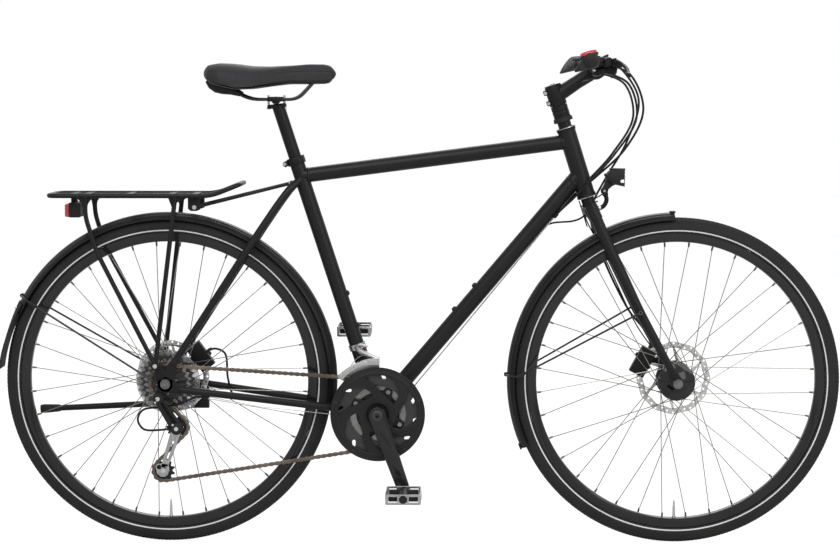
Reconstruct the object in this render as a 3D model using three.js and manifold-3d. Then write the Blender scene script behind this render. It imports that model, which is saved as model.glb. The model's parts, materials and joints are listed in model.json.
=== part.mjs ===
// Touring bicycle, as an assembly of separate pieces. Millimetres, +X forward, +Y to the left, +Z up.
// The sizes are measured with the rear axle over x = 0 and the ground at z = 0. The finished group is
// then moved along x, so that its origin lies on the ground under the middle of the bicycle.

import * as THREE from 'three';
import { mergeVertices } from 'three/addons/utils/BufferGeometryUtils.js';
import Module from 'manifold-3d';

const wasm = await Module();
wasm.setup();

// Clearances
const seatGap = 0.3;
const turningGap = 0.5;
const overrun = 4;

// Wheels
const wheelbase = 1088;
const tyreOuterRadius = 351;
const tyreWidth = 42;
const rimOuterRadius = 317.5;
const rimWidth = 24;
const rimHeight = 19;
const rimWall = 2.4;
const rimBedDepth = 8;
const spokeCount = 36;
const spokeRadius = 1;
const spokeCrossings = 3;
const valveRadius = 3;
const valveLength = 30;
const wheelSegments = 28;
const hubSegments = 10;
const axleRadius = 5;
const rotorRadius = 80;
const rotorThickness = 1.8;
const rotorBrakeWidth = 14;
const rotorArmCount = 6;

// Front hub, with a dynamo inside
const frontOverLocknut = 100;
const frontFlangeRadius = 40;
const frontFlangeY = 27;
const frontShellRadius = 34;
const frontRotorY = 39.5;

// Rear hub and its sprockets
const rearOverLocknut = 135;
const rearFlangeRadius = 29;
const rearFlangeDriveY = -18;
const rearFlangeLeftY = 34;
const rearShellRadius = 19;
const rearRotorY = 51;
const freehubRadius = 15.4;
const spokeGuardRadius = 68;
const spokeGuardThickness = 1.4;
const sprocketTeeth = [11, 12, 14, 16, 18, 21, 24, 28, 32];
const sprocketPitch = 4.35;
const sprocketThickness = 1.7;
const smallestSprocketY = -62.5;
const chainSprocketIndex = 4;

// Chain
const chainPitch = 12.7;
const chainPlateHeight = 8.4;
const chainWaistHeight = 6.2;
const chainInnerWidth = 4.2;
const chainPlateThickness = 1;
const chainRollerWidth = 5.6;

// Frame
const bottomBracketDrop = 66;
const chainstayReach = 450;
const seatTubeAngle = 72;
const seatTubeLength = 570;
const seatTubeRadius = 15.9;
const headAngle = 72.5;
const headTubeLength = 156;
const headTubeRadius = 19;
const headTubeBore = 16.8;
const topTubeRadius = 15.9;
const topTubeSeatDrop = 39;
const topTubeHeadDrop = 31;
const downTubeRadius = 17.5;
const downTubeHeadRise = 52;
const seatStayRadius = 8;
const seatStayTopDrop = 52;
const chainStayRadius = 8;
const bracketShellRadius = 21;
const bracketShellWidth = 68;
const bracketShellBore = 17.4;
const dropoutThickness = 6;
const tubeSides = 10;

// Fork and headset
const forkOffset = 65;
const headTubeFoot = 433;
const steererRadius = 14.3;
const crownHeight = 30;
const crownDepth = 34;
const bladeSpread = 49;
const bladeFootSpread = 60;
const bladeTopRadius = 12;
const bladeFootRadius = 8;
const cupHeight = 13;
const cupRadius = 20.5;

// Stem and handlebar
const spacerHeight = 36;
const spacerRadius = 18;
const stemClampHeight = 42;
const stemClampRadius = 18.5;
const stemReach = 96;
const stemRise = 26;
const stemTubeRadius = 15;
const barClampRadius = 15.9;
const barClampWidth = 44;
const barRadius = 11.1;
const barHalfWidth = 300;
const barRise = 26;
const barSweep = 23;
const gripLength = 130;
const gripRadius = 15.5;
const gripWing = 27;
const controlPlace = 136;
const leverLength = 84;
const leverReach = 46;
const leverDrop = 20;

// Seat
const seatpostRadius = 13.6;
const seatpostRailHeight = 702;
const seatpostInsert = 150;
const seatpostTravel = 95;
const saddleLength = 281;
const saddleWidth = 168;
const saddleTop = 1031;
const saddleSkirt = 976;
const saddleRearX = 80;
const railRadius = 3.5;
const railSpread = 22;

// Mudguards, carrier and lights
const mudguardRadius = 362;
const mudguardWidth = 53;
const mudguardThickness = 1.8;
const mudguardDepth = 15;
const rearGuardStart = -8;
const rearGuardEnd = 156;
const flapStart = 153;
const flapEnd = 176;
const flapWidth = 60;
const frontGuardStart = 91;
const frontGuardEnd = 204;
const wireRadius = 2.5;
const carrierHeight = 750;
const carrierRear = -246;
const carrierFront = 99;
const carrierTipX = 159;
const carrierTipRise = 24;
const carrierHalfWidth = 62;
const carrierTubeRadius = 5;
const carrierFootX = -20;
const carrierFootRise = 40;
const rearLightWidth = 60;
const rearLightLength = 35;
const rearLightHeight = 33;
const lampRadius = 21;
const lampLength = 44;
const lampReach = 22;
const lampRise = 92;
const bellRadius = 20;
const bellHeight = 15;

// Cranks, rings and pedals
const crankLength = 170;
const crankAngle = 19.4;
const crankArmY = 74;
const crankArmThickness = 13;
const crankEyeRadius = 19;
const pedalEyeRadius = 14;
const spindleRadius = 8.5;
const ringTeeth = [48, 36, 26];
const ringY = [-52.5, -45.1, -37.7];
const ringThickness = 2;
const chainRingIndex = 1;
const ringBoltCircle = 52;
const chainGuardRadius = 101;
const chainGuardThickness = 2.5;
const chainGuardSpokes = 5;
const pedalLength = 96;
const pedalWidth = 88;
const pedalHeight = 22;
const pedalAxleRadius = 5;

// Gear changers
const guidePulleyX = 22;
const guidePulleyZ = 255;
const tensionPulleyX = -9;
const tensionPulleyZ = 161;
const pulleyTeeth = 11;
const pulleyBoltRadius = 3;
const hangerX = -14;
const hangerDrop = 29;
const cageThickness = 2;
const cageHalfGap = 4.6;

// Kickstand
const standPivotX = 58;
const standPivotZ = 292;
const standPivotY = 76;
const standLength = 352;
const standRadius = 7;
const standFoldedDrop = 17;

// Brakes and cables
const caliperThickness = 20;
const caliperHeight = 34;
const caliperLength = 62;
const hoseRadius = 2.5;
const hoseSides = 6;

// Helper values
const degree = Math.PI / 180;
const halfTurn = 180;
const fullTurn = 360;

// A bore with flat sides that stays clear of the round part that turns in it
const turningBore = (radius, sides) => (radius + turningGap) / Math.cos(Math.PI / sides);

// Vectors and frames
const at = (x, y, z) => new THREE.Vector3(x, y, z);
const flat = (x, y) => new THREE.Vector2(x, y);
const along = (start, direction, distance) => start.clone().addScaledVector(direction, distance);
const onSide = (point, y) => at(point.x, y, point.z);
const onCircle = (radius, angle, y = 0) =>
  at(radius * Math.cos(angle * degree), y, radius * Math.sin(angle * degree));

// Materials
const paint = (color, roughness, metalness) => new THREE.MeshStandardMaterial({ color, roughness,
    metalness });
const satinBlack = () => paint(0x17181a, 0.45, 0.3);
const matteBlack = () => paint(0x1c1c1d, 0.8, 0);
const tyreBlack = () => paint(0x202020, 0.95, 0);
const gripBlack = () => paint(0x232323, 0.9, 0);
const steelSilver = () => paint(0xb8bbbe, 0.35, 0.9);
const chainSteel = () => paint(0x8a8276, 0.45, 0.8);
const darkSteel = () => paint(0x55575a, 0.4, 0.8);
const saddleGrey = () => paint(0x2b2c2e, 0.85, 0);
const lensRed = () => paint(0x8e1a1a, 0.3, 0);
const bellRed = () => paint(0xa33328, 0.35, 0.2);

// Removes the faces that have shrunk to a line, after points that coincide are joined
function weld(geometry) {
  geometry.deleteAttribute('normal');
  geometry.deleteAttribute('uv');
  const merged = mergeVertices(geometry);
  const corners = merged.index.array;
  const kept = [];
  for (let i = 0; i < corners.length; i += 3) {
    const [a, b, c] = [corners[i], corners[i + 1], corners[i + 2]];
    if (a !== b && b !== c && c !== a) kept.push(a, b, c);
  }
  merged.setIndex(kept);
  return merged;
}

function solid(geometry) {
  const welded = weld(geometry);
  return new wasm.Manifold(new wasm.Mesh({
    numProp: 3,
    vertProperties: new Float32Array(welded.attributes.position.array),
    triVerts: new Uint32Array(welded.index.array),
  }));
}

function join(first, ...others) {
  return others.flat().reduce((sum, next) => sum.add(next), first);
}

function cut(first, ...others) {
  return others.flat().reduce((rest, next) => rest.subtract(next), first);
}

function mirrored(shape, side) {
  return side > 0 ? shape : shape.mirror([0, 1, 0]);
}

function piece(name, shape, material) {
  const mesh = shape.getMesh();
  const geometry = new THREE.BufferGeometry();
  geometry.setAttribute('position', new THREE.BufferAttribute(new Float32Array(mesh.vertProperties),
      mesh.numProp));
  geometry.setIndex(new THREE.BufferAttribute(new Uint32Array(mesh.triVerts), 1));
  geometry.computeVertexNormals();
  const result = new THREE.Mesh(geometry, material);
  result.name = name;
  return result;
}

// A ring around the y axis. Each profile point is (radius, y), counter-clockwise.
function revolve(profile, segments = wheelSegments) {
  const points = profile.map(([radius, y]) => flat(radius, y));
  points.push(points[0].clone());
  return solid(new THREE.LatheGeometry(points, segments));
}

// A closed skin through a row of rings with equally many points each
function loft(rings) {
  const count = rings[0].length;
  const last = (rings.length - 1) * count;
  const corners = [];
  for (let start = 0; start < last; start += count) {
    for (let k = 0; k < count; k += 1) {
      const next = (k + 1) % count;
      corners.push(start + k, start + next, start + count + next);
      corners.push(start + k, start + count + next, start + count + k);
    }
  }
  for (let k = 1; k + 1 < count; k += 1) {
    corners.push(0, k + 1, k);
    corners.push(last, last + k, last + k + 1);
  }
  const geometry = new THREE.BufferGeometry();
  geometry.setAttribute('position',
      new THREE.Float32BufferAttribute(rings.flat().flatMap((p) => p.toArray()), 3));
  geometry.setIndex(corners);
  return solid(geometry);
}

// A round bar, straight or tapered, between two points
function rod(from, to, radius, endRadius = radius, sides = hoseSides) {
  const turn = new THREE.Quaternion().setFromUnitVectors(at(0, 1, 0), to.clone().sub(from).normalize());
  const ring = (center, size) => Array.from({ length: sides }, (unused, k) => {
    const angle = (k / sides) * fullTurn * degree;
    return at(size * Math.sin(angle), 0, size * Math.cos(angle)).applyQuaternion(turn).add(center);
  });
  return loft([ring(from, radius), ring(to, endRadius)]);
}

// A cylinder or ring around the y axis, between two values of y
function disc(radius, y0, y1, segments = hubSegments, bore = 0) {
  if (bore > 0) return revolve([[bore, y0], [radius, y0], [radius, y1], [bore, y1]], segments);
  return rod(at(0, y0, 0), at(0, y1, 0), radius, radius, segments);
}

function block(center, length, width, height, turn = 0) {
  const geometry = new THREE.BoxGeometry(length, width, height);
  geometry.rotateY(-turn * degree);
  geometry.translate(...center.toArray());
  return solid(geometry);
}

// A plate in the plane of the wheels: the outline's points are (x, z), and y is its middle
function plate(outline, y, thickness, holes = []) {
  const shape = new THREE.Shape(outline.map(([x, z]) => flat(x, z)));
  for (const hole of holes) shape.holes.push(new THREE.Path(hole.map(([x, z]) => flat(x, z))));
  const geometry = new THREE.ExtrudeGeometry(shape, { depth: thickness, bevelEnabled: false });
  geometry.rotateX(Math.PI / 2);
  geometry.translate(0, y + thickness / 2, 0);
  return solid(geometry);
}

function ringOutline(radius, sides, x = 0, z = 0) {
  return Array.from({ length: sides }, (unused, i) => {
    const angle = (i / sides) * fullTurn * degree;
    return [x + radius * Math.cos(angle), z + radius * Math.sin(angle)];
  });
}

// A section swept along a smooth route. The section's points are (across, outward).
function sweep(section, points, steps) {
  const geometry = new THREE.ExtrudeGeometry(new THREE.Shape(section.map(([x, y]) => flat(x, y))), {
    steps,
    bevelEnabled: false,
    extrudePath: new THREE.CatmullRomCurve3(points, false, 'catmullrom', 0.5),
  });
  return solid(geometry);
}

// Rings square to a route, which don't twist from one to the next
function ringsAlong(places, radiusAt, sides) {
  let normal = at(0, 1, 0);
  if (Math.abs(places[0].tangent.y) > 0.9) normal = at(1, 0, 0);
  return places.map(({ point, tangent }, i) => {
    normal.addScaledVector(tangent, -normal.dot(tangent)).normalize();
    const binormal = tangent.clone().cross(normal);
    const radius = radiusAt(i / (places.length - 1));
    return Array.from({ length: sides }, (unused, k) => {
      const angle = (k / sides) * fullTurn * degree;
      return along(along(point, normal, radius * Math.cos(angle)), binormal, radius * Math.sin(angle));
    });
  });
}

function taperedTube(points, radii, steps, sides = hoseSides) {
  const curve = new THREE.CatmullRomCurve3(points, false, 'catmullrom', 0.5);
  const places = Array.from({ length: steps + 1 }, (unused, i) => ({
    point: curve.getPointAt(i / steps),
    tangent: curve.getTangentAt(i / steps),
  }));
  const radiusAt = (share) => {
    const place = share * (radii.length - 1);
    const low = Math.min(Math.floor(place), radii.length - 2);
    return THREE.MathUtils.lerp(radii[low], radii[low + 1], place - low);
  };
  return loft(ringsAlong(places, radiusAt, sides));
}

const tube = (points, radius, steps, sides = hoseSides) => taperedTube(points, [radius, radius], steps,
    sides);

// A tube with a ring at each point of its route, and more between them on a smooth line
function routeTube(points, radius, sides, stepsBetween = 1) {
  const curve = new THREE.CatmullRomCurve3(points, false, 'catmullrom', 0.5);
  const steps = (points.length - 1) * stepsBetween;
  const places = Array.from({ length: steps + 1 }, (unused, i) => ({
    point: curve.getPoint(i / steps),
    tangent: curve.getTangent(i / steps),
  }));
  return loft(ringsAlong(places, () => radius, sides));
}

// Straight stretches with a rounded bend at each inner point
function bentTube(points, bendRadius, radius, sides = hoseSides, bendSteps = 3) {
  const places = [{ point: points[0], tangent: points[1].clone().sub(points[0]).normalize() }];
  for (let i = 1; i + 1 < points.length; i += 1) {
    const into = points[i].clone().sub(points[i - 1]).normalize();
    const out = points[i + 1].clone().sub(points[i]).normalize();
    const turn = into.angleTo(out);
    const setBack = bendRadius * Math.tan(turn / 2);
    const bend = new THREE.QuadraticBezierCurve3(along(points[i], into, -setBack), points[i],
        along(points[i], out, setBack));
    for (let k = 0; k <= bendSteps; k += 1) {
      places.push({ point: bend.getPoint(k / bendSteps), tangent: bend.getTangent(k / bendSteps) });
    }
  }
  const end = points[points.length - 1];
  places.push({ point: end, tangent: end.clone().sub(points[points.length - 2]).normalize() });
  return loft(ringsAlong(places, () => radius, sides));
}

// A rounded bar that joins two circles, seen from the side
function linkOutline(from, fromRadius, to, toRadius, arcSteps = 4) {
  const heading = Math.atan2(to[1] - from[1], to[0] - from[0]) / degree;
  const outline = [];
  const addArc = ([x, z], radius, start) => {
    for (let i = 0; i <= arcSteps; i += 1) {
      const angle = (start + (i / arcSteps) * halfTurn) * degree;
      outline.push([x + radius * Math.cos(angle), z + radius * Math.sin(angle)]);
    }
  };
  addArc(to, toRadius, heading - halfTurn / 2);
  addArc(from, fromRadius, heading + halfTurn / 2);
  return outline;
}

// Frame points, in the plane of the wheels
const rearAxle = at(0, 0, tyreOuterRadius);
const bracket = at(chainstayReach, 0, tyreOuterRadius - bottomBracketDrop);
const seatLine = at(-Math.cos(seatTubeAngle * degree), 0, Math.sin(seatTubeAngle * degree));
const steerTilt = 90 - headAngle;
const steerUp = at(-Math.cos(headAngle * degree), 0, Math.sin(headAngle * degree));
const steerForward = at(Math.sin(headAngle * degree), 0, Math.cos(headAngle * degree));
const frontAxle = at(wheelbase, 0, tyreOuterRadius);
const steerFoot = frontAxle.clone().addScaledVector(steerForward, -forkOffset);
const headTop = headTubeFoot + headTubeLength;
const onSeatTube = (distance) => along(bracket, seatLine, distance);
const onHeadTube = (distance) => along(steerFoot, steerUp, distance);
const dropoutFace = rearOverLocknut / 2 + seatGap;
const dropoutY = dropoutFace + dropoutThickness / 2;
const pairOf = (make) => [-1, 1].map((side) => make(side));

// Main tubes: two points on each centre line
const topTubeRear = onSeatTube(seatTubeLength - topTubeSeatDrop);
const topTubeFront = onHeadTube(headTop - topTubeHeadDrop);
const downTubeFront = onHeadTube(headTubeFoot + downTubeHeadRise);
const downTubeLine = downTubeFront.clone().sub(bracket).normalize();
const downTubeUp = at(-downTubeLine.z, 0, downTubeLine.x);
const onDownTube = (share) => bracket.clone().lerp(downTubeFront, share);

// Stays. The seat stays leave the seat tube's rear quarters, and widen around the mudguard.
const seatStayTopBack = 10;
const seatStayTopY = 12;
const shoulderBack = 32;
const shoulderDrop = 21;
const shoulderY = 27;
const seatStayFootX = 16;
const seatStayFootRise = 42;
const chainStayFootX = 30;
const chainStayFootDrop = 12;
const chainStayBracketBack = 10;
const chainStayYs = [18.5, 25, 36.8, 53];
const chainStayAlongShares = [0, 0.11, 0.21, 0.6];
const staySides = 8;
const staySteps = 5;
const stayFineSteps = 400;
const bridgeRadius = 6;
const bridgeGap = 3;

function seatStayRoute(side) {
  const top = onSeatTube(seatTubeLength - seatStayTopDrop);
  return [
    at(top.x - seatStayTopBack, side * seatStayTopY, top.z),
    at(top.x - shoulderBack, side * shoulderY, top.z - shoulderDrop),
    at(rearAxle.x + seatStayFootX, side * dropoutY, rearAxle.z + seatStayFootRise),
  ];
}

function chainStayRoute(side) {
  const start = at(bracket.x - chainStayBracketBack, 0, bracket.z);
  const foot = at(rearAxle.x + chainStayFootX, 0, rearAxle.z - chainStayFootDrop);
  const points = chainStayAlongShares.map((share, i) => onSide(start.clone().lerp(foot, share),
      side * chainStayYs[i]));
  return [...points, onSide(foot, side * dropoutY)];
}

// Bridges stand just outside the mudguard, on the stays' own lines
const bridgeReach = mudguardRadius + bridgeGap + bridgeRadius;

function routePointAtReach(route, reach) {
  const curve = new THREE.CatmullRomCurve3(route, false, 'catmullrom', 0.5);
  const samples = curve.getSpacedPoints(stayFineSteps);
  const misfit = (point) => Math.abs(Math.hypot(point.x - rearAxle.x, point.z - rearAxle.z) - reach);
  return samples.reduce((best, point) => (misfit(point) < misfit(best) ? point : best));
}

const upperBridge = routePointAtReach(seatStayRoute(1), bridgeReach);
const lowerBridge = routePointAtReach(chainStayRoute(1), bridgeReach);
const bridgeBetween = (point) => rod(onSide(point, -point.y), point, bridgeRadius, bridgeRadius, hoseSides);

// Dropouts: one plate on each side, with a slot for the axle that opens downwards
const dropoutEyeRadius = 17;
const dropoutFootRadius = 9;
const dropoutArcSteps = 3;
const eyeletRadius = 6;
const eyeletX = -19;
const caliperTabX = 64;
const caliperTabRise = 46;
const caliperTabRadius = 8;
const hangerRadius = 8;

const eyelet = [rearAxle.x + eyeletX, rearAxle.z + carrierFootRise];
const hanger = [rearAxle.x + hangerX, rearAxle.z - hangerDrop];
const caliperTab = [rearAxle.x + caliperTabX, rearAxle.z + caliperTabRise];

function makeDropout(side) {
  const center = [rearAxle.x, rearAxle.z];
  const arm = (to, radius) =>
    plate(linkOutline(center, dropoutEyeRadius, to, radius, dropoutArcSteps), side * dropoutY,
        dropoutThickness);
  const seatFoot = [rearAxle.x + seatStayFootX, rearAxle.z + seatStayFootRise];
  const chainFoot = [rearAxle.x + chainStayFootX, rearAxle.z - chainStayFootDrop];
  const own = side < 0 ? arm(hanger, hangerRadius) : arm(caliperTab, caliperTabRadius);
  const body = join(arm(seatFoot, dropoutFootRadius), arm(chainFoot, dropoutFootRadius),
      arm(eyelet, eyeletRadius), own);
  const slotHalf = axleRadius + seatGap;
  const slotDepth = dropoutEyeRadius + overrun;
  const slot = block(at(rearAxle.x, side * dropoutY, rearAxle.z - slotDepth / 2), 2 * slotHalf,
    dropoutThickness + 2 * overrun, slotDepth);
  const end = disc(slotHalf, -overrun, dropoutThickness + overrun, tubeSides)
    .translate([rearAxle.x, side * dropoutY - dropoutThickness / 2, rearAxle.z]);
  return cut(body, slot, end);
}

function makeCageBoss(share) {
  const base = onDownTube(share);
  const top = along(base, downTubeUp, downTubeRadius + bossHeight);
  return rod(base, top, bossRadius);
}

function makeCableStop(share, y, radius, length) {
  const middle = onSide(along(onDownTube(share), downTubeUp, -stopOffset), y);
  return rod(along(middle, downTubeLine, -length / 2), along(middle, downTubeLine, length / 2), radius);
}

function makeRearStop(radius, length) {
  const [from, to] = [-1, 1].map((end) => at(rearStopMiddle.x + (end * length) / 2, rearStopMiddle.y,
      rearStopMiddle.z));
  return rod(from, to, radius);
}

// Cage bosses stand on the down tube's upper side, and cable stops under it
const bossRadius = 5.5;
const bossHeight = 3;
const cageBossShares = [0.41, 0.51];
const stopLength = 12;
const stopRadius = 3.6;
const stopOffset = 18;
const stopY = 9;
const stopShare = 0.84;
const carrierBossShare = 0.17;
const rearStopMiddle = at(86, -62, 322);
const cableBore = 1.5;
const carrierBossBack = 13;
const carrierBossRadius = 6;

// A boss behind each seat stay carries the carrier's struts
function carrierBoss(side) {
  const curve = new THREE.CatmullRomCurve3(seatStayRoute(side), false, 'catmullrom', 0.5);
  return curve.getPointAt(carrierBossShare);
}

function makeCarrierBoss(side) {
  const root = carrierBoss(side);
  return rod(root, at(root.x - carrierBossBack, root.y, root.z), carrierBossRadius, carrierBossRadius);
}

function makeFrame() {
  const seatTop = onSeatTube(seatTubeLength);
  const shellHalf = bracketShellWidth / 2;
  const outside = join(
    rod(bracket, seatTop, seatTubeRadius, seatTubeRadius, tubeSides),
    rod(onHeadTube(headTubeFoot), onHeadTube(headTop), headTubeRadius, headTubeRadius, tubeSides),
    rod(topTubeRear, topTubeFront, topTubeRadius, topTubeRadius, tubeSides),
    rod(bracket, downTubeFront, downTubeRadius, downTubeRadius, tubeSides),
    disc(bracketShellRadius, -shellHalf, shellHalf, tubeSides).translate([bracket.x, 0, bracket.z]),
    pairOf((side) => tube(seatStayRoute(side), seatStayRadius, staySteps, staySides)),
    pairOf((side) => tube(chainStayRoute(side), chainStayRadius, staySteps, staySides)),
    pairOf(makeDropout),
    bridgeBetween(upperBridge),
    bridgeBetween(lowerBridge),
    cageBossShares.map(makeCageBoss),
    pairOf((side) => makeCableStop(stopShare, side * stopY, stopRadius, stopLength)),
    makeRearStop(stopRadius, stopLength),
    pairOf(makeCarrierBoss),
  );
  const postBore = rod(onSeatTube(seatTubeLength - seatpostInsert - seatpostTravel), along(seatTop,
      seatLine, overrun),
    seatpostRadius + seatGap, seatpostRadius + seatGap, tubeSides);
  const headBore = rod(onHeadTube(headTubeFoot - overrun), onHeadTube(headTop + overrun), headTubeBore,
      headTubeBore,
    tubeSides);
  const shellBore = disc(bracketShellBore, -shellHalf - overrun, shellHalf + overrun, tubeSides)
    .translate([bracket.x, 0, bracket.z]);
  const stopBores = pairOf((side) => makeCableStop(stopShare, side * stopY, cableBore,
      stopLength + 2 * overrun));
  const rearStopBore = makeRearStop(cableBore, stopLength + 2 * overrun);
  return piece('frame', cut(outside, postBore, headBore, shellBore, stopBores, rearStopBore), satinBlack());
}

// A clamp round the top of the seat tube, with its bolt behind
const clampHeight = 16;
const clampWall = 3.5;
const clampLip = 3;
const clampBoltLength = 26;
const clampBoltBack = 7;

function makeSeatClamp() {
  const low = onSeatTube(seatTubeLength - clampHeight + clampLip);
  const high = onSeatTube(seatTubeLength + clampLip);
  const outer = seatTubeRadius + seatGap + clampWall;
  const middle = low.clone().lerp(high, 0.5);
  const back = at(-seatLine.z, 0, seatLine.x);
  const boltPlace = along(middle, back, outer + clampBoltBack / 2);
  const body = join(
    rod(low, high, outer, outer, tubeSides),
    rod(onSide(boltPlace, -clampBoltLength / 2), onSide(boltPlace, clampBoltLength / 2), clampBoltBack),
  );
  const seat = rod(along(low, seatLine, -overrun), onSeatTube(seatTubeLength + seatGap),
      seatTubeRadius + seatGap,
    seatTubeRadius + seatGap, tubeSides);
  const passage = rod(low, along(high, seatLine, overrun), seatpostRadius + seatGap,
      seatpostRadius + seatGap,
    tubeSides);
  return piece('seat_clamp', cut(body, seat, passage), matteBlack());
}

// A cartridge bearing unit in the bracket shell: its lips seat against the shell's ends
const cartridgeLip = 4;
const cartridgeLipRadius = 20;

function makeBottomBracket() {
  const half = bracketShellWidth / 2;
  const lip = half + seatGap;
  const outer = bracketShellBore - seatGap;
  const bore = turningBore(spindleRadius, tubeSides);
  const profile = [
    [bore, -lip - cartridgeLip],
    [cartridgeLipRadius, -lip - cartridgeLip],
    [cartridgeLipRadius, -lip],
    [outer, -lip],
    [outer, lip],
    [cartridgeLipRadius, lip],
    [cartridgeLipRadius, lip + cartridgeLip],
    [bore, lip + cartridgeLip],
  ];
  return piece('bottom_bracket', revolve(profile, tubeSides).translate([bracket.x, 0, bracket.z]),
      darkSteel());
}

// Headset cups: each has a lip outside the head tube and a sleeve inside it
const cupSleeve = 12;

function makeHeadsetCup(name, end, direction) {
  const base = onHeadTube(end + direction * seatGap);
  const outside = onHeadTube(end + direction * cupHeight);
  const inside = onHeadTube(end - direction * cupSleeve);
  const sleeve = headTubeBore - seatGap;
  const bore = turningBore(steererRadius, tubeSides);
  const body = join(
    rod(base, outside, cupRadius, cupRadius - clampLip, tubeSides),
    rod(inside, outside, sleeve, sleeve, tubeSides),
  );
  const passage = rod(onHeadTube(end - direction * (cupSleeve + overrun)),
    onHeadTube(end + direction * (cupHeight + overrun)), bore, bore, tubeSides);
  return piece(name, cut(body, passage), matteBlack());
}

// Rim: a U-shaped bed between hooked walls, over a tapered inner side
const rimInnerRadius = rimOuterRadius - rimHeight;
const rimInnerHalfWidth = 8;
const rimHalf = rimWidth / 2;
const rimBedRadius = rimOuterRadius - rimBedDepth;
const wheelFacet = Math.cos(Math.PI / wheelSegments);

function makeRim(name) {
  const side = [
    [rimInnerRadius, rimInnerHalfWidth],
    [rimOuterRadius, rimHalf],
    [rimBedRadius, rimHalf - rimWall],
  ];
  const profile = [...side.map(([r, y]) => [r, -y]), ...side.toReversed()];
  const valve = rod(at(0, 0, -rimInnerRadius - overrun), at(0, 0, valveLength - rimInnerRadius),
      valveRadius);
  return piece(name, join(revolve(profile), valve), satinBlack());
}

// Tyre: a round casing that narrows to its beads between the rim's walls
const tyreArcSteps = 6;
const tyreArcHalfAngle = 122;

function makeTyre(name) {
  const sectionRadius = tyreWidth / 2;
  const center = tyreOuterRadius - sectionRadius;
  const beadY = rimHalf - rimWall - seatGap;
  const beadTop = rimOuterRadius + seatGap;
  const arc = Array.from({ length: tyreArcSteps + 1 }, (unused, i) => {
    const angle = (2 * (i / tyreArcSteps) - 1) * tyreArcHalfAngle * degree;
    return [center + sectionRadius * Math.cos(angle), sectionRadius * Math.sin(angle)];
  });
  const profile = [
    [rimBedRadius + seatGap, -beadY],
    [beadTop, -beadY],
    ...arc,
    [beadTop, beadY],
    [rimBedRadius + seatGap, beadY],
  ];
  return piece(name, revolve(profile), tyreBlack());
}

// Spokes leave the flanges at a tangent and cross: leading ones outside the flange, trailing ones inside
const spokeHubInset = 3;
const spokeFlangeOffset = 1.5;
const spokeRimOffset = 2.5;
const spokeSides = 3;

function makeSpokes(flangeRadius, flangeYs) {
  const holesPerFlange = spokeCount / 2;
  return Array.from({ length: spokeCount }, (unused, i) => {
    const flange = i % 2;
    const lead = Math.floor(i / 2) % 2 === 0 ? 1 : -1;
    const rimAngle = (i / spokeCount) * fullTurn + fullTurn / spokeCount / 2;
    const hubAngle = rimAngle + lead * spokeCrossings * (fullTurn / holesPerFlange);
    const flangeY = flangeYs[flange];
    const outward = Math.sign(flangeY);
    const hubPoint = onCircle(flangeRadius - spokeHubInset, hubAngle,
        flangeY + outward * lead * spokeFlangeOffset);
    const rimPoint = onCircle(rimInnerRadius * wheelFacet - seatGap, rimAngle, outward * spokeRimOffset);
    return rod(hubPoint, rimPoint, spokeRadius, spokeRadius, spokeSides);
  });
}

const rotorSeatRadius = 22;
const hubEndRadius = 11;
const hubBore = turningBore(axleRadius, hubSegments);
const flangeHalf = 2.6;
const shoulderRun = 4;

function makeFrontHub() {
  const half = frontOverLocknut / 2;
  const rotorSeat = frontRotorY - rotorThickness / 2 - seatGap;
  const profile = [
    [hubBore, -half],
    [hubEndRadius, -half],
    [hubEndRadius, 2 * shoulderRun - half],
    [frontShellRadius, -frontFlangeY - shoulderRun],
    [frontFlangeRadius, -frontFlangeY - flangeHalf],
    [frontFlangeRadius, flangeHalf - frontFlangeY],
    [frontShellRadius, shoulderRun - frontFlangeY],
    [frontShellRadius, frontFlangeY - shoulderRun],
    [frontFlangeRadius, frontFlangeY - flangeHalf],
    [frontFlangeRadius, frontFlangeY + flangeHalf],
    [rotorSeatRadius, frontFlangeY + shoulderRun],
    [rotorSeatRadius, rotorSeat],
    [hubEndRadius, rotorSeat],
    [hubEndRadius, half],
    [hubBore, half],
  ];
  const spokes = makeSpokes(frontFlangeRadius, [-frontFlangeY, frontFlangeY]);
  return piece('front_hub', join(revolve(profile, hubSegments), spokes), steelSilver());
}

function makeRearHub() {
  const half = rearOverLocknut / 2;
  const rotorSeat = rearRotorY - rotorThickness / 2 - seatGap;
  const guardY = smallestSprocketY + (sprocketTeeth.length - 1) * sprocketPitch +
      sprocketThickness / 2 + turningGap;
  const guardBack = guardY + spokeGuardThickness;
  const freehubEnd = smallestSprocketY - sprocketThickness / 2 - turningGap;
  const profile = [
    [hubBore, -half],
    [hubEndRadius, -half],
    [hubEndRadius, freehubEnd],
    [freehubRadius, freehubEnd],
    [freehubRadius, guardY],
    [spokeGuardRadius, guardY],
    [spokeGuardRadius, guardBack],
    [rearShellRadius, guardBack],
    [rearFlangeRadius, rearFlangeDriveY - flangeHalf],
    [rearFlangeRadius, rearFlangeDriveY + flangeHalf],
    [rearShellRadius, rearFlangeDriveY + shoulderRun],
    [rearShellRadius, rearFlangeLeftY - shoulderRun],
    [rearFlangeRadius, rearFlangeLeftY - flangeHalf],
    [rearFlangeRadius, rearFlangeLeftY + flangeHalf],
    [rotorSeatRadius, rearFlangeLeftY + shoulderRun],
    [rotorSeatRadius, rotorSeat],
    [hubEndRadius, rotorSeat],
    [hubEndRadius, half],
    [hubBore, half],
  ];
  const spokes = makeSpokes(rearFlangeRadius, [rearFlangeDriveY, rearFlangeLeftY]);
  return piece('rear_hub', join(revolve(profile, hubSegments), spokes), steelSilver());
}

// Brake disc: a track and a centre, joined by slanted arms
const rotorBore = hubEndRadius + turningGap;
const rotorCenterRadius = 27;
const rotorArmWidth = 6;
const rotorArmSlant = 28;
const rotorSegments = 16;

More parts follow.
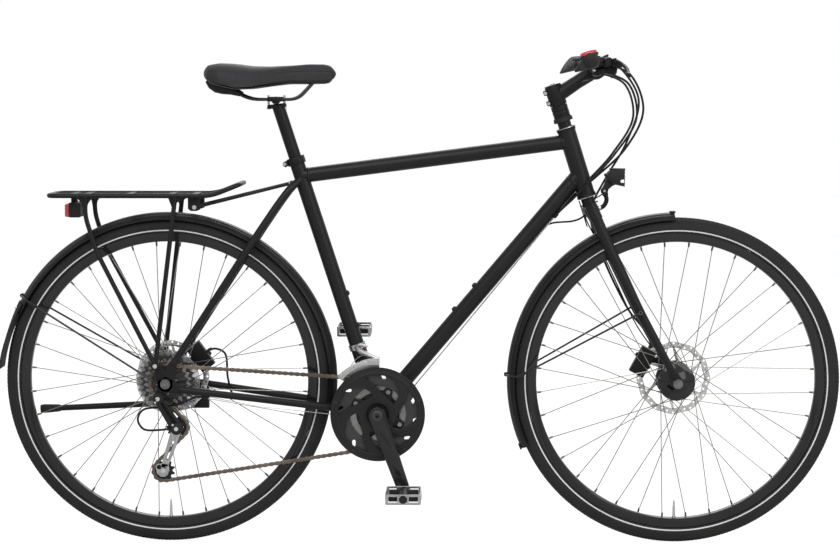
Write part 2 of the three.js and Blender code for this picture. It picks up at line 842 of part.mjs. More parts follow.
function makeRotor(name, y) {
  const low = y - rotorThickness / 2;
  const high = y + rotorThickness / 2;
  const inner = rotorRadius - rotorBrakeWidth;
  const arms = Array.from({ length: rotorArmCount }, (unused, i) => {
    const angle = (i / rotorArmCount) * fullTurn;
    const start = onCircle(rotorCenterRadius - rotorArmWidth / 2, angle);
    const end = onCircle(inner + rotorArmWidth / 2, angle + rotorArmSlant);
    const middle = onSide(start.clone().lerp(end, 0.5), y);
    const slope = Math.atan2(end.z - start.z, end.x - start.x) / degree;
    return block(middle, start.distanceTo(end), rotorThickness, rotorArmWidth, slope);
  });
  const track = disc(rotorRadius, low, high, rotorSegments, inner);
  const center = disc(rotorCenterRadius, low, high, hubSegments, rotorBore);
  return piece(name, join(track, center, arms), steelSilver());
}

// Axle: a rod through the hub and both dropouts, with a nut outside each
const axleNutRadius = 9;
const axleNutHeight = 8;
const nutSides = 6;
const axleEndLength = 3;

function makeAxle(name, dropoutOuter, center) {
  const nutStart = dropoutOuter + seatGap;
  const nutEnd = nutStart + axleNutHeight;
  const axle = disc(axleRadius, -nutEnd - axleEndLength, nutEnd + axleEndLength, staySides);
  const nuts = [disc(axleNutRadius, nutStart, nutEnd, nutSides), disc(axleNutRadius, -nutEnd, -nutStart,
      nutSides)];
  return piece(name, join(axle, nuts).translate(center.toArray()), steelSilver());
}

// Toothed wheels: one tip and one root for each tooth
const toothRise = 1.9;
const toothRoot = 3.7;
const pitchRadiusOf = (teeth) => chainPitch / (2 * Math.sin(Math.PI / teeth));

function toothOutline(teeth) {
  const pitchRadius = pitchRadiusOf(teeth);
  return Array.from({ length: 2 * teeth }, (unused, i) => {
    const point = onCircle(pitchRadius + (i % 2 === 0 ? toothRise : -toothRoot),
        (i / (2 * teeth)) * fullTurn);
    return [point.x, point.z];
  });
}

const cassetteBore = turningBore(freehubRadius, hubSegments);
const cassetteBodyRadius = 18.4;

function makeCassette() {
  const half = sprocketThickness / 2;
  const sprockets = sprocketTeeth.map((teeth, i) =>
    plate(toothOutline(teeth), smallestSprocketY + i * sprocketPitch, sprocketThickness));
  const end = smallestSprocketY + (sprocketTeeth.length - 1) * sprocketPitch;
  const body = disc(cassetteBodyRadius, smallestSprocketY - half, end + half, staySides);
  const bore = disc(cassetteBore, smallestSprocketY - half - overrun, end + half + overrun, hubSegments);
  return piece('cassette', cut(join(body, sprockets), bore), darkSteel());
}

// Chain path: straight runs between the ring, the sprocket and the two pulleys, seen from the right.
// The chain turns anticlockwise there, and passes the guide pulley on the other side.
const chainY = smallestSprocketY + chainSprocketIndex * sprocketPitch;
const chainWheels = [
  { x: bracket.x, z: bracket.z, radius: pitchRadiusOf(ringTeeth[chainRingIndex]), turn: 1 },
  { x: rearAxle.x, z: rearAxle.z, radius: pitchRadiusOf(sprocketTeeth[chainSprocketIndex]), turn: 1 },
  { x: guidePulleyX, z: guidePulleyZ, radius: pitchRadiusOf(pulleyTeeth), turn: -1 },
  { x: tensionPulleyX, z: tensionPulleyZ, radius: pitchRadiusOf(pulleyTeeth), turn: 1 },
];

// The straight run that leaves one wheel and touches the next
function runBetween(from, to) {
  const dx = to.x - from.x;
  const dz = to.z - from.z;
  const distance = Math.hypot(dx, dz);
  const heading = Math.atan2(dz, dx) - Math.asin((to.turn * to.radius - from.turn * from.radius) / distance);
  const left = [-Math.sin(heading), Math.cos(heading)];
  const touch = (wheel) => [wheel.x - wheel.turn * wheel.radius * left[0],
      wheel.z - wheel.turn * wheel.radius * left[1]];
  return { heading, start: touch(from), end: touch(to) };
}

function makeChainPath() {
  const runs = chainWheels.map((wheel, i) => runBetween(wheel, chainWheels[(i + 1) % chainWheels.length]));
  const stretches = [];
  runs.forEach((run, i) => {
    const next = runs[(i + 1) % runs.length];
    const wheel = chainWheels[(i + 1) % chainWheels.length];
    const fullCircle = 2 * Math.PI;
    const swing = (wheel.turn * (next.heading - run.heading) + 2 * fullCircle) % fullCircle;
    const length = Math.hypot(run.end[0] - run.start[0], run.end[1] - run.start[1]);
    stretches.push({ length, heading: run.heading, start: run.start, bend: 0 });
    stretches.push({ length: swing * wheel.radius, heading: run.heading, start: run.end,
        bend: wheel.turn / wheel.radius });
  });
  return stretches;
}

function pointOnPath(stretches, distance) {
  let rest = distance;
  const stretch = stretches.find((one) => {
    if (rest <= one.length) return true;
    rest -= one.length;
    return false;
  }) ?? stretches[0];
  const heading = stretch.heading + stretch.bend * rest;
  const [x, z] = stretch.start;
  if (stretch.bend === 0) {
    return { x: x + rest * Math.cos(heading), z: z + rest * Math.sin(heading), heading };
  }
  return {
    x: x + (Math.sin(heading) - Math.sin(stretch.heading)) / stretch.bend,
    z: z - (Math.cos(heading) - Math.cos(stretch.heading)) / stretch.bend,
    heading,
  };
}

// A roller is there where it is clear of the teeth. On a toothed wheel the teeth fill its place.
function rollerIsClear(station) {
  const { x, z, heading } = station;
  const lengthwise = [Math.cos(heading), Math.sin(heading)];
  const crosswise = [lengthwise[1], -lengthwise[0]];
  const corners = [[chainRollerWidth / 2, 0], [-chainRollerWidth / 2, 0], [0, chainPlateHeight / 2],
      [0, -chainPlateHeight / 2]];
  return chainWheels.every((wheel) => corners.every(([a, b]) => {
    const cornerX = x + a * lengthwise[0] + b * crosswise[0];
    const cornerZ = z + a * lengthwise[1] + b * crosswise[1];
    return Math.hypot(cornerX - wheel.x, cornerZ - wheel.z) > wheel.radius + toothRise + turningGap;
  }));
}

// Stations: one at each pin, and one at the waist of every second link, whose plates are the outer ones
function makeChainStations() {
  const stretches = makeChainPath();
  const total = stretches.reduce((sum, stretch) => sum + stretch.length, 0);
  const links = 2 * Math.round(total / chainPitch / 2);
  const pitch = total / links;
  const stations = [];
  for (let i = 0; i < links; i += 1) {
    const pin = pointOnPath(stretches, i * pitch);
    stations.push({ ...pin, half: chainPlateHeight / 2, roller: rollerIsClear(pin) });
    if (i % 2 === 0 && rollerIsClear(pin)) {
      stations.push({ ...pointOnPath(stretches, (i + 1 / 2) * pitch), half: chainWaistHeight / 2,
          roller: false });
    }
  }
  return stations;
}

// One closed skin: two waisted bands of link plates, with rollers between them
function makeChain() {
  const stations = makeChainStations();
  const positions = [];
  const corners = [];
  const addPoint = (x, y, z) => {
    positions.push(x, y, z);
    return positions.length / 3 - 1;
  };
  const addFace = (side, points) => {
    const turned = side > 0 ? points : points.toReversed();
    for (let i = 1; i + 1 < turned.length; i += 1) corners.push(turned[0], turned[i], turned[i + 1]);
  };
  const bands = [-1, 1].map((side) => stations.map((station) => {
    const { x, z, heading, half, roller } = station;
    const outward = [Math.sin(heading), -Math.cos(heading)];
    const inner = chainY + side * (chainInnerWidth / 2);
    const outer = inner + side * chainPlateThickness;
    const edge = (distance, y) => addPoint(x + distance * outward[0], y, z + distance * outward[1]);
    const lug = (distance) => addPoint(x + distance * Math.cos(heading), inner,
        z + distance * Math.sin(heading));
    return {
      innerTop: edge(half, inner),
      innerBottom: edge(-half, inner),
      outerTop: edge(half, outer),
      outerBottom: edge(-half, outer),
      ahead: roller ? lug(chainRollerWidth / 2) : null,
      behind: roller ? lug(-chainRollerWidth / 2) : null,
    };
  }));
  bands.forEach((band, index) => {
    const side = index === 0 ? -1 : 1;
    band.forEach((a, i) => {
      const b = band[(i + 1) % band.length];
      addFace(side, [a.outerBottom, b.outerBottom, b.outerTop, a.outerTop]);
      addFace(side, [a.innerTop, a.outerTop, b.outerTop, b.innerTop]);
      addFace(side, [a.innerBottom, b.innerBottom, b.outerBottom, a.outerBottom]);
      const near = a.ahead === null ? [] : [a.ahead];
      const far = b.behind === null ? [] : [b.behind];
      const nearTip = near[0] ?? a.innerBottom;
      const farTip = far[0] ?? b.innerBottom;
      addFace(side, [a.innerTop, b.innerTop, farTip]);
      addFace(side, [a.innerTop, farTip, nearTip]);
      if (far.length > 0) addFace(side, [farTip, b.innerBottom, nearTip]);
      if (near.length > 0) addFace(side, [nearTip, b.innerBottom, a.innerBottom]);
    });
  });
  stations.forEach((station, i) => {
    if (!station.roller) return;
    const [right, left] = bands.map((band) => [band[i].ahead, band[i].innerTop, band[i].behind,
        band[i].innerBottom]);
    right.forEach((corner, k) => {
      const next = (k + 1) % right.length;
      addFace(1, [corner, right[next], left[next], left[k]]);
    });
  });
  const geometry = new THREE.BufferGeometry();
  geometry.setAttribute('position', new THREE.Float32BufferAttribute(positions, 3));
  geometry.setIndex(corners);
  return piece('chain', solid(geometry), chainSteel());
}

// Chainrings: three toothed rings on one riveted carrier. They are made in the crank's own frame.
const ringInnerRadii = [46, 44, 27];
const carrierHubRadius = 30;
const crankBossRadius = 14;
const rivetBlockWidth = 14;
const rivetBlockCount = 4;
const rivetBlockStart = 27;

function makeChainrings() {
  const half = ringThickness / 2;
  const rings = ringTeeth.map((teeth, i) =>
    plate(toothOutline(teeth), ringY[i], ringThickness, [ringOutline(ringInnerRadii[i], hubSegments)]));
  const outerFace = ringY[0] - half;
  const innerFace = ringY[2] + half;
  const hubInner = -(bracketShellWidth / 2 + cartridgeLip + 2 * turningGap);
  const hub = disc(carrierHubRadius, outerFace, hubInner, hubSegments, crankBossRadius + seatGap);
  const blocks = Array.from({ length: rivetBlockCount }, (unused, i) => {
    const angle = ((i + 1 / 2) / rivetBlockCount) * fullTurn;
    const middle = onCircle((rivetBlockStart + ringBoltCircle) / 2, angle, (outerFace + innerFace) / 2);
    return block(middle, ringBoltCircle - rivetBlockStart, innerFace - outerFace, rivetBlockWidth, angle);
  });
  const small = ringTeeth[2];
  const clearing = disc(ringBoltCircle, ringY[2] - half, innerFace + overrun, hubSegments,
      pitchRadiusOf(small) - toothRoot);
  return piece('chainrings', join(rings[0], rings[1], hub, cut(join(blocks[0], blocks.slice(1)),
      clearing), rings[2]),
    darkSteel());
}

// Chain guard: a rim and a centre joined by curved spokes, on short bosses over the outer ring
const guardGap = 4;
const guardRimWidth = 15;
const guardCenterRadius = 36;
const guardBore = 24;
const guardSpokeWidth = 9;
const guardSpokeSwing = 34;
const guardSpokeSteps = 2;
const guardBossRadius = 4;
const guardSegments = 20;

function curvedSpoke(startRadius, endRadius, startAngle, swing, width, steps) {
  const sideOf = (sign) => Array.from({ length: steps + 1 }, (unused, i) => {
    const share = i / steps;
    const radius = startRadius + share * (endRadius - startRadius);
    const angle = startAngle + swing * share * share;
    const offset = (sign * width) / 2 / radius / degree;
    const point = onCircle(radius, angle + offset);
    return [point.x, point.z];
  });
  return [...sideOf(-1), ...sideOf(1).toReversed()];
}

function makeChainGuard() {
  const inner = ringY[0] - ringThickness / 2 - guardGap + chainGuardThickness / 2;
  const y = inner - chainGuardThickness / 2;
  const low = y - chainGuardThickness / 2;
  const high = y + chainGuardThickness / 2;
  const rim = disc(chainGuardRadius, low, high, guardSegments, chainGuardRadius - guardRimWidth);
  const center = disc(guardCenterRadius, low, high, guardSegments, guardBore);
  const repeat = (make) => Array.from({ length: chainGuardSpokes },
      (unused, i) => make((i / chainGuardSpokes) * fullTurn));
  const spokes = repeat((angle) => plate(curvedSpoke(guardCenterRadius - 1,
      chainGuardRadius - guardRimWidth + 1, angle,
    guardSpokeSwing, guardSpokeWidth, guardSpokeSteps), y, chainGuardThickness));
  const bossEnd = ringY[0] - ringThickness / 2 - seatGap;
  const bossCircle = chainGuardRadius - guardRimWidth / 2 - guardBossRadius;
  const bosses = repeat((angle) => {
    const place = onCircle(bossCircle, angle);
    return disc(guardBossRadius, y, bossEnd, nutSides).translate([place.x, 0, place.z]);
  });
  return piece('chain_guard', join(rim, center, spokes, bosses), satinBlack());
}

// Cranks, in their own frame: the right arm points down and the left arm up
const spindleEnd = 60;
const crankBoltRadius = 9;
const crankBoltHeight = 2;
const pedalGap = 3;

function makeCrankArm(side) {
  const y = side * crankArmY;
  const end = [0, side * crankLength];
  const arm = plate(linkOutline([0, 0], crankEyeRadius, end, pedalEyeRadius, 6), y, crankArmThickness);
  const outer = y + side * (crankArmThickness / 2);
  const bolt = mirrored(disc(crankBoltRadius, 0, crankBoltHeight, staySides), side).translate([0, outer,
      0]);
  const pedalEnd = crankArmThickness / 2 + pedalGap + pedalLength;
  const axle = mirrored(disc(pedalAxleRadius, 0, pedalEnd, staySides), side).translate([0, y, end[1]]);
  return join(arm, bolt, axle);
}

function makeRightCrank() {
  const boss = disc(crankBossRadius, -crankArmY, -(bracketShellWidth / 2 + cartridgeLip + 2 * turningGap),
      hubSegments);
  const spindle = disc(spindleRadius, -crankArmY, spindleEnd, hubSegments);
  return piece('right_crank', join(makeCrankArm(-1), boss, spindle), satinBlack());
}

function makeLeftCrank() {
  const inner = bracketShellWidth / 2 + cartridgeLip + 2 * turningGap;
  const boss = disc(crankBossRadius, inner, crankArmY, hubSegments);
  const socket = disc(spindleRadius + seatGap, inner - overrun, spindleEnd + seatGap, hubSegments);
  return piece('left_crank', cut(join(makeCrankArm(1), boss), socket), satinBlack());
}

// A cage pedal on its barrel, around the pedal axle
const pedalBarrelRadius = 10;
const pedalBarThickness = 7;
const pedalEndThickness = 6;
const pedalEndHeight = 14;

function makePedal(name, side) {
  const start = crankArmThickness / 2 + pedalGap;
  const middle = start + pedalLength / 2;
  const barX = (pedalWidth - pedalBarThickness) / 2;
  const shape = join(
    disc(pedalBarrelRadius, start, start + pedalLength, hubSegments),
    pairOf((end) => block(at(end * barX, middle, 0), pedalBarThickness, pedalLength, pedalHeight)),
    pairOf((end) => block(at(0, middle + (end * (pedalLength - pedalEndThickness)) / 2, 0),
        pedalWidth - pedalBarThickness,
      pedalEndThickness, pedalEndHeight)),
  );
  const bore = disc(turningBore(pedalAxleRadius, hubSegments), start - overrun,
      start + pedalLength + overrun, hubSegments);
  return piece(name, mirrored(cut(shape, bore), side), matteBlack());
}

// Jockey pulleys turn on the cage's bolts
const pulleyThickness = 2.4;
const pulleyHubRadius = 8;

function makePulley(name) {
  const hubHalf = cageHalfGap - turningGap;
  const bore = disc(turningBore(pulleyBoltRadius, staySides), -hubHalf - overrun, hubHalf + overrun,
      staySides);
  const body = join(plate(toothOutline(pulleyTeeth), 0, pulleyThickness), disc(pulleyHubRadius, -hubHalf,
      hubHalf, staySides));
  return piece(name, cut(body, bore), matteBlack());
}

const guidePlace = [guidePulleyX, guidePulleyZ];
const tensionPlace = [tensionPulleyX, tensionPulleyZ];
const cageEndRadius = 13;
const cageBoltHead = 5;
const cageBoltHeadHeight = 1.5;

function makeDerailleurCage() {
  const plateAt = (side) => plate(linkOutline(guidePlace, cageEndRadius, tensionPlace, cageEndRadius - 1),
    chainY + side * (cageHalfGap + cageThickness / 2), cageThickness);
  const half = cageHalfGap + cageThickness;
  const boltAt = ([x, z]) => disc(pulleyBoltRadius, -half, half, staySides).translate([x, chainY, z]);
  const headAt = ([x, z]) => disc(cageBoltHead, half, half + cageBoltHeadHeight, nutSides).translate([x,
      chainY, z]);
  return piece('derailleur_cage', join(plateAt(-1), plateAt(1), boltAt(guidePlace), boltAt(tensionPlace),
    headAt(guidePlace), headAt(tensionPlace)), steelSilver());
}

// Rear derailleur: an upper knuckle on the hanger, two links, and a lower knuckle beside the cage
const knuckleRadius = 11;
const upperKnuckleLength = 20;
const lowerKnuckleLength = 22;
const linkRadius = 4.5;
const linkSpacing = 9;

function makeRearDerailleur() {
  const upperInner = -(dropoutY + dropoutThickness / 2 + seatGap);
  const upper = disc(knuckleRadius, upperInner - upperKnuckleLength, upperInner, hubSegments)
    .translate([hanger[0], 0, hanger[1]]);
  const lowerInner = chainY - cageHalfGap - cageThickness - seatGap;
  const lower = disc(knuckleRadius, lowerInner - lowerKnuckleLength, lowerInner, hubSegments)
    .translate([guidePulleyX, 0, guidePulleyZ]);
  const links = pairOf((side) => rod(
    at(hanger[0] + side * linkSpacing / 2, upperInner - upperKnuckleLength / 2 + side * linkSpacing / 2,
        hanger[1]),
    at(guidePulleyX + side * linkSpacing / 2,
        lowerInner - lowerKnuckleLength / 2 + side * linkSpacing / 2, guidePulleyZ),
    linkRadius,
  ));
  return piece('rear_derailleur', join(upper, lower, links), matteBlack());
}

// Front derailleur: a band on the seat tube, an arm, and a curved cage over the big ring
const bandHeight = 12;
const bandWall = 2.5;
const bandDistance = 146;
const changerArmRadius = 6;
const changerStartAngle = 88;
const changerEndAngle = 137;
const changerOuterRadius = 123;
const changerInnerStart = 86;
const changerHalfGap = 5.2;
const changerThickness = 1.6;
const changerBridgeDepth = 4;
const changerBridgeEnd = 108;
const changerGap = 2;

function sectorOutline(innerRadius, outerRadius, startAngle, endAngle, steps) {
  const arc = (radius) => Array.from({ length: steps + 1 }, (unused, i) => {
    const point = onCircle(radius, startAngle + ((endAngle - startAngle) * i) / steps);
    return [bracket.x + point.x, bracket.z + point.z];
  });
  return [...arc(outerRadius), ...arc(innerRadius).toReversed()];
}

function makeFrontDerailleur() {
  const steps = 6;
  const outerInnerRadius = pitchRadiusOf(ringTeeth[0]) + toothRise + changerGap;
  const inner = chainY + changerHalfGap + changerThickness / 2;
  const outer = chainY - changerHalfGap - changerThickness / 2;
  const low = onSeatTube(bandDistance - bandHeight / 2);
  const high = onSeatTube(bandDistance + bandHeight / 2);
  const bandOuter = seatTubeRadius + seatGap + bandWall;
  const band = rod(low, high, bandOuter, bandOuter, tubeSides);
  const bandBore = rod(along(low, seatLine, -overrun), along(high, seatLine, overrun),
      seatTubeRadius + seatGap,
    seatTubeRadius + seatGap, tubeSides);
  const armEnd = onCircle(changerOuterRadius - changerBridgeDepth / 2,
      changerStartAngle + changerArmRadius);
  const arm = rod(onSide(onSeatTube(bandDistance), -bandOuter + bandWall), at(bracket.x + armEnd.x, inner,
      bracket.z + armEnd.z),
    changerArmRadius);
  return piece('front_derailleur', join(
    cut(join(band, arm), bandBore),
    plate(sectorOutline(changerInnerStart, changerOuterRadius, changerStartAngle, changerEndAngle, steps),
        inner,
      changerThickness),
    plate(sectorOutline(outerInnerRadius, changerOuterRadius, changerStartAngle, changerEndAngle, steps),
        outer,
      changerThickness),
    plate(sectorOutline(changerOuterRadius - changerBridgeDepth, changerOuterRadius, changerStartAngle,
        changerBridgeEnd,
      steps / 2), chainY, 2 * changerHalfGap + 2 * changerThickness),
  ), steelSilver());
}

// Fork, in the steering frame: x forward and z up along the steering axis, with z = 0 level with the
// wheel axle
const crownTop = headTubeFoot - cupHeight - 2 * seatGap;
const crownBottom = crownTop - crownHeight;
const stemFoot = headTop + cupHeight + seatGap;
const stemCenter = stemFoot + spacerHeight + stemClampHeight / 2;
const steererTop = stemCenter + stemClampHeight / 2;
const forkDropoutThickness = 7;
const forkDropoutY = frontOverLocknut / 2 + seatGap + forkDropoutThickness / 2;
const bladeBendShares = [1, 0.8, 0.41, 0.09];
const bladeForwardShares = [0, 0.14, 0.5, 0.9];
const forkEyeRadius = 13;
const forkTabRadius = 8;
const frontCaliperAngle = 134;
const rearCaliperAngle = 36;
const caliperReach = 76;
const caliperSlot = 3.2;
const caliperEarRadius = 6;
const stayBossShare = 0.41;
const stayBossLength = 5;
const caliperShiftShare = 0.4;

function bladePoint(share, side) {
  const index = bladeBendShares.findIndex((value,
      i) => i + 1 < bladeBendShares.length && share >= bladeBendShares[i + 1]);
  const i = index < 0 ? bladeBendShares.length - 2 : index;
  const mix = (share - bladeBendShares[i]) / (bladeBendShares[i + 1] - bladeBendShares[i]);
  const forward = THREE.MathUtils.lerp(bladeForwardShares[i], bladeForwardShares[i + 1], mix) * forkOffset;
  const y = THREE.MathUtils.lerp(bladeFootSpread, bladeSpread, share);
  return at(forward, side * y, share * crownTop);
}

function makeBlade(side) {
  const points = bladeBendShares.map((share) => bladePoint(share, side));
  return taperedTube([...points, at(forkOffset, side * forkDropoutY, forkEyeRadius)], [bladeTopRadius,
      bladeFootRadius], 7, staySides);
}

function makeForkDropout(side) {
  const center = [forkOffset, 0];
  const top = bladePoint(bladeBendShares[3], side);
  const y = side * forkDropoutY;
  const body = plate(linkOutline(center, forkEyeRadius, [top.x, top.z], bladeFootRadius), y,
      forkDropoutThickness);
  const slotHalf = axleRadius + seatGap;
  const slotDepth = forkEyeRadius + overrun;
  const slot = block(at(forkOffset, y, -slotDepth / 2), 2 * slotHalf, forkDropoutThickness + 2 * overrun,
      slotDepth);
  const end = disc(slotHalf, y - forkDropoutThickness, y + forkDropoutThickness,
      tubeSides).translate([forkOffset, 0, 0]);
  return [body, slot, end];
}

function makeFork() {
  const ends = pairOf(makeForkDropout);
  const ear = onCircle(caliperReach, frontCaliperAngle);
  const tabEnd = [forkOffset + ear.x, ear.z];
  const tabRoot = bladePoint(bladeBendShares[3], 1);
  const tab = plate(linkOutline([tabRoot.x, tabRoot.z], bladeFootRadius, tabEnd, forkTabRadius),
      forkDropoutY,
    forkDropoutThickness);
  const bosses = pairOf((side) => {
    const root = bladePoint(stayBossShare, side);
    return rod(root, onSide(root, root.y + side * (bladeTopRadius + stayBossLength)), stayBossLength);
  });
  const body = join(
    rod(at(0, 0, crownBottom), at(0, 0, steererTop), steererRadius, steererRadius, tubeSides),
    block(at(0, 0, (crownTop + crownBottom) / 2), crownDepth, 2 * bladeSpread, crownHeight),
    pairOf(makeBlade),
    ends.map(([plateBody]) => plateBody),
    tab,
    bosses,
  );
  return piece('fork', cut(body, ends.flatMap(([, slot, end]) => [slot, end])), satinBlack());
}

// Brake caliper: a block with a slot for the disc, and an ear that reaches its tab
function makeCaliper(name, center, angle, rotorY, tabFace) {
  const middle = onCircle(caliperReach, angle,
      rotorY - (caliperThickness / 2 - caliperThickness * caliperShiftShare));
  const body = block(at(center.x + middle.x, middle.y, center.z + middle.z), caliperHeight,
      caliperThickness,
    caliperLength, angle);
  const slot = disc(turningBore(rotorRadius, rotorSegments), rotorY - caliperSlot / 2,
      rotorY + caliperSlot / 2, rotorSegments)
    .translate([center.x, 0, center.z]);
  const ear = disc(caliperEarRadius, middle.y, tabFace - seatGap, staySides)
    .translate([center.x + middle.x, 0, center.z + middle.z]);
  return piece(name, join(cut(body, slot), cut(ear, slot)), matteBlack());
}

// Stem: spacers and a clamp on the steerer, a rising tube, and a clamp on the bar
const barCenter = at(stemReach, 0, stemCenter + stemRise);
const stemCapHeight = 4;

function makeStem() {
  const bore = steererRadius + seatGap;
  const capBase = steererTop + seatGap;
  const body = join(
    rod(at(0, 0, stemFoot), at(0, 0, stemFoot + spacerHeight), spacerRadius, spacerRadius, tubeSides),
    rod(at(0, 0, stemFoot + spacerHeight), at(0, 0, capBase + stemCapHeight), stemClampRadius,
        stemClampRadius, tubeSides),
    rod(at(0, 0, stemCenter), barCenter, stemTubeRadius, stemTubeRadius, tubeSides),
    disc(barClampRadius + seatGap + stemCapHeight, -barClampWidth / 2, barClampWidth / 2, tubeSides)
      .translate(barCenter.toArray()),
  );
  const steererBore = rod(at(0, 0, stemFoot - overrun), at(0, 0, capBase), bore, bore, tubeSides);
  const barBore = disc(barClampRadius + seatGap, -barClampWidth, barClampWidth,
      barSides).translate(barCenter.toArray());
  return piece('stem', cut(body, steererBore, barBore), matteBlack());
}

// Handlebar: thick at the clamp, then raised and swept back to thin ends
const gripEndWall = 3;
const barShoulderY = 40;
const barBendY = 95;
const barRiseShares = [0, 0, 0.74, 1];
const barSweepShares = [0, 0, 0.16, 1];
const barYs = [0, barShoulderY, barBendY, barHalfWidth];

function barPoint(y, side = 1) {
  const i = barYs.findIndex((value, k) => k + 1 < barYs.length && y <= barYs[k + 1]);
  const mix = (y - barYs[i]) / (barYs[i + 1] - barYs[i]);
  const rise = THREE.MathUtils.lerp(barRiseShares[i], barRiseShares[i + 1], mix) * barRise;
  const sweepBack = THREE.MathUtils.lerp(barSweepShares[i], barSweepShares[i + 1], mix) * barSweep;
  return at(barCenter.x - sweepBack, side * y, barCenter.z + rise);
}
const barSides = 8;

function makeHandlebar() {
  const ys = [barHalfWidth - gripEndWall - seatGap, barBendY, barShoulderY, barClampWidth / 2];
  const points = [...ys.map((y) => barPoint(y, -1)), ...ys.toReversed().map((y) => barPoint(y, 1))];
  const places = points.map((point, i) => {
    const before = points[Math.max(i - 1, 0)];
    const after = points[Math.min(i + 1, points.length - 1)];
    return { point, tangent: after.clone().sub(before).normalize() };
  });
  const thickness = [barRadius, barRadius, barRadius, barClampRadius];
  const radii = [...thickness, ...thickness.toReversed()];
  const radiusAt = (share) => radii[Math.round(share * (radii.length - 1))];
  return piece('handlebar', loft(ringsAlong(places, radiusAt, barSides)), matteBlack());
}

// Grip: a sleeve with a palm rest that swells behind the bar
const gripRings = 7;
const gripSides = 8;
const gripWingDrop = 0.25;
const gripWingShares = [0.15, 0.35, 0.65, 0.9, 1, 0.95, 0.7];
const gripStart = barHalfWidth - gripLength;
const outerBarLine = barPoint(barHalfWidth).sub(barPoint(barBendY)).normalize();

function makeGrip(name, side) {
  const rings = Array.from({ length: gripRings }, (unused, i) => {
    const center = barPoint(gripStart + (i / (gripRings - 1)) * gripLength);
    return Array.from({ length: gripSides }, (alsoUnused, k) => {
      const angle = (k / gripSides) * fullTurn * degree;
      const back = Math.max(0, -Math.cos(angle)) ** 2 * gripWing * gripWingShares[i];
      const rise = -gripRadius * Math.sin(angle) - back * gripWingDrop;
      return at(center.x + gripRadius * Math.cos(angle) - back, center.y, center.z + rise);
    });
  });
  const bore = rod(barPoint(gripStart - overrun), barPoint(barHalfWidth - gripEndWall), barRadius + seatGap,
    barRadius + seatGap, gripSides);
  return piece(name, mirrored(cut(loft(rings), bore), side), gripBlack());
}

// Controls: a clamp, a brake perch with its reservoir, and a shifter body under the bar
const perchWidth = 16;
const perchRadius = 15.5;
const reservoirLength = 24;
const reservoirWidth = 46;
const reservoirHeight = 17;
const reservoirForward = 23;
const reservoirDrop = 8;
const shifterLength = 34;
const shifterWidth = 34;
const shifterHeight = 16;
const shifterForward = 10;
const shifterInward = 26;
const shifterDrop = 24;
const controlCenter = barPoint(controlPlace);
const reservoirCenter = at(controlCenter.x + reservoirForward, controlCenter.y - perchWidth,
    controlCenter.z - reservoirDrop);
const shifterCenter = at(controlCenter.x + shifterForward, controlCenter.y - shifterInward,
    controlCenter.z - shifterDrop);

function makeControl(name, side) {
  const clamp = rod(along(controlCenter, outerBarLine, -perchWidth / 2), along(controlCenter,
      outerBarLine, perchWidth / 2),
    perchRadius, perchRadius, barSides);
  const shiftClamp = rod(along(barPoint(controlPlace - shifterInward), outerBarLine, -perchWidth / 2),
    along(barPoint(controlPlace - shifterInward), outerBarLine, perchWidth), perchRadius, perchRadius,
        barSides);
  const body = join(
    clamp,
    shiftClamp,
    block(reservoirCenter, reservoirLength, reservoirWidth, reservoirHeight),
    block(shifterCenter, shifterLength, shifterWidth, shifterHeight),
  );
  const boreRadius = barRadius + seatGap + turningGap;
  const bore = rod(along(barPoint(barBendY), outerBarLine, -2 * overrun),
      barPoint(controlPlace + perchWidth), boreRadius,
    boreRadius, barSides);
  return piece(name, mirrored(cut(body, bore), side), matteBlack());
}

// Brake lever: from a pivot before the reservoir, outwards along the grip
const leverRootRadius = 5.5;
const leverTipRadius = 3.8;
const leverSteps = 6;
const leverPivot = at(reservoirCenter.x + reservoirLength / 2 + seatGap + leverRootRadius,
  reservoirCenter.y + reservoirWidth / 2, reservoirCenter.z - reservoirDrop / 2);

function makeBrakeLever(name, side) {
  const tip = barPoint(leverPivot.y + leverLength);
  const end = at(tip.x + leverReach, tip.y, tip.z - leverDrop);
  const middle = leverPivot.clone().lerp(end, 0.5);
  const points = [leverPivot, at(middle.x + leverRootRadius, middle.y, middle.z - leverTipRadius), end];
  const blade = taperedTube(points, [leverRootRadius, leverTipRadius, leverTipRadius], leverSteps);
  return piece(name, mirrored(blade.translate(leverPivot.clone().negate().toArray()), side), matteBlack());
}

// Thumb lever: a paddle under the shifter body, which points back to the rider
const thumbPivot = at(shifterCenter.x - shifterForward / 2, shifterCenter.y,
    shifterCenter.z - shifterHeight / 2 - seatGap);
const thumbLength = 34;
const thumbThickness = 4;
const thumbRootRadius = 9;
const thumbTipRadius = 6;

function makeThumbLever(name, side) {
  const outline = linkOutline([0, 0], thumbRootRadius, [-thumbLength, thumbLength / 4], thumbTipRadius, 4);
  const paddle = plate(outline, 0, thumbThickness).rotate([-halfTurn / 2, 0, 0]).translate([0, 0,
      -thumbThickness / 2]);
  return piece(name, mirrored(paddle, side), matteBlack());
}

// Bell: a band round the bar, a low dome on top, and a striker behind
const bellY = 62;
const bellBack = 6;
const bellStand = 9;
const bellBandWidth = 9;
const bellBandWall = 2.5;
const domeSteps = 4;
const domeSides = 12;
const strikerLength = 15;
const strikerRadius = 2.6;
const bellBarRadius = barRadius + 2 * seatGap;
const bellBase = at(barPoint(bellY).x - bellBack, -bellY,
    barPoint(bellY).z + bellBarRadius + bellBandWall + bellStand);
const strikerPlace = at(bellBase.x - bellRadius - turningGap, bellBase.y, bellBase.z + strikerRadius);

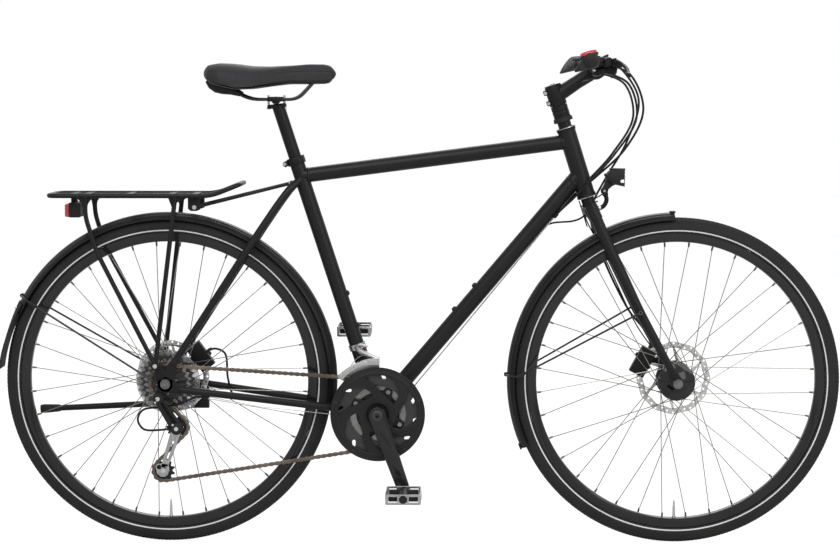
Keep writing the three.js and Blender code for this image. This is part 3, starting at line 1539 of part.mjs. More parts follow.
function makeBell() {
  const dome = Array.from({ length: domeSteps + 1 }, (unused, i) => {
    const angle = (i / domeSteps) * (halfTurn / 2) * degree;
    return flat(bellRadius * Math.cos(angle), bellHeight * Math.sin(angle));
  });
  const geometry = new THREE.LatheGeometry([flat(0, 0), ...dome], domeSides);
  geometry.rotateX(Math.PI / 2);
  geometry.translate(...bellBase.toArray());
  const center = barPoint(bellY, -1);
  const half = bellBandWidth / 2;
  const line = barPoint(barShoulderY, -1).sub(barPoint(barBendY, -1)).normalize();
  const outer = bellBarRadius + bellBandWall;
  const band = rod(along(center, line, -half), along(center, line, half), outer, outer, barSides);
  const bore = rod(along(center, line, -bellBandWidth), along(center, line, bellBandWidth), bellBarRadius,
      bellBarRadius,
    barSides);
  const stand = rod(at(bellBase.x, bellBase.y, bellBase.z - bellStand - bellBandWall), bellBase,
      bellBandWidth / 2);
  return piece('bell', cut(join(solid(geometry), band, stand), bore), bellRed());
}

function makeBellLever() {
  const root = at(0, 0, -strikerRadius);
  const tip = at(-strikerLength, 0, strikerRadius);
  return piece('bell_lever', rod(root, tip, strikerRadius), matteBlack());
}

// Mudguards: an arched section swept round the wheel, with stays of bent wire
const guardSectionSteps = 4;
const rearGuardSteps = 20;
const frontGuardSteps = 14;

function guardSection() {
  const half = mudguardWidth / 2;
  const radius = (half * half + mudguardDepth * mudguardDepth) / (2 * mudguardDepth);
  const swing = Math.asin(half / radius) / degree;
  const arc = (size) => Array.from({ length: guardSectionSteps + 1 }, (unused, i) => {
    const angle = (2 * (i / guardSectionSteps) - 1) * swing * degree;
    return [size * Math.sin(angle), size * Math.cos(angle) - radius];
  });
  return [...arc(radius), ...arc(radius - mudguardThickness).toReversed()];
}

function guardArc(center, radius, start, end, steps) {
  return Array.from({ length: steps + 1 }, (unused, i) => {
    const point = onCircle(radius, start + ((end - start) * i) / steps);
    return at(center.x + point.x, 0, center.z + point.z);
  });
}

// A wire from one foot up to the mudguard's edge, over its back and down to the other foot
function guardWire(center, foot, angle) {
  const half = mudguardWidth / 2;
  const sectionRadius = (half * half + mudguardDepth * mudguardDepth) / (2 * mudguardDepth);
  const wrap = sectionRadius + wireGap + wireRadius;
  const onGuard = (y) => {
    const reach = mudguardRadius - sectionRadius + Math.sqrt(wrap * wrap - y * y);
    const point = onCircle(reach, angle, y);
    return at(center.x + point.x, point.y, center.z + point.z);
  };
  const ys = wireWrapShares.map((share) => share * wrap);
  const side = (sign) => [foot(sign), ...ys.map((y) => onGuard(sign * y))];
  return routeTube([...side(-1), onGuard(0), ...side(1).toReversed()], wireRadius, nutSides);
}
const wireGap = 0.8;
const wireWrapShares = [0.97, 0.75, 0.4];
const rearWireAngle = 150;
const frontWireAngle = 178;
const rearWireFootX = -22;
const rearWireFootRise = 5;

function makeRearMudguard() {
  const guard = sweep(guardSection(), guardArc(rearAxle, mudguardRadius, rearGuardStart, rearGuardEnd,
      rearGuardSteps),
    rearGuardSteps);
  const half = flapWidth / 2;
  const flapSection = [[-half, 0], [half, 0], [half, mudguardThickness], [-half, mudguardThickness]];
  const flap = sweep(flapSection, guardArc(rearAxle, mudguardRadius - mudguardThickness / 2, flapStart,
      flapEnd, 4), 4);
  const studTo = (bridge) => {
    const angle = Math.atan2(bridge.z - rearAxle.z, bridge.x - rearAxle.x) / degree;
    const start = onCircle(mudguardRadius - mudguardThickness / 2, angle);
    const end = onCircle(bridgeReach - bridgeRadius - seatGap, angle);
    return rod(start.add(rearAxle), end.add(rearAxle), bridgeRadius - 1);
  };
  return piece('rear_mudguard', join(guard, flap, studTo(upperBridge), studTo(lowerBridge)), satinBlack());
}

function makeRearMudguardStay() {
  const y = dropoutY + dropoutThickness / 2 + seatGap + wireRadius;
  const foot = (side) => at(rearAxle.x + rearWireFootX, side * y, rearAxle.z + rearWireFootRise);
  return piece('rear_mudguard_stay', guardWire(rearAxle, foot, rearWireAngle), steelSilver());
}

const wheelInFork = at(forkOffset, 0, 0);
const guardTabWidth = 16;
const guardTabThickness = 2;

function makeFrontMudguard() {
  const start = frontGuardStart - steerTilt;
  const end = frontGuardEnd - steerTilt;
  const guard = sweep(guardSection(), guardArc(wheelInFork, mudguardRadius, start, end, frontGuardSteps),
      frontGuardSteps);
  const tabX = -crownDepth / 2 - seatGap - guardTabThickness / 2;
  const guardTop = Math.sqrt(mudguardRadius ** 2 - (forkOffset - tabX) ** 2) - mudguardThickness;
  const tabTop = (crownTop + crownBottom) / 2;
  const tab = block(at(tabX, 0, (guardTop + tabTop) / 2), guardTabThickness, guardTabWidth,
      tabTop - guardTop);
  return piece('front_mudguard', join(guard, tab), satinBlack());
}

function makeFrontMudguardStay() {
  const foot = (side) => {
    const root = bladePoint(stayBossShare, side);
    return onSide(root, root.y + side * (bladeTopRadius + stayBossLength + wireGap + wireRadius));
  };
  return piece('front_mudguard_stay', guardWire(wheelInFork, foot, frontWireAngle - steerTilt),
      steelSilver());
}

// Headlamp: a bent bracket from the crown's front, and a lamp that tilts on its end
const lampBracketRadius = 4;
const lampBoltRise = 14;
const lampFaceSides = 12;
const lampPivot = at(crownDepth / 2 + lampReach, 0, crownBottom + lampRise / 2);
const lampEarLength = 8;

function makeHeadlightBracket() {
  const foot = at(crownDepth / 2 + seatGap, 0, crownBottom + lampBoltRise);
  const knee = at(foot.x + lampReach / 2, 0, foot.z);
  const top = at(lampPivot.x, 0, lampPivot.z - lampEarLength - seatGap);
  return piece('headlight_bracket', bentTube([foot, knee, at(top.x, 0, knee.z + lampReach / 2), top],
      lampBracketRadius,
    lampBracketRadius), matteBlack());
}

// The lamp is made in its own frame, at its pivot, with its beam along +x
function makeHeadlight() {
  const back = -lampLength / 2;
  const profile = [
    flat(0, back),
    flat(lampRadius * lampBackShare, back),
    flat(lampRadius, back + lampLength / 3),
    flat(lampRadius, lampLength / 2),
    flat(0, lampLength / 2),
  ];
  const geometry = new THREE.LatheGeometry(profile, lampFaceSides);
  geometry.rotateZ(-Math.PI / 2);
  geometry.translate(lampLength / 2, 0, lampEarLength + lampRadius - 1);
  const ear = rod(at(0, -lampEarLength / 2, 0), at(0, lampEarLength / 2, 0), lampEarLength, lampEarLength,
      barSides);
  const neck = block(at(lampEarLength / 2, 0, lampEarLength), lampEarLength, lampEarLength,
      2 * lampEarLength);
  return piece('headlight', join(solid(geometry), ear, neck), matteBlack());
}
const lampBackShare = 0.7;

// Saddle: a cushion with a crown, drawn-in sides and a nose, over a shell with two rails
const saddleAlongShares = [0, 0.04, 0.13, 0.25, 0.38, 0.52, 0.66, 0.8, 0.92, 0.98, 1];
const saddleHalfShares = [0.42, 0.78, 0.97, 1, 0.86, 0.58, 0.38, 0.29, 0.25, 0.2, 0.1];
const saddleRiseShares = [0.55, 0.86, 0.97, 0.94, 0.88, 0.87, 0.93, 0.98, 0.9, 0.7, 0.42];
const saddleSides = 12;
const saddleShellHeight = 8;
const saddleTuck = 5;
const grooveDepth = 3.5;

function saddleHalfWidth(i) {
  return (saddleWidth / 2) * saddleHalfShares[i];
}

function makeSaddleCover() {
  const base = saddleSkirt + saddleShellHeight + seatGap;
  const rings = saddleAlongShares.map((share, i) => {
    const x = saddleRearX + share * saddleLength;
    const half = saddleHalfWidth(i);
    const rise = (saddleTop - base) * saddleRiseShares[i];
    return Array.from({ length: saddleSides }, (unused, k) => {
      const angle = (k / (saddleSides - 1)) * halfTurn * degree;
      const across = Math.cos(angle);
      const up = Math.sin(angle);
      const tuck = up === 0 || k === 0 || k === saddleSides - 1 ? saddleTuck * saddleHalfShares[i] : 0;
      const groove = grooveDepth * Math.max(0, 1 - Math.abs(across) * 4) * Math.sin(share * Math.PI);
      const y = Math.sign(across) * (half * Math.abs(across) ** 0.8 - tuck);
      return at(x, y, base + Math.max(0, rise * up ** 0.7 - groove));
    });
  });
  return piece('saddle_cover', loft(rings), saddleGrey());
}

const railFrontShare = 0.9;
const railRearShare = 0.16;
const cradleRadius = 11;
const cradleOverhang = 7;
const cradleSegments = 16;
const shellShare = 0.92;

const cradleCenter = onSeatTube(seatpostRailHeight);

function makeSaddleBase() {
  const rings = saddleAlongShares.map((share, i) => {
    const x = saddleRearX + share * saddleLength;
    const half = saddleHalfWidth(i) * shellShare;
    const high = saddleSkirt + saddleShellHeight;
    return [at(x, half, high), at(x, -half, high), at(x, -half / 2, saddleSkirt), at(x, half / 2,
        saddleSkirt)];
  });
  const railAt = (share, z, y) => at(saddleRearX + share * saddleLength, y, z);
  const rail = (side) => bentTube([
    railAt(railRearShare, saddleSkirt + saddleShellHeight / 2, side * railSpread),
    at(cradleCenter.x - saddleLength * railRearShare, side * railSpread, cradleCenter.z),
    at(cradleCenter.x + saddleLength * railRearShare, side * railSpread, cradleCenter.z),
    railAt(railFrontShare, saddleSkirt + saddleShellHeight / 2, side * (railRadius + 1)),
  ], 3 * railRadius, railRadius, nutSides, 1);
  const half = railSpread + cradleOverhang;
  const cradle = disc(cradleRadius, -half, half, cradleSegments).translate([cradleCenter.x, 0,
      cradleCenter.z]);
  return piece('saddle_base', join(loft(rings), pairOf(rail), cradle), matteBlack());
}

// Seatpost: a tube with a head that cups the rails' cradle
const headHalfWidth = 14;
const headLength = 30;
const headDrop = 8;

function makeSeatpost() {
  const foot = onSeatTube(seatTubeLength - seatpostInsert);
  const headBase = onSeatTube(seatpostRailHeight - cradleRadius);
  const head = block(at(cradleCenter.x, 0, cradleCenter.z - cradleRadius), headLength, 2 * headHalfWidth,
    2 * headDrop, 90 - seatTubeAngle);
  const seatRadius = (cradleRadius + seatGap) / Math.cos(Math.PI / cradleSegments);
  const seat = disc(seatRadius, -railSpread * 2, railSpread * 2, cradleSegments)
    .translate([cradleCenter.x, 0, cradleCenter.z]);
  return piece('seatpost', cut(join(rod(foot, headBase, seatpostRadius, seatpostRadius, tubeSides), head),
      seat),
    matteBlack());
}

// Carrier: side rails with a raised front loop, flat straps across, and legs that meet at the dropouts
const carrierFootY = dropoutY + dropoutThickness / 2 + seatGap + carrierTubeRadius;
const carrierBend = 22;
const strapThickness = 4;
const strapWidth = 14;
const strapPlaceShares = [0.22, 0.48, 0.74, 0.99];
const rearLegX = -165;
const rearLegKneeX = -168;
const rearLegKneeDrop = 40;
const rearLegHip = [-144, 118];
const frontLegX = 24;
const footEyeRadius = 9;
const lightPlateX = -200;
const lightPlateWidth = 18;
const lightHang = 17;
const strutX = 60;
const strutDrop = 26;
const strutRadius = 3.5;
const strutPlateLength = 26;
const strutPlateThickness = 3;

function makeCarrier() {
    const rail = (sign) => bentTube([
    at(carrierRear, -sign, carrierHeight),
    at(carrierRear, sign * carrierHalfWidth, carrierHeight),
    at(carrierFront, sign * carrierHalfWidth, carrierHeight),
    at(carrierTipX, sign * carrierHalfWidth, carrierHeight + carrierTipRise),
    at(carrierTipX, -sign, carrierHeight + carrierTipRise),
  ], carrierBend, carrierTubeRadius, nutSides, 1);
  const straps = strapPlaceShares.map((share) => block(
    at(THREE.MathUtils.lerp(carrierRear, carrierFront, share), 0,
        carrierHeight + carrierTubeRadius - strapThickness),
    strapWidth, 2 * carrierHalfWidth, strapThickness));
  const foot = (sign) => at(rearAxle.x + carrierFootX, sign * carrierFootY, rearAxle.z + carrierFootRise);
  const legs = (sign) => [
    bentTube([
      at(rearLegX, sign * carrierHalfWidth, carrierHeight),
      at(rearLegKneeX, sign * carrierHalfWidth, carrierHeight - rearLegKneeDrop),
      at(rearLegHip[0], sign * carrierHalfWidth, carrierHeight - rearLegHip[1]),
      foot(sign),
    ], carrierBend, carrierTubeRadius, nutSides, 1),
    rod(at(frontLegX, sign * carrierHalfWidth, carrierHeight), foot(sign), carrierTubeRadius),
    disc(footEyeRadius, foot(sign).y - carrierTubeRadius, foot(sign).y + carrierTubeRadius, staySides)
      .translate([foot(sign).x, 0, foot(sign).z]),
  ];
  const strapLow = carrierHeight - strapThickness;
  const lightPlate = block(at(lightPlateX, 0, strapLow - lightHang / 2 + strapThickness), strapWidth,
      lightPlateWidth,
    lightHang + strapThickness);
  const strutPlates = pairOf((sign) => block(at(strutX, sign * strutPlateY,
      strapLow - strutDrop / 2 + strapThickness),
    strutPlateLength, strutPlateThickness, strutDrop + 2 * strapThickness));
  const strutStrap = block(at(strutX, 0, carrierHeight + carrierTubeRadius - strapThickness), strapWidth,
    2 * carrierHalfWidth, strapThickness);
  const lightStrap = block(at(lightPlateX, 0, carrierHeight + carrierTubeRadius - strapThickness),
      strapWidth,
    2 * carrierHalfWidth, strapThickness);
  return piece('carrier', join(rail(-1), rail(1), straps, pairOf(legs).flat(), strutStrap, lightStrap,
      lightPlate,
    strutPlates, pairOf(makeCarrierStrut)), satinBlack());
}

// Struts tie the carrier's front to the bosses behind the seat stays
const carrierBossPlace = carrierBoss(1);
const strutPlateY = carrierBossPlace.y - strutRadius;

function makeCarrierStrut(side) {
  const end = at(carrierBossPlace.x - carrierBossBack - seatGap, side * carrierBossPlace.y,
      carrierBossPlace.z);
  return rod(at(strutX - strutPlateLength / 2, side * strutPlateY, carrierHeight - strutDrop), end,
      strutRadius);
}

// Rear light: a case under the carrier's end
function makeRearLight() {
  const top = carrierHeight - strapThickness - lightHang + strapThickness / 2 - seatGap;
  const body = block(at(lightPlateX, 0, top - rearLightHeight / 2), rearLightLength, rearLightWidth,
      rearLightHeight);
  return piece('rear_light', body, lensRed());
}

// Kickstand: a bracket under the left chain stay, and a leg folded back beside the wheel
const standBracketLength = 40;
const standBracketWidth = 16;
const standBracketHeight = 26;
const standHubRadius = 11;
const standHubWidth = 14;
const standFootRadius = 10;
const standFootLength = 34;
// The bracket hugs the chain stay, and is cut clear of the leg's hub
const standLean = 25;
const standAxis = at(0, Math.cos(standLean * degree), Math.sin(standLean * degree));
const standPivot = at(standPivotX, standPivotY, standPivotZ);

function makeKickstandBracket() {
  const top = standPivot.z + standBracketHeight + standHubWidth;
  const low = standPivot.z - standHubRadius;
  const outer = standPivot.y - standHubWidth / 2 - turningGap;
  const body = block(at(standPivot.x, outer - standBracketWidth / 2, (top + low) / 2), standBracketLength,
    standBracketWidth, top - low);
  const stay = tube(chainStayRoute(1), chainStayRadius + seatGap, staySteps, staySides);
  const roomRadius = turningBore(standHubRadius, tubeSides);
  const hubRoom = rod(along(standPivot, standAxis, -standHubWidth / 2 - turningGap),
    along(standPivot, standAxis, standBracketLength), roomRadius, roomRadius, tubeSides);
  const pieces = cut(body, stay, hubRoom).decompose();
  const largest = pieces.reduce((best, next) => (next.volume() > best.volume() ? next : best));
  return piece('kickstand_bracket', largest, matteBlack());
}

function makeKickstandLeg() {
  const end = at(-standLength, 0, -standFoldedDrop);
  const direction = end.clone().normalize();
  const hub = rod(along(at(0, 0, 0), standAxis, -standHubWidth / 2), along(at(0, 0, 0), standAxis,
      standHubWidth / 2),
    standHubRadius, standHubRadius, tubeSides);
  const leg = rod(at(0, 0, 0), end, standRadius, standRadius - 1, staySides);
  const foot = rod(along(end, direction, -standFootLength), end, standRadius, standFootRadius, staySides);
  return piece('kickstand_leg', join(hub, leg, foot), matteBlack());
}

// Cables and hoses. Each one is a single tube: thick in its housing, and thin where the inner wire runs
// bare.
const wireCableRadius = 0.9;
const fromSteering = (x, y, z) => along(along(steerFoot, steerForward, x), steerUp, z).setY(y);
const stopCenter = (y) => onSide(along(onDownTube(stopShare), downTubeUp, -stopOffset), y);
const cableSides = 5;
const bareSides = 4;
const housingOverlap = 3;
const shifterMouth = fromSteering(shifterCenter.x, shifterCenter.y - shifterWidth / 2 - seatGap,
    shifterCenter.z);
const leverMouth = fromSteering(reservoirCenter.x, reservoirCenter.y - reservoirWidth / 2 - seatGap,
    reservoirCenter.z);

// The housing in front of the head tube, down to its stop on the down tube
function makeShiftLoop(side) {
  const stop = stopCenter(side * stopY);
  const end = along(stop, downTubeLine, stopLength / 2 + seatGap);
  const points = [
    onSide(shifterMouth, side * shifterMouth.y),
    onSide(shifterMouth, side * (shifterMouth.y - 14)),
    at(978, side * 52, 985),
    at(996, side * 42, 915),
    at(952, side * 30, 838),
    at(902, side * 27, 782),
    at(864, side * 22, 742),
    along(end, downTubeLine, 14),
    end,
  ];
  return routeTube(points, hoseRadius, cableSides, 2);
}

function makeRearShiftCable() {
  const stop = stopCenter(-stopY);
  const loopEnd = along(stop, downTubeLine, stopLength / 2 + seatGap + housingOverlap);
  const bare = routeTube([
    loopEnd,
    along(stop, downTubeLine, -stopLength),
    at(484, -9, 285),
    at(459, -10, 258),
    at(430, -15, 259),
    at(398, -25, 273),
    at(343, -38, 283),
    at(200, -53, 300),
    at(rearStopMiddle.x + stopLength, rearStopMiddle.y, rearStopMiddle.z - 1),
    at(rearStopMiddle.x + stopLength / 2 + 1, rearStopMiddle.y, rearStopMiddle.z),
    at(74, rearStopMiddle.y, rearStopMiddle.z),
  ], wireCableRadius, bareSides);
  const housing = routeTube([
    at(rearStopMiddle.x - stopLength / 2 - seatGap, rearStopMiddle.y, rearStopMiddle.z),
    at(64, -63, 322),
    at(30, -60, 304),
    at(-12, -60, 292),
    at(-44, -63, 284),
    at(-58, -66, 266),
    at(-40, -66, 253),
    at(-10, -66, guidePulleyZ),
    at(guidePulleyX - knuckleRadius - seatGap, -66, guidePulleyZ),
  ], hoseRadius, cableSides, 2);
  return piece('rear_shift_cable', join(makeShiftLoop(-1), bare, housing), matteBlack());
}

function makeFrontShiftCable() {
  const stop = stopCenter(stopY);
  const loopEnd = along(stop, downTubeLine, stopLength / 2 + seatGap + housingOverlap);
  const bare = routeTube([
    loopEnd,
    along(stop, downTubeLine, -stopLength),
    at(484, 9, 285),
    at(461, 8, 259),
    at(438, 3, 259),
    at(420, -4, 292),
    at(398, -9, 340),
    at(391, -20, 385),
    at(409, -27, 405),
    at(421, -28, 408),
  ], wireCableRadius, bareSides);
  return piece('front_shift_cable', join(makeShiftLoop(1), bare), matteBlack());
}

function makeRearBrakeHose() {
  const middle = onCircle(caliperReach, rearCaliperAngle, rearRotorY);
  const outward = onCircle(1, rearCaliperAngle);
  const caliperFace = along(at(rearAxle.x + middle.x, rearRotorY - 2, rearAxle.z + middle.z), outward,
    caliperHeight / 2 + seatGap);
  return piece('rear_brake_hose', routeTube([
    onSide(leverMouth, -leverMouth.y),
    onSide(leverMouth, 14 - leverMouth.y),
    at(985, -52, 1003),
    at(1012, -20, 930),
    at(978, 18, 848),
    at(916, 34, 786),
    at(870, 33, 748),
    at(826, 21, 713),
    at(640, 20, 493),
    at(487, 20, 308),
    at(466, 20, 257),
    at(430, 24, 259),
    at(398, 29, 271),
    at(343, 40, 282),
    at(200, 54, 299),
    at(134, 49, 310),
    at(116, 47, 345),
    at(114, 48, 395),
    along(caliperFace, outward, 16),
    caliperFace,
  ], hoseRadius, cableSides), matteBlack());
}

function makeFrontBrakeHose() {
  const ear = onCircle(caliperReach, frontCaliperAngle);
  const upward = onCircle(1, frontCaliperAngle - halfTurn / 2);
  const end = along(at(forkOffset + ear.x, frontRotorY - 2, ear.z), upward, caliperLength / 2 + seatGap);
  const mouth = at(reservoirCenter.x, reservoirCenter.y - reservoirWidth / 2 - seatGap, reservoirCenter.z);
  return piece('front_brake_hose', routeTube([
    mouth,
    onSide(mouth, mouth.y - 14),
    at(150, 64, 682),
    at(170, 48, 600),
    at(120, 46, 520),
    at(52, 62, 455),
    at(14, 68, 415),
    at(-3, 68, 380),
    at(-4, 64, 310),
    at(17, 64, 168),
    at(27, 54, 116),
    along(end, upward, 14),
    end,
  ], hoseRadius, cableSides), matteBlack());
}

// Assembly
const bicycle = new THREE.Group();

function place(parent, origin, ...meshes) {
  const group = new THREE.Group();
  group.position.copy(origin);
  group.add(...meshes);
  parent.add(group);
  return group;
}

bicycle.add(
  makeFrame(),
  makeHeadsetCup('headset_upper_cup', headTop, 1),
  makeHeadsetCup('headset_lower_cup', headTubeFoot, -1),
  makeBottomBracket(),
  makeSeatClamp(),
  makeRearMudguard(),
  makeRearMudguardStay(),
  makeCarrier(),
  makeRearLight(),
  makeCaliper('rear_brake_caliper', rearAxle, rearCaliperAngle, rearRotorY, dropoutFace),
  makeAxle('rear_axle', dropoutFace + dropoutThickness, rearAxle),
  makeRearDerailleur(),
  makeDerailleurCage(),
  makeFrontDerailleur(),
  makeChain(),
  makeKickstandBracket(),
  makeRearBrakeHose(),
  makeRearShiftCable(),
  makeFrontShiftCable(),
  makeSeatpost(),
  makeSaddleBase(),
  makeSaddleCover(),
);

place(bicycle, standPivot, makeKickstandLeg());
place(bicycle, at(guidePulleyX, chainY, guidePulleyZ), makePulley('guide_pulley'));
place(bicycle, at(tensionPulleyX, chainY, tensionPulleyZ), makePulley('tension_pulley'));
place(bicycle, rearAxle, makeRearHub(), makeRim('rear_rim'), makeTyre('rear_tyre'),
    makeRotor('rear_rotor', rearRotorY),
  makeCassette());

const crank = place(bicycle, bracket, makeRightCrank(), makeLeftCrank(), makeChainrings(),
    makeChainGuard());
crank.rotation.y = -crankAngle * degree;
for (const [name, side] of [['pedal_right', -1], ['pedal_left', 1]]) {
  const pedal = place(crank, at(0, side * crankArmY, side * crankLength), makePedal(name, side));
  pedal.rotation.y = crankAngle * degree;
}

const steering = place(bicycle, steerFoot, makeFork(), makeStem(), makeHandlebar(), makeGrip('grip_right',
    -1),
  makeGrip('grip_left', 1), makeControl('control_right', -1), makeControl('control_left', 1),
      makeFrontMudguard(),
  makeFrontMudguardStay(), makeFrontBrakeHose(), makeBell(), makeHeadlightBracket(),
  makeCaliper('front_brake_caliper', wheelInFork, frontCaliperAngle, frontRotorY,
      frontOverLocknut / 2 + seatGap),
  makeAxle('front_axle', frontOverLocknut / 2 + seatGap + forkDropoutThickness, wheelInFork));
steering.rotation.y = -steerTilt * degree;
const frontWheel = place(steering, wheelInFork, makeFrontHub(), makeRim('front_rim'),
    makeTyre('front_tyre'),
  makeRotor('front_rotor', frontRotorY));
frontWheel.rotation.y = steerTilt * degree;
for (const [hand, side] of [['right', -1], ['left', 1]]) {
  place(steering, onSide(leverPivot, side * leverPivot.y), makeBrakeLever(`brake_lever_${hand}`, side));
  place(steering, onSide(thumbPivot, side * thumbPivot.y), makeThumbLever(`thumb_lever_${hand}`, side));
}
place(steering, strikerPlace, makeBellLever());
const lamp = place(steering, lampPivot, makeHeadlight());
lamp.rotation.y = steerTilt * degree;

// The origin lies under the middle of the bicycle's length
const outerBox = new THREE.Box3().setFromObject(bicycle, true);
bicycle.position.x = -(outerBox.min.x + outerBox.max.x) / 2;

export default bicycle;
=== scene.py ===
import json
import logging
import math
from dataclasses import dataclass, field
from enum import Enum
from typing import Callable, Sequence

import bpy
import numpy as np
from mathutils import Matrix, Vector

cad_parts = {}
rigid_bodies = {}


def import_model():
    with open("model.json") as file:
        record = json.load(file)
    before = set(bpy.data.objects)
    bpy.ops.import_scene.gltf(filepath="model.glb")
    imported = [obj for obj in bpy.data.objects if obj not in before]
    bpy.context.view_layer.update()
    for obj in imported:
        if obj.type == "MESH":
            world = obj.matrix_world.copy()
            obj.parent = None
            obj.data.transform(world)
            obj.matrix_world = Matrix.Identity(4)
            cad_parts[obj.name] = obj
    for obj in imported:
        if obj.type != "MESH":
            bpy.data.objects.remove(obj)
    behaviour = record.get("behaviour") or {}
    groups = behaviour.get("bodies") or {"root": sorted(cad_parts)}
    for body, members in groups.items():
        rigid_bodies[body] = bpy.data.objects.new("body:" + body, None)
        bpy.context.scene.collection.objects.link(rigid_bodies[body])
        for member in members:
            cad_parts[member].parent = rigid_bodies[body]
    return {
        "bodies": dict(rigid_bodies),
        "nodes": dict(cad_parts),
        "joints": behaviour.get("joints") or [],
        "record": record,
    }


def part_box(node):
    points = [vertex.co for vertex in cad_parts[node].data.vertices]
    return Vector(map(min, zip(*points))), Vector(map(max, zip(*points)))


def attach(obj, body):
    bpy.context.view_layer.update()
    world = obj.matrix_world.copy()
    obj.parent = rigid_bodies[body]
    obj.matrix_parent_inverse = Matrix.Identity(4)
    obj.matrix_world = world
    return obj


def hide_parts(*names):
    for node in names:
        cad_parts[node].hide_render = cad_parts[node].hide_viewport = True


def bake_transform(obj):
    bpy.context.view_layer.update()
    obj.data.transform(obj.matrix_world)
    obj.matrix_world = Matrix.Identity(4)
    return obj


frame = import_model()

LOG = logging.getLogger("touring_bicycle")
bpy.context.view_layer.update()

Point = tuple[float, float, float]
Flat = tuple[float, float]
Colour = tuple[float, float, float]
Solid = bpy.types.Object

MM = 0.001
TURN = 2 * math.pi
DRIVE_SIDE = -1
LEFT_SIDE = 1
BOTH_SIDES = (DRIVE_SIDE, LEFT_SIDE)
SMOOTH_ANGLE = math.radians(38)
SHARP_DEGREES = 32.0
FLAT_ANGLE = math.radians(0.5)
MERGE_MM = 0.001
PLATE_MERGE_MM = 0.0005
CAD_MERGE = 0.01 * MM


def rear_axle_x() -> float:
    """World X of the rear axle, in metres."""
    low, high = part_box("rear_rim")
    return (low.x + high.x) / 2


AXLE_X = rear_axle_x()
AXLE_HEIGHT = 351.0
WHEELBASE = 1088.0
HEAD_ANGLE = math.radians(72.5)
STEER_TILT = math.pi / 2 - HEAD_ANGLE
SEAT_ANGLE = math.radians(72)
FORK_OFFSET = 65.0
BRACKET: Point = (450.0, 0.0, 285.0)
CRANK_TILT = math.radians(19.4)
CALIPER_RADIUS = 76.0
FRONT_CALIPER_ANGLE = math.radians(134)
REAR_CALIPER_ANGLE = math.radians(36)
FRONT_DISC_Y = 39.5
REAR_DISC_Y = 51.0
STOP_DROP = -18.0
STOP_Y = 9.0
CARRIER_BOSS_SHARE = 0.17
CARRIER_BOSS_STEPS = 200


def spot(point: Sequence[float]) -> Vector:
    """World place in metres of a point in millimetres, measured from the ground under the rear axle."""
    return Vector((AXLE_X + point[0] * MM, point[1] * MM, point[2] * MM))


def placed(origin: Sequence[float] = (0, 0, 0), turn: Matrix | None = None) -> Matrix:
    """Takes millimetres about an origin, turned or not, to the world in metres."""
    return Matrix.Translation(spot(origin)) @ (turn or Matrix.Identity(4)) @ Matrix.Scale(MM, 4)


def turned_y(angle: float) -> Matrix:
    """Turn about the axis across the bicycle, the top going forward."""
    return Matrix.Rotation(angle, 4, "Y")


WHOLE = placed()
STEER_FOOT: Point = (WHEELBASE - FORK_OFFSET * math.cos(STEER_TILT), 0.0,
                     AXLE_HEIGHT - FORK_OFFSET * math.sin(STEER_TILT))
STEERED = placed(STEER_FOOT, turned_y(-STEER_TILT))


def on_circle(radius: float, angle: float, y: float = 0.0) -> Point:
    """Point at a radius and an angle above the forward direction, in a wheel's plane."""
    return (radius * math.cos(angle), y, radius * math.sin(angle))


def between(start: Sequence[float], end: Sequence[float], share: float) -> Point:
    """Point at a share of the way from one point to another."""
    return tuple(a + (b - a) * share for a, b in zip(start, end))


def on_seat_tube(distance: float, y: float = 0.0) -> Point:
    """Point on the seat tube's line, at a distance above the bracket."""
    return (BRACKET[0] - distance * math.cos(SEAT_ANGLE), y, BRACKET[2] + distance * math.sin(SEAT_ANGLE))


def on_steering(x: float, y: float, z: float) -> Point:
    """Point given along the steering axis, in the bicycle's own millimetres."""
    cos, sin = math.cos(STEER_TILT), math.sin(STEER_TILT)
    return (STEER_FOOT[0] + x * cos - z * sin, y, STEER_FOOT[2] + x * sin + z * cos)


def smooth_route(points: Sequence[Sequence[float]], steps: int) -> list[Point]:
    """Smooth curve through every point given.

    Args:
        points: The points to pass through.
        steps: New points for each stretch.
    Returns:
        The closer points, ends included.
    """
    p = [np.array(q, float) for q in points]
    p = [2 * p[0] - p[1]] + p + [2 * p[-1] - p[-2]]
    route: list[Point] = []
    for i in range(1, len(p) - 2):
        t = [0.0]
        for k in range(3):
            t.append(t[-1] + max(np.linalg.norm(p[i + k] - p[i + k - 1]), 1e-6) ** 0.5)
        for s in range(steps):
            x = t[1] + (t[2] - t[1]) * s / steps
            a = [(p[i - 1 + k] * (t[k + 1] - x) + p[i + k] * (x - t[k])) / (t[k + 1] - t[k])
                 for k in range(3)]
            b = [(a[k] * (t[k + 2] - x) + a[k + 1] * (x - t[k])) / (t[k + 2] - t[k]) for k in range(2)]
            route.append(tuple((b[0] * (t[2] - x) + b[1] * (x - t[1])) / (t[2] - t[1])))
    route.append(tuple(p[-2]))
    return route


def rounded_route(points: Sequence[Sequence[float]], bend: float, steps: int = 6) -> list[Point]:
    """Straight runs with each corner turned in a bend.

    Args:
        points: The corners, ends included.
        bend: How far before each corner the bend starts.
        steps: Points in each bend.
    Returns:
        The points of the bent route.
    """
    p = [Vector(q) for q in points]
    route = [p[0]]
    for before, corner, after in zip(p, p[1:], p[2:]):
        reach_in = min(bend, (corner - before).length / 2)
        reach_out = min(bend, (after - corner).length / 2)
        start = corner + (before - corner).normalized() * reach_in
        end = corner + (after - corner).normalized() * reach_out
        for s in range(steps + 1):
            share = s / steps
            route.append(start.lerp(corner, share).lerp(corner.lerp(end, share), share))
    route.append(p[-1])
    return [tuple(q) for q in route]


def pick(shape: Solid) -> None:
    """Selects one piece alone."""
    bpy.ops.object.select_all(action="DESELECT")
    shape.select_set(True)
    bpy.context.view_layer.objects.active = shape


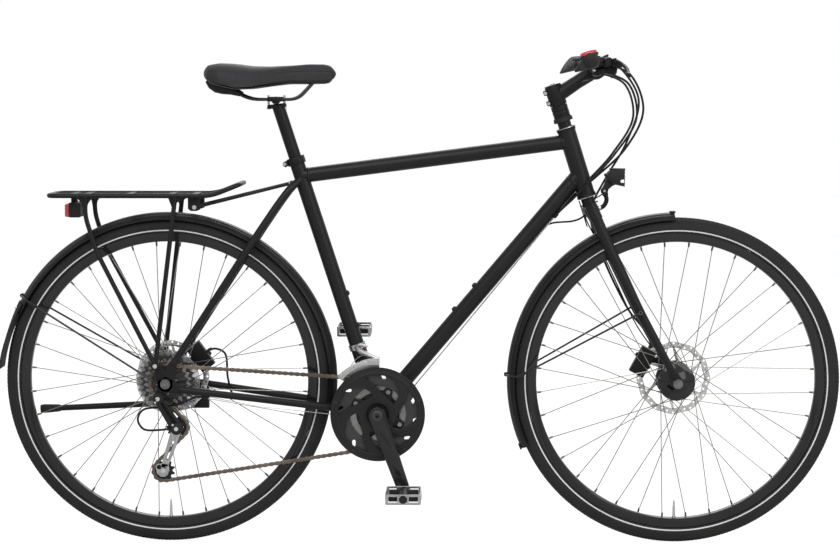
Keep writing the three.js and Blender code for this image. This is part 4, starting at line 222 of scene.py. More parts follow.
def open_mesh(shape: Solid) -> None:
    """Opens a piece's mesh with all of it selected."""
    pick(shape)
    bpy.ops.object.mode_set(mode="EDIT")
    bpy.ops.mesh.select_all(action="SELECT")


def close_mesh(merge: float = MERGE_MM) -> None:
    """Merges doubles, turns the faces outwards and leaves the open mesh."""
    bpy.ops.mesh.remove_doubles(threshold=merge)
    bpy.ops.mesh.delete_loose()
    bpy.ops.mesh.select_all(action="SELECT")
    bpy.ops.mesh.normals_make_consistent(inside=False)
    bpy.ops.object.mode_set(mode="OBJECT")


def settle(shape: Solid, name: str, place: Matrix) -> Solid:
    """Names a piece and puts its place into its mesh.

    Args:
        shape: The piece, made in millimetres about the origin.
        name: Its name.
        place: The matrix that takes it to the world.
    Returns:
        The same piece.
    """
    shape.name = name
    shape.data.name = name
    shape.matrix_world = place @ shape.matrix_world
    pick(shape)
    bpy.ops.object.transform_apply(location=True, rotation=True, scale=True)
    return shape


def lathe(name: str, profile: Sequence[Flat], place: Matrix, steps: int = 48) -> Solid:
    """Turns a closed profile about the axis across the bicycle.

    Args:
        name: The piece's name.
        profile: Radius and sideways place of each corner, in order.
        place: Where the axis goes.
        steps: Faces round the axis.
    Returns:
        The turned piece.
    """
    bpy.ops.object.select_all(action="DESELECT")
    bpy.ops.mesh.primitive_circle_add(vertices=len(profile), radius=1, location=(0, 0, 0))
    shape = bpy.context.object
    for vertex, (radius, y) in zip(shape.data.vertices, profile):
        vertex.co = (radius, y, 0)
    open_mesh(shape)
    bpy.ops.mesh.spin(steps=steps, angle=TURN, center=(0, 0, 0), axis=(0, 1, 0))
    bpy.ops.mesh.select_all(action="SELECT")
    close_mesh()
    return settle(shape, name, place)


def plate(name: str, outlines: Sequence[Sequence[Flat]], thickness: float, place: Matrix,
          edge: float = 0.2) -> Solid:
    """Cuts a plate that stands in a wheel's plane.

    Args:
        name: The piece's name.
        outlines: Its edge, then its holes, as forward and upward places.
        thickness: Its thickness across the bicycle.
        place: Where its middle goes.
        edge: How much its rims are broken.
    Returns:
        The plate.
    """
    bpy.ops.object.select_all(action="DESELECT")
    bpy.ops.curve.primitive_bezier_circle_add(location=(0, 0, 0))
    shape = bpy.context.object
    data = shape.data
    data.dimensions, data.fill_mode = "2D", "BOTH"
    data.extrude, data.bevel_depth, data.offset = thickness / 2 - edge, edge, -edge
    data.bevel_resolution = 1
    data.splines.clear()
    for outline in outlines:
        spline = data.splines.new("POLY")
        spline.points.add(len(outline) - 1)
        for point, (x, z) in zip(spline.points, outline):
            point.co = (x, z, 0, 1)
        spline.use_cyclic_u = True
    bpy.ops.object.convert(target="MESH")
    shape = bpy.context.object
    open_mesh(shape)
    close_mesh(PLATE_MERGE_MM)
    return settle(shape, name, place @ Matrix.Rotation(math.pi / 2, 4, "X"))


def tubing(name: str, runs: Sequence[Sequence[tuple[Point, float]]], place: Matrix, sides: int = 16) -> Solid:
    """Makes one piece of round tubes, each of its own thickness along its run.

    Args:
        name: The piece's name.
        runs: For each tube, its points with the radius there.
        place: Where the runs go.
        sides: Faces round each tube.
    Returns:
        The tubes as one mesh.
    """
    bpy.ops.object.select_all(action="DESELECT")
    bpy.ops.curve.primitive_nurbs_path_add(location=(0, 0, 0))
    shape = bpy.context.object
    data = shape.data
    data.dimensions, data.fill_mode = "3D", "FULL"
    data.bevel_depth, data.bevel_resolution, data.use_fill_caps = 1, max(0, (sides - 4) // 2), True
    data.splines.clear()
    for run in runs:
        spline = data.splines.new("POLY")
        spline.points.add(len(run) - 1)
        for knot, (point, radius) in zip(spline.points, run):
            knot.co = (*point, 1)
            knot.radius = radius
    bpy.ops.object.convert(target="MESH")
    shape = bpy.context.object
    open_mesh(shape)
    close_mesh()
    return settle(shape, name, place)


def even(route: Sequence[Sequence[float]], radius: float) -> list[tuple[Point, float]]:
    """A run of one thickness."""
    return [(tuple(point), radius) for point in route]


UP: Point = (0.0, 0.0, 1.0)
TO_LEFT: Point = (0.0, 1.0, 0.0)


def stepped(start: Sequence[float], way: Sequence[float],
            steps: Sequence[Flat]) -> list[tuple[Point, float]]:
    """A straight run that changes its thickness on the way.

    Args:
        start: Where its distances count from.
        way: Its direction.
        steps: The distance and the radius at each change.
    Returns:
        The run's points with the radius there.
    """
    return [(tuple(a + b * distance for a, b in zip(start, way)), radius) for distance, radius in steps]


def skin(name: str, cells: tuple[int, int], form: Callable[[np.ndarray, np.ndarray], np.ndarray],
         place: Matrix) -> Solid:
    """Bends a grid into a form.

    Args:
        name: The piece's name.
        cells: Cells along the grid's two directions.
        form: Gives the points, in millimetres, for shares along both directions.
        place: Where the form goes.
    Returns:
        The bent grid, with edges that meet merged.
    """
    bpy.ops.object.select_all(action="DESELECT")
    bpy.ops.mesh.primitive_grid_add(x_subdivisions=cells[0], y_subdivisions=cells[1], size=1,
                                    location=(0, 0, 0))
    shape = bpy.context.object
    flat = np.zeros(len(shape.data.vertices) * 3)
    shape.data.vertices.foreach_get("co", flat)
    flat = flat.reshape(-1, 3)
    shape.data.vertices.foreach_set("co", form(flat[:, 0] + 0.5, flat[:, 1] + 0.5).astype(float).ravel())
    shape.data.update()
    open_mesh(shape)
    close_mesh()
    return settle(shape, name, place)


def fill_ends(shape: Solid) -> Solid:
    """Closes the open ends of a bent grid."""
    open_mesh(shape)
    bpy.ops.mesh.select_all(action="DESELECT")
    bpy.ops.mesh.select_non_manifold(extend=False)
    bpy.ops.mesh.fill_holes(sides=0)
    bpy.ops.mesh.select_all(action="SELECT")
    bpy.ops.mesh.normals_make_consistent(inside=False)
    bpy.ops.object.mode_set(mode="OBJECT")
    return shape


def soften(shape: Solid, width: float, segments: int = 2, angle: float = SHARP_DEGREES) -> Solid:
    """Rounds a piece's sharp edges.

    Args:
        shape: The piece, in metres.
        width: How far the rounding goes, in millimetres.
        segments: Faces across the rounding.
        angle: Smallest angle in degrees that counts as sharp.
    Returns:
        The same piece.
    """
    pick(shape)
    bevel = shape.modifiers.new("rounding", "BEVEL")
    bevel.width, bevel.segments = width * MM, segments
    bevel.limit_method, bevel.angle_limit = "ANGLE", math.radians(angle)
    bpy.ops.object.modifier_apply(modifier=bevel.name)
    return shape


def block(name: str, middle: Sequence[float], size: Sequence[float], place: Matrix, edge: float = 1.0,
          turn: float = 0.0) -> Solid:
    """Makes a rounded block.

    Args:
        name: The piece's name.
        middle: Its middle.
        size: Its length, width and height.
        place: Where it goes.
        edge: The rounding of its edges.
        turn: Its turn about the axis across the bicycle.
    Returns:
        The block.
    """
    bpy.ops.object.select_all(action="DESELECT")
    bpy.ops.mesh.primitive_cube_add(size=1, location=(0, 0, 0))
    shape = bpy.context.object
    shape.matrix_world = Matrix.Translation(middle) @ turned_y(turn) @ Matrix.Diagonal((*size, 1))
    settle(shape, name, place)
    return soften(shape, width=edge, segments=3)


def weld(name: str, shapes: Sequence[Solid]) -> Solid:
    """Joins several shapes into one piece."""
    bpy.ops.object.select_all(action="DESELECT")
    for shape in shapes:
        shape.select_set(True)
    bpy.context.view_layer.objects.active = shapes[0]
    if len(shapes) > 1:
        bpy.ops.object.join()
    joined = bpy.context.object
    joined.name = name
    joined.data.name = name
    return joined


def copy_of(node: str, name: str, edge: float = 0.6, segments: int = 2,
            angle: float = SHARP_DEGREES) -> Solid:
    """Copies a CAD node's form, with its flats made whole and its edges rounded.

    Args:
        node: The CAD node.
        name: The copy's name.
        edge: The rounding in millimetres.
        segments: Faces across the rounding.
        angle: Smallest angle in degrees that is rounded.
    Returns:
        The rounded copy.
    """
    mesh = frame["nodes"][node].data.copy()
    mesh.materials.clear()
    shape = bpy.data.objects.new(name, mesh)
    bpy.context.scene.collection.objects.link(shape)
    open_mesh(shape)
    bpy.ops.mesh.remove_doubles(threshold=CAD_MERGE)
    bpy.ops.mesh.dissolve_limited(angle_limit=FLAT_ANGLE)
    bpy.ops.object.mode_set(mode="OBJECT")
    return soften(shape, width=edge, segments=segments, angle=angle)


def ring_outline(radius: float, count: int, middle: Flat = (0, 0), start: float = 0.0) -> list[Flat]:
    """Corners of a circle."""
    return [(middle[0] + radius * math.cos(start + TURN * i / count),
             middle[1] + radius * math.sin(start + TURN * i / count)) for i in range(count)]


def link_outline(start: Flat, start_radius: float, end: Flat, end_radius: float,
                 steps: int = 14) -> list[Flat]:
    """Outline of a link with two round ends.

    Args:
        start: Middle of the first end.
        start_radius: Its radius.
        end: Middle of the second end.
        end_radius: Its radius.
        steps: Points round each end.
    Returns:
        The outline's points.
    """
    heading = math.atan2(end[1] - start[1], end[0] - start[0])
    lean = math.asin((start_radius - end_radius) / math.dist(start, end))
    points: list[Flat] = []
    for middle, radius, first, sweep in ((end, end_radius, heading - math.pi / 2 + lean,
                                          math.pi - 2 * lean),
                                         (start, start_radius, heading + math.pi / 2 - lean,
                                          math.pi + 2 * lean)):
        for i in range(steps + 1):
            angle = first + sweep * i / steps
            points.append((middle[0] + radius * math.cos(angle), middle[1] + radius * math.sin(angle)))
    return points


class Grain(Enum):
    """How a surface's fine relief runs."""

    CAST = "cast"
    BRUSHED = "brushed"
    PEBBLED = "pebbled"


CLOUD_SCALE = 14.0
CLOUD_DETAIL = 5.0
GRAIN_DETAIL = 3.0
WEAR_STOPS: Flat = (0.12, 0.55)
RELIEF_DEPTH = 0.4 * MM
BLACK_SHEEN = 0.14


@dataclass(frozen=True)
class Finish:
    """One surface finish, made as a node material the first time it is used."""

    name: str
    colour: Colour
    worn: Colour
    roughness: Flat
    metallic: float = 0.0
    grain: Grain = Grain.CAST
    scale: float = 900.0
    bump: float = 0.15
    stretch: Point = (1.0, 1.0, 1.0)
    coat: float = 0.0
    clear: float = 0.0
    glow: float = 0.0
    sheen: float = 0.5

    def material(self) -> bpy.types.Material:
        """The finish as a material.

        Returns:
            The material, made once and shared.
        """
        name = f"{self.name}_finish"
        made = bpy.data.materials.get(name)
        if made:
            return made
        made = bpy.data.materials.new(name)
        made.use_nodes = True
        nodes, wires = made.node_tree.nodes, made.node_tree.links
        shader = nodes["Principled BSDF"]
        shader.inputs["Metallic"].default_value = self.metallic
        shader.inputs["Coat Weight"].default_value = self.coat
        shader.inputs["Specular IOR Level"].default_value = self.sheen
        shader.inputs["Transmission Weight"].default_value = self.clear
        place = nodes.new("ShaderNodeTexCoord")
        stretch = nodes.new("ShaderNodeMapping")
        stretch.inputs["Scale"].default_value = self.stretch
        wires.new(place.outputs["Object"], stretch.inputs["Vector"])
        if self.grain is Grain.PEBBLED:
            fine = nodes.new("ShaderNodeTexVoronoi")
            height = fine.outputs["Distance"]
        else:
            fine = nodes.new("ShaderNodeTexNoise")
            fine.inputs["Detail"].default_value = GRAIN_DETAIL
            height = fine.outputs["Fac"]
        fine.inputs["Scale"].default_value = self.scale
        wires.new(stretch.outputs["Vector"], fine.inputs["Vector"])
        clouds = nodes.new("ShaderNodeTexNoise")
        clouds.inputs["Scale"].default_value = CLOUD_SCALE
        clouds.inputs["Detail"].default_value = CLOUD_DETAIL
        wires.new(place.outputs["Object"], clouds.inputs["Vector"])
        mix = nodes.new("ShaderNodeMath")
        mix.operation = "MULTIPLY"
        wires.new(clouds.outputs["Fac"], mix.inputs[0])
        wires.new(height, mix.inputs[1])
        ramp = nodes.new("ShaderNodeValToRGB")
        for stop, position, tint in zip(ramp.color_ramp.elements, WEAR_STOPS, (self.colour, self.worn)):
            stop.position = position
            stop.color = (*tint, 1)
        wires.new(mix.outputs[0], ramp.inputs["Fac"])
        wires.new(ramp.outputs["Color"], shader.inputs["Base Color"])
        gloss = nodes.new("ShaderNodeMapRange")
        gloss.inputs["To Min"].default_value, gloss.inputs["To Max"].default_value = self.roughness
        wires.new(clouds.outputs["Fac"], gloss.inputs["Value"])
        wires.new(gloss.outputs["Result"], shader.inputs["Roughness"])
        relief = nodes.new("ShaderNodeBump")
        relief.inputs["Strength"].default_value = self.bump
        relief.inputs["Distance"].default_value = RELIEF_DEPTH
        wires.new(height, relief.inputs["Height"])
        wires.new(relief.outputs["Normal"], shader.inputs["Normal"])
        if self.glow:
            shader.inputs["Emission Color"].default_value = (*self.worn, 1)
            shader.inputs["Emission Strength"].default_value = self.glow
        return made


FRAME_BLACK = Finish("satin_black_powder_coat", (0.0065, 0.0065, 0.007), (0.012, 0.012, 0.0125),
                     (0.34, 0.46), scale=1500, bump=0.1, sheen=BLACK_SHEEN)
ALLOY_BLACK = Finish("matt_black_anodised", (0.008, 0.008, 0.0085), (0.016, 0.016, 0.0165), (0.38, 0.52),
                     metallic=0.35, scale=1800, sheen=BLACK_SHEEN)
GLOSS_BLACK = Finish("gloss_black_lacquer", (0.006, 0.006, 0.006), (0.011, 0.011, 0.011), (0.16, 0.28),
                     coat=0.3, bump=0.05, sheen=BLACK_SHEEN)
PLASTIC_BLACK = Finish("moulded_black_plastic", (0.009, 0.009, 0.0095), (0.017, 0.017, 0.0175),
                       (0.42, 0.58), grain=Grain.PEBBLED, scale=1400, bump=0.2, sheen=BLACK_SHEEN)
TYRE_BLACK = Finish("tyre_rubber", (0.011, 0.011, 0.011), (0.022, 0.021, 0.02), (0.6, 0.8), scale=700,
                    bump=0.3, sheen=BLACK_SHEEN)
GRIP_BLACK = Finish("grip_rubber", (0.012, 0.012, 0.012), (0.022, 0.022, 0.022), (0.6, 0.78),
                    grain=Grain.PEBBLED, scale=900, bump=0.35, sheen=BLACK_SHEEN)
SHEATH_BLACK = Finish("cable_sheath", (0.006, 0.006, 0.0065), (0.012, 0.012, 0.012), (0.3, 0.42),
                      scale=1200, bump=0.06, sheen=BLACK_SHEEN)
SADDLE_GREY = Finish("saddle_cover_dark_grey", (0.016, 0.016, 0.017), (0.03, 0.03, 0.032), (0.5, 0.66),
                     grain=Grain.PEBBLED, scale=1100, bump=0.35, sheen=BLACK_SHEEN)
STEEL = Finish("polished_steel", (0.4, 0.4, 0.4), (0.62, 0.62, 0.61), (0.18, 0.32), metallic=1, scale=500,
               bump=0.05)
SPOKE_STEEL = Finish("spoke_steel", (0.17, 0.165, 0.155), (0.34, 0.33, 0.31), (0.25, 0.4), metallic=1,
                     scale=600, bump=0.04)
HUB_SILVER = Finish("satin_silver_alloy", (0.36, 0.36, 0.36), (0.58, 0.58, 0.58), (0.3, 0.44), metallic=1,
                    grain=Grain.BRUSHED, scale=700, stretch=(1, 0.05, 1), bump=0.08)
ROTOR_STEEL = Finish("ground_disc_steel", (0.4, 0.4, 0.4), (0.66, 0.66, 0.65), (0.24, 0.4), metallic=1,
                     grain=Grain.BRUSHED, scale=1300, bump=0.12)
DARK_STEEL = Finish("dark_steel", (0.014, 0.014, 0.014), (0.035, 0.034, 0.033), (0.3, 0.46), metallic=0.1,
                    scale=800, bump=0.08, sheen=0.35)
TOOTH_STEEL = Finish("bright_sprocket_steel", (0.11, 0.108, 0.105), (0.3, 0.295, 0.29), (0.26, 0.42),
                     metallic=1, scale=800, bump=0.08)
CHAIN_BROWN = Finish("oiled_chain_steel", (0.075, 0.062, 0.05), (0.22, 0.19, 0.16), (0.3, 0.46), metallic=1,
                     scale=900, bump=0.1)
CAGE_GREY = Finish("grey_cage_alloy", (0.26, 0.26, 0.265), (0.46, 0.46, 0.465), (0.3, 0.44), metallic=1,
                   grain=Grain.BRUSHED, scale=900, stretch=(1, 1, 0.1), bump=0.1)
NIPPLE_DARK = Finish("dark_nipple_brass", (0.05, 0.045, 0.035), (0.12, 0.105, 0.08), (0.28, 0.42),
                     metallic=1, scale=900, bump=0.05)
REFLECTIVE = Finish("reflective_band", (0.42, 0.43, 0.44), (0.6, 0.61, 0.62), (0.4, 0.55), scale=2600,
                    bump=0.1)
BELL_RED = Finish("red_lacquer", (0.42, 0.02, 0.014), (0.58, 0.04, 0.025), (0.2, 0.3), coat=0.4, bump=0.04)
RED_LENS = Finish("red_lens", (0.3, 0.006, 0.006), (0.5, 0.02, 0.015), (0.1, 0.2), grain=Grain.PEBBLED,
                  scale=420, bump=0.5, coat=0.5)
CLEAR_LENS = Finish("clear_ribbed_lens", (0.62, 0.64, 0.66), (0.82, 0.84, 0.86), (0.06, 0.14),
                    grain=Grain.PEBBLED, scale=360, bump=0.4, coat=0.4)
AMBER_LENS = Finish("amber_reflector", (0.5, 0.16, 0.01), (0.75, 0.3, 0.03), (0.12, 0.22),
                    grain=Grain.PEBBLED, scale=480, bump=0.5, coat=0.4)
PROTECTOR = Finish("clear_protector", (0.5, 0.5, 0.5), (0.7, 0.7, 0.7), (0.1, 0.2), clear=0.85, bump=0.05)

SLOT_OF = {"frame_paint": (FRAME_BLACK,), "black_alloy": (ALLOY_BLACK, GLOSS_BLACK),
           "black_plastic": (PLASTIC_BLACK,), "tyre_rubber": (TYRE_BLACK, REFLECTIVE),
           "grip_rubber": (GRIP_BLACK,), "saddle_cover": (SADDLE_GREY,),
           "steel_silver": (STEEL, SPOKE_STEEL, HUB_SILVER, ROTOR_STEEL, CAGE_GREY, NIPPLE_DARK, CLEAR_LENS,
                            PROTECTOR), "dark_steel": (DARK_STEEL, TOOTH_STEEL),
           "chain_steel": (CHAIN_BROWN,), "cable_housing": (SHEATH_BLACK,),
           "lens_red": (RED_LENS, AMBER_LENS), "bell_red": (BELL_RED,), }


def dress(shape: Solid, finish: Finish, *nodes: str, angle: float = SMOOTH_ANGLE) -> None:
    """Shades a finished piece and gives it its finish.

    Args:
        shape: The piece.
        finish: Its finish.
        nodes: The CAD nodes that it stands for.
        angle: Largest angle between faces that is shaded smooth.
    """
    pick(shape)
    bpy.ops.object.shade_smooth_by_angle(angle=angle)
    shape.data.materials.clear()
    shape.data.materials.append(finish.material())
    if nodes:
        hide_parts(*nodes)


def hand_over(shape: Solid, finish: Finish, body: str, *nodes: str, angle: float = SMOOTH_ANGLE) -> Solid:
    """Dresses a finished piece and lets it ride.

    Args:
        shape: The piece.
        finish: Its finish.
        body: The body that it moves with.
        nodes: The CAD nodes that it stands for.
        angle: Largest angle between faces that is shaded smooth.
    Returns:
        The same piece.
    """
    dress(shape, finish, *nodes, angle=angle)
    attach(shape, body)
    LOG.info("%s rides on %s in %s", shape.name, body, finish.name)
    return shape


@dataclass
class Wheel:
    """One wheel: tyre, rim, spokes, hub and brake disc."""

    end: str
    x: float
    flange_radius: float
    flange_ys: Flat
    rotor_y: float
    hub_profile: Sequence[Flat]
    tyre_radius: float = 351.0
    tyre_section: float = 21.0
    rim_outer: float = 317.5
    rim_inner: float = 298.5
    rim_half: float = 12.0
    tread_repeats: int = 260
    tread_depth: float = 1.6
    spoke_count: int = 36
    spoke_crossings: int = 3
    spoke_radius: float = 1.0
    spoke_head_radius: float = 1.9
    nipple_y: float = 2.5
    ring_steps: int = 144
    valve_steps: Sequence[Flat] = ((-2, 4.2), (3, 4.2), (3.1, 3), (24, 3), (24.1, 2.2), (34, 2.2),
                                   (34.1, 1.2), (38, 1.2))
    band_degrees: tuple[float, ...] = (105.5, 108.5, 111.5, 113.5)
    band_depths: Flat = (1.2, 2.2)
    rotor_radius: float = 80.0
    rotor_thickness: float = 1.8
    rotor_waves: int = 12
    rotor_wave_depth: float = 1.1
    rotor_holes: int = 36
    rotor_arms: int = 6
    block_degrees: float = 46.0
    groove_degrees: float = 27.0
    rib_degrees: float = 8.0
    shoulder_degrees: float = 64.0

    @property
    def body(self) -> str:
        """The body that turns."""
        return f"{self.end}_wheel"

    @property
    def place(self) -> Matrix:
        """Where the axle's middle is."""
        return placed((self.x, 0, AXLE_HEIGHT))

    def build(self) -> None:
        """Builds every piece of the wheel."""
        self.tyre()
        self.rim()
        self.spokes()
        self.hub()
        self.rotor()

    def tyre(self) -> None:
        """The tyre with its cut tread, and the reflective band on each side."""
        middle = self.tyre_radius - self.tyre_section
        reach = math.radians(126)

        def form(u: np.ndarray, v: np.ndarray) -> np.ndarray:
            """The casing with diagonal blocks on its crown.

            Args:
                u: Share round the wheel.
                v: Share across the section.
            Returns:
                The points.
            """
            angle = (2 * v - 1) * reach
            across = np.abs(np.degrees(angle))
            phase = (u * self.tread_repeats + across / self.block_degrees * np.where(angle > 0, 1, -1)
                     * 0.9) % 1
            diagonal = np.clip((np.abs(phase - 0.5) - 0.36) / 0.05, 0, 1)
            ring = np.clip((3.2 - np.abs(across - self.groove_degrees)) / 1.2, 0, 1)
            rib = np.clip((across - self.rib_degrees) / 3, 0, 1)
            crown = np.clip((self.shoulder_degrees - across) / 5, 0, 1)
            cut = self.tread_depth * (crown * np.maximum(diagonal * rib, ring * 0.8) + (1 - crown))
            section = self.tyre_section - cut
            radius = middle + section * np.cos(angle)
            turn = u * TURN
            return np.stack([radius * np.cos(turn), section * np.sin(angle), radius * np.sin(turn)], 1)

        tyre = skin(f"{self.end}_tyre_casing", (self.tread_repeats * 4, 26), form, self.place)
        hand_over(tyre, TYRE_BLACK, self.body, f"{self.end}_tyre", angle=math.radians(28))
        bands = []
        for side in BOTH_SIDES:
            outer, inner = [[(middle + (self.tyre_section - depth) * math.cos(math.radians(a)),
                              side * (self.tyre_section - depth) * math.sin(math.radians(a)))
                             for a in self.band_degrees] for depth in self.band_depths]
            bands.append(lathe("band", outer + inner[::-1], self.place, steps=self.ring_steps))
        hand_over(weld(f"{self.end}_tyre_bands", bands), REFLECTIVE, self.body)

    def rim(self) -> None:
        """The rim, its spoke nipples and its valve."""
        profile = [(self.rim_inner, -5.5), (self.rim_inner + 1.2, -8.2),
                   (self.rim_outer - 8, -self.rim_half + 0.5), (self.rim_outer + 0.5, -self.rim_half),
                   (self.rim_outer + 1, -self.rim_half + 1.8), (self.rim_outer - 7, -self.rim_half + 2.4)]
        mirrored = [(radius, -y) for radius, y in reversed(profile)]
        hand_over(lathe(f"{self.end}_rim_ring", profile + mirrored, self.place, steps=self.ring_steps),
                  GLOSS_BLACK, self.body, f"{self.end}_rim")
        nipples, sockets = [], []
        for i in range(self.spoke_count):
            angle = (i + 0.5) / self.spoke_count * TURN
            y = math.copysign(self.nipple_y, self.flange_ys[i % 2])
            nipples.append([(on_circle(self.rim_inner + 1, angle, y), 2.1),
                            (on_circle(self.rim_inner - 7, angle, y), 2.1),
                            (on_circle(self.rim_inner - 10, angle, y), 1.5)])
            sockets.append([(on_circle(self.rim_inner + 1, angle, y), 3.4),
                            (on_circle(self.rim_inner - 0.7, angle, y), 3.1)])
        hand_over(tubing(f"{self.end}_nipples", nipples, self.place, sides=8), NIPPLE_DARK, self.body)
        hand_over(tubing(f"{self.end}_rim_eyelets", sockets, self.place, sides=10), STEEL, self.body)
        stem = stepped((0, 0, -self.rim_inner), UP, self.valve_steps)
        hand_over(tubing(f"{self.end}_valve", [stem], self.place, sides=12), STEEL, self.body)

    def spokes(self) -> None:
        """Crossed spokes, each with its bend and head at the flange."""
        runs = []
        for i in range(self.spoke_count):
            flange_y = self.flange_ys[i % 2]
            outward = math.copysign(1, flange_y)
            lead = 1 if (i // 2) % 2 == 0 else -1
            rim_angle = (i + 0.5) / self.spoke_count * TURN
            hub_angle = rim_angle + lead * self.spoke_crossings * TURN / (self.spoke_count / 2)
            head = on_circle(self.flange_radius - 3, hub_angle, flange_y - outward * lead * 3.2)
            face = on_circle(self.flange_radius - 3, hub_angle, flange_y + outward * lead * 1.6)
            rim = on_circle(self.rim_inner - 3, rim_angle, outward * self.nipple_y)
            thick, thin = self.spoke_head_radius, self.spoke_radius
            runs.append([(head, thick), (between(head, face, 0.12), thick),
                         (between(head, face, 0.13), thin), (face, thin), (between(face, rim, 0.02), thin),
                         (rim, 0.95 * thin)])
        hand_over(tubing(f"{self.end}_spokes", runs, self.place, sides=8), SPOKE_STEEL, self.body)

    def hub(self) -> None:
        """The hub shell, with dark plugs through its flanges painted as the shade of their holes."""
        shell = lathe(f"{self.end}_hub_shell", self.hub_profile, self.place, steps=64)
        soften(shell, width=0.6, segments=2)
        # Dark plugs through each flange are painted shade where holes would show dark; the shell itself is
        # not drilled.
        holes = []
        for y in self.flange_ys:
            for i in range(self.spoke_count // 2):
                angle = (i + 0.5) / (self.spoke_count / 2) * TURN
                holes.append([(on_circle(self.flange_radius - 9, angle, y - 3), 1.6),
                              (on_circle(self.flange_radius - 9, angle, y + 3), 1.6)])
        hand_over(shell, GLOSS_BLACK if self.end == "front" else HUB_SILVER, self.body, f"{self.end}_hub")
        hand_over(tubing(f"{self.end}_flange_hole_shade", holes, self.place, sides=8), DARK_STEEL, self.body)

    def rotor(self) -> None:
        """The disc: a waved, drilled track on swept arms, its spider and its bolts."""
        wave, inner_wave = [], []
        for i in range(self.ring_steps):
            angle = TURN * i / self.ring_steps
            ripple = self.rotor_wave_depth * math.cos(self.rotor_waves * angle)
            for edge, depth in ((wave, 1.2), (inner_wave, 14.5)):
                radius = self.rotor_radius - depth + ripple
                edge.append((radius * math.cos(angle), radius * math.sin(angle)))
        holes = []
        for i in range(self.rotor_holes):
            angle = TURN * i / self.rotor_holes
            radius = self.rotor_radius - 7.5 + (3.2, -3.2, 0)[i % 3]
            holes.append(ring_outline(2.3, count=10,
                                      middle=(radius * math.cos(angle), radius * math.sin(angle))))
        at = placed((self.x, self.rotor_y, AXLE_HEIGHT))
        track = plate("track", [wave, inner_wave, *holes], thickness=self.rotor_thickness, place=at)
        arms = []
        for i in range(self.rotor_arms):
            angle = TURN * i / self.rotor_arms
            start = on_circle(26, angle)
            end = on_circle(self.rotor_radius - 13.5, angle + math.radians(30))
            arms.append(plate("arm", [link_outline((start[0], start[2]), 4.2, (end[0], end[2]), 2.6)],
                              thickness=self.rotor_thickness, place=at))
        centre = plate("centre", [ring_outline(28, count=48), ring_outline(14, count=32)],
                       thickness=self.rotor_thickness, place=at)
        hand_over(weld(f"{self.end}_disc", [track, centre, *arms]), ROTOR_STEEL, self.body,
                  f"{self.end}_rotor")
        bolts = []
        for i in range(self.rotor_arms):
            x, _, z = on_circle(22, TURN * (i + 0.5) / self.rotor_arms)
            bolts.append(lathe("bolt", [(0, -1), (3.4, -1), (3.4, 1.8), (1.8, 2.2), (1.8, 1.2), (0, 1.2)],
                               placed((self.x + x, self.rotor_y + 1, AXLE_HEIGHT + z)), steps=12))
        hand_over(weld(f"{self.end}_disc_bolts", bolts), DARK_STEEL, self.body)


FRONT_HUB = [(6, -50), (11, -50), (11, -44), (16, -43), (30, -35), (34, -31), (40, -29.6), (40, -24.4),
             (34.5, -23), (34, -21), (34.6, -19), (34.6, 19), (34, 21), (34.5, 23), (40, 24.4), (40, 29.6),
             (24, 31), (22, 33), (22, 38.2), (11, 38.6), (11, 50), (6, 50)]
REAR_HUB = [(6, -67), (11, -67), (11, -64), (15, -64), (15, -26.5), (18, -26), (19, -22), (24, -20.8),
            (29, -20.6), (29, -15.4), (22, -14.6), (19, -12), (17.6, 0), (17.6, 18), (19, 29), (22, 31),
            (29, 31.4), (29, 36.6), (23, 37.6), (22, 39), (22, 49.6), (11, 50), (11, 67), (6, 67)]


@dataclass
class Wheels:
    """Both wheels, their axles and the pieces at their middles."""

    front: Wheel = field(default_factory=lambda: Wheel("front", WHEELBASE, 40, (-27, 27), FRONT_DISC_Y,
                                                       FRONT_HUB))
    rear: Wheel = field(default_factory=lambda: Wheel("rear", 0, 29, (-18, 34), REAR_DISC_Y, REAR_HUB))

    def build(self) -> None:
        """Builds both wheels and what sits on their axles."""
        self.front.build()
        self.rear.build()
        self.protector()
        self.axle("front", WHEELBASE, 57.6, "steering")
        self.axle("rear", 0, 73.8, "frame")
        self.dynamo_plug()

    def protector(self) -> None:
        """The clear disc between the sprockets and the spokes."""
        profile = [(20, -25.2), (50, -25.2), (68, -26.2), (68.4, -25.4), (50, -24.2), (20, -24.2)]
        hand_over(lathe("spoke_protector", profile, self.rear.place, steps=64), PROTECTOR, "rear_wheel")

    def axle(self, end: str, x: float, face: float, body: str) -> None:
        """One axle with a nut and washer at each side.

        Args:
            end: Front or rear.
            x: The axle's place along the bicycle.
            face: Where the nuts sit, out from the middle.
            body: The body that holds it.
        """
        place = placed((x, 0, AXLE_HEIGHT))
        rod = lathe("rod", [(0, -face - 11), (4, -face - 11), (4.8, -face - 10), (4.8, face + 10),
                            (4, face + 11), (0, face + 11)], place, steps=24)
        shapes = [rod]
        for side in BOTH_SIDES:
            washer = [(5, side * face), (10.5, side * face), (10.5, side * (face + 1.4)),
                      (5, side * (face + 1.4))]
            shapes.append(lathe("washer", washer, place, steps=32))
            nut = [(5, side * (face + 1.4)), (8.6, side * (face + 1.4)), (9, side * (face + 3)),
                   (8.8, side * (face + 7)), (7.4, side * (face + 8.2)), (5, side * (face + 8.2))]
            shapes.append(lathe("nut", nut, place, steps=6))
        hand_over(weld(f"{end}_axle_nuts", shapes), TOOTH_STEEL, body, f"{end}_axle")

    def dynamo_plug(self) -> None:
        """The block where the lighting cable meets the front hub, on the drive side."""
        plug = block("dynamo_plug", (WHEELBASE - 20, -47.5, AXLE_HEIGHT - 16), (20, 5, 13), WHOLE, edge=1.5,
                     turn=math.radians(35))
        hand_over(plug, PLASTIC_BLACK, "steering")


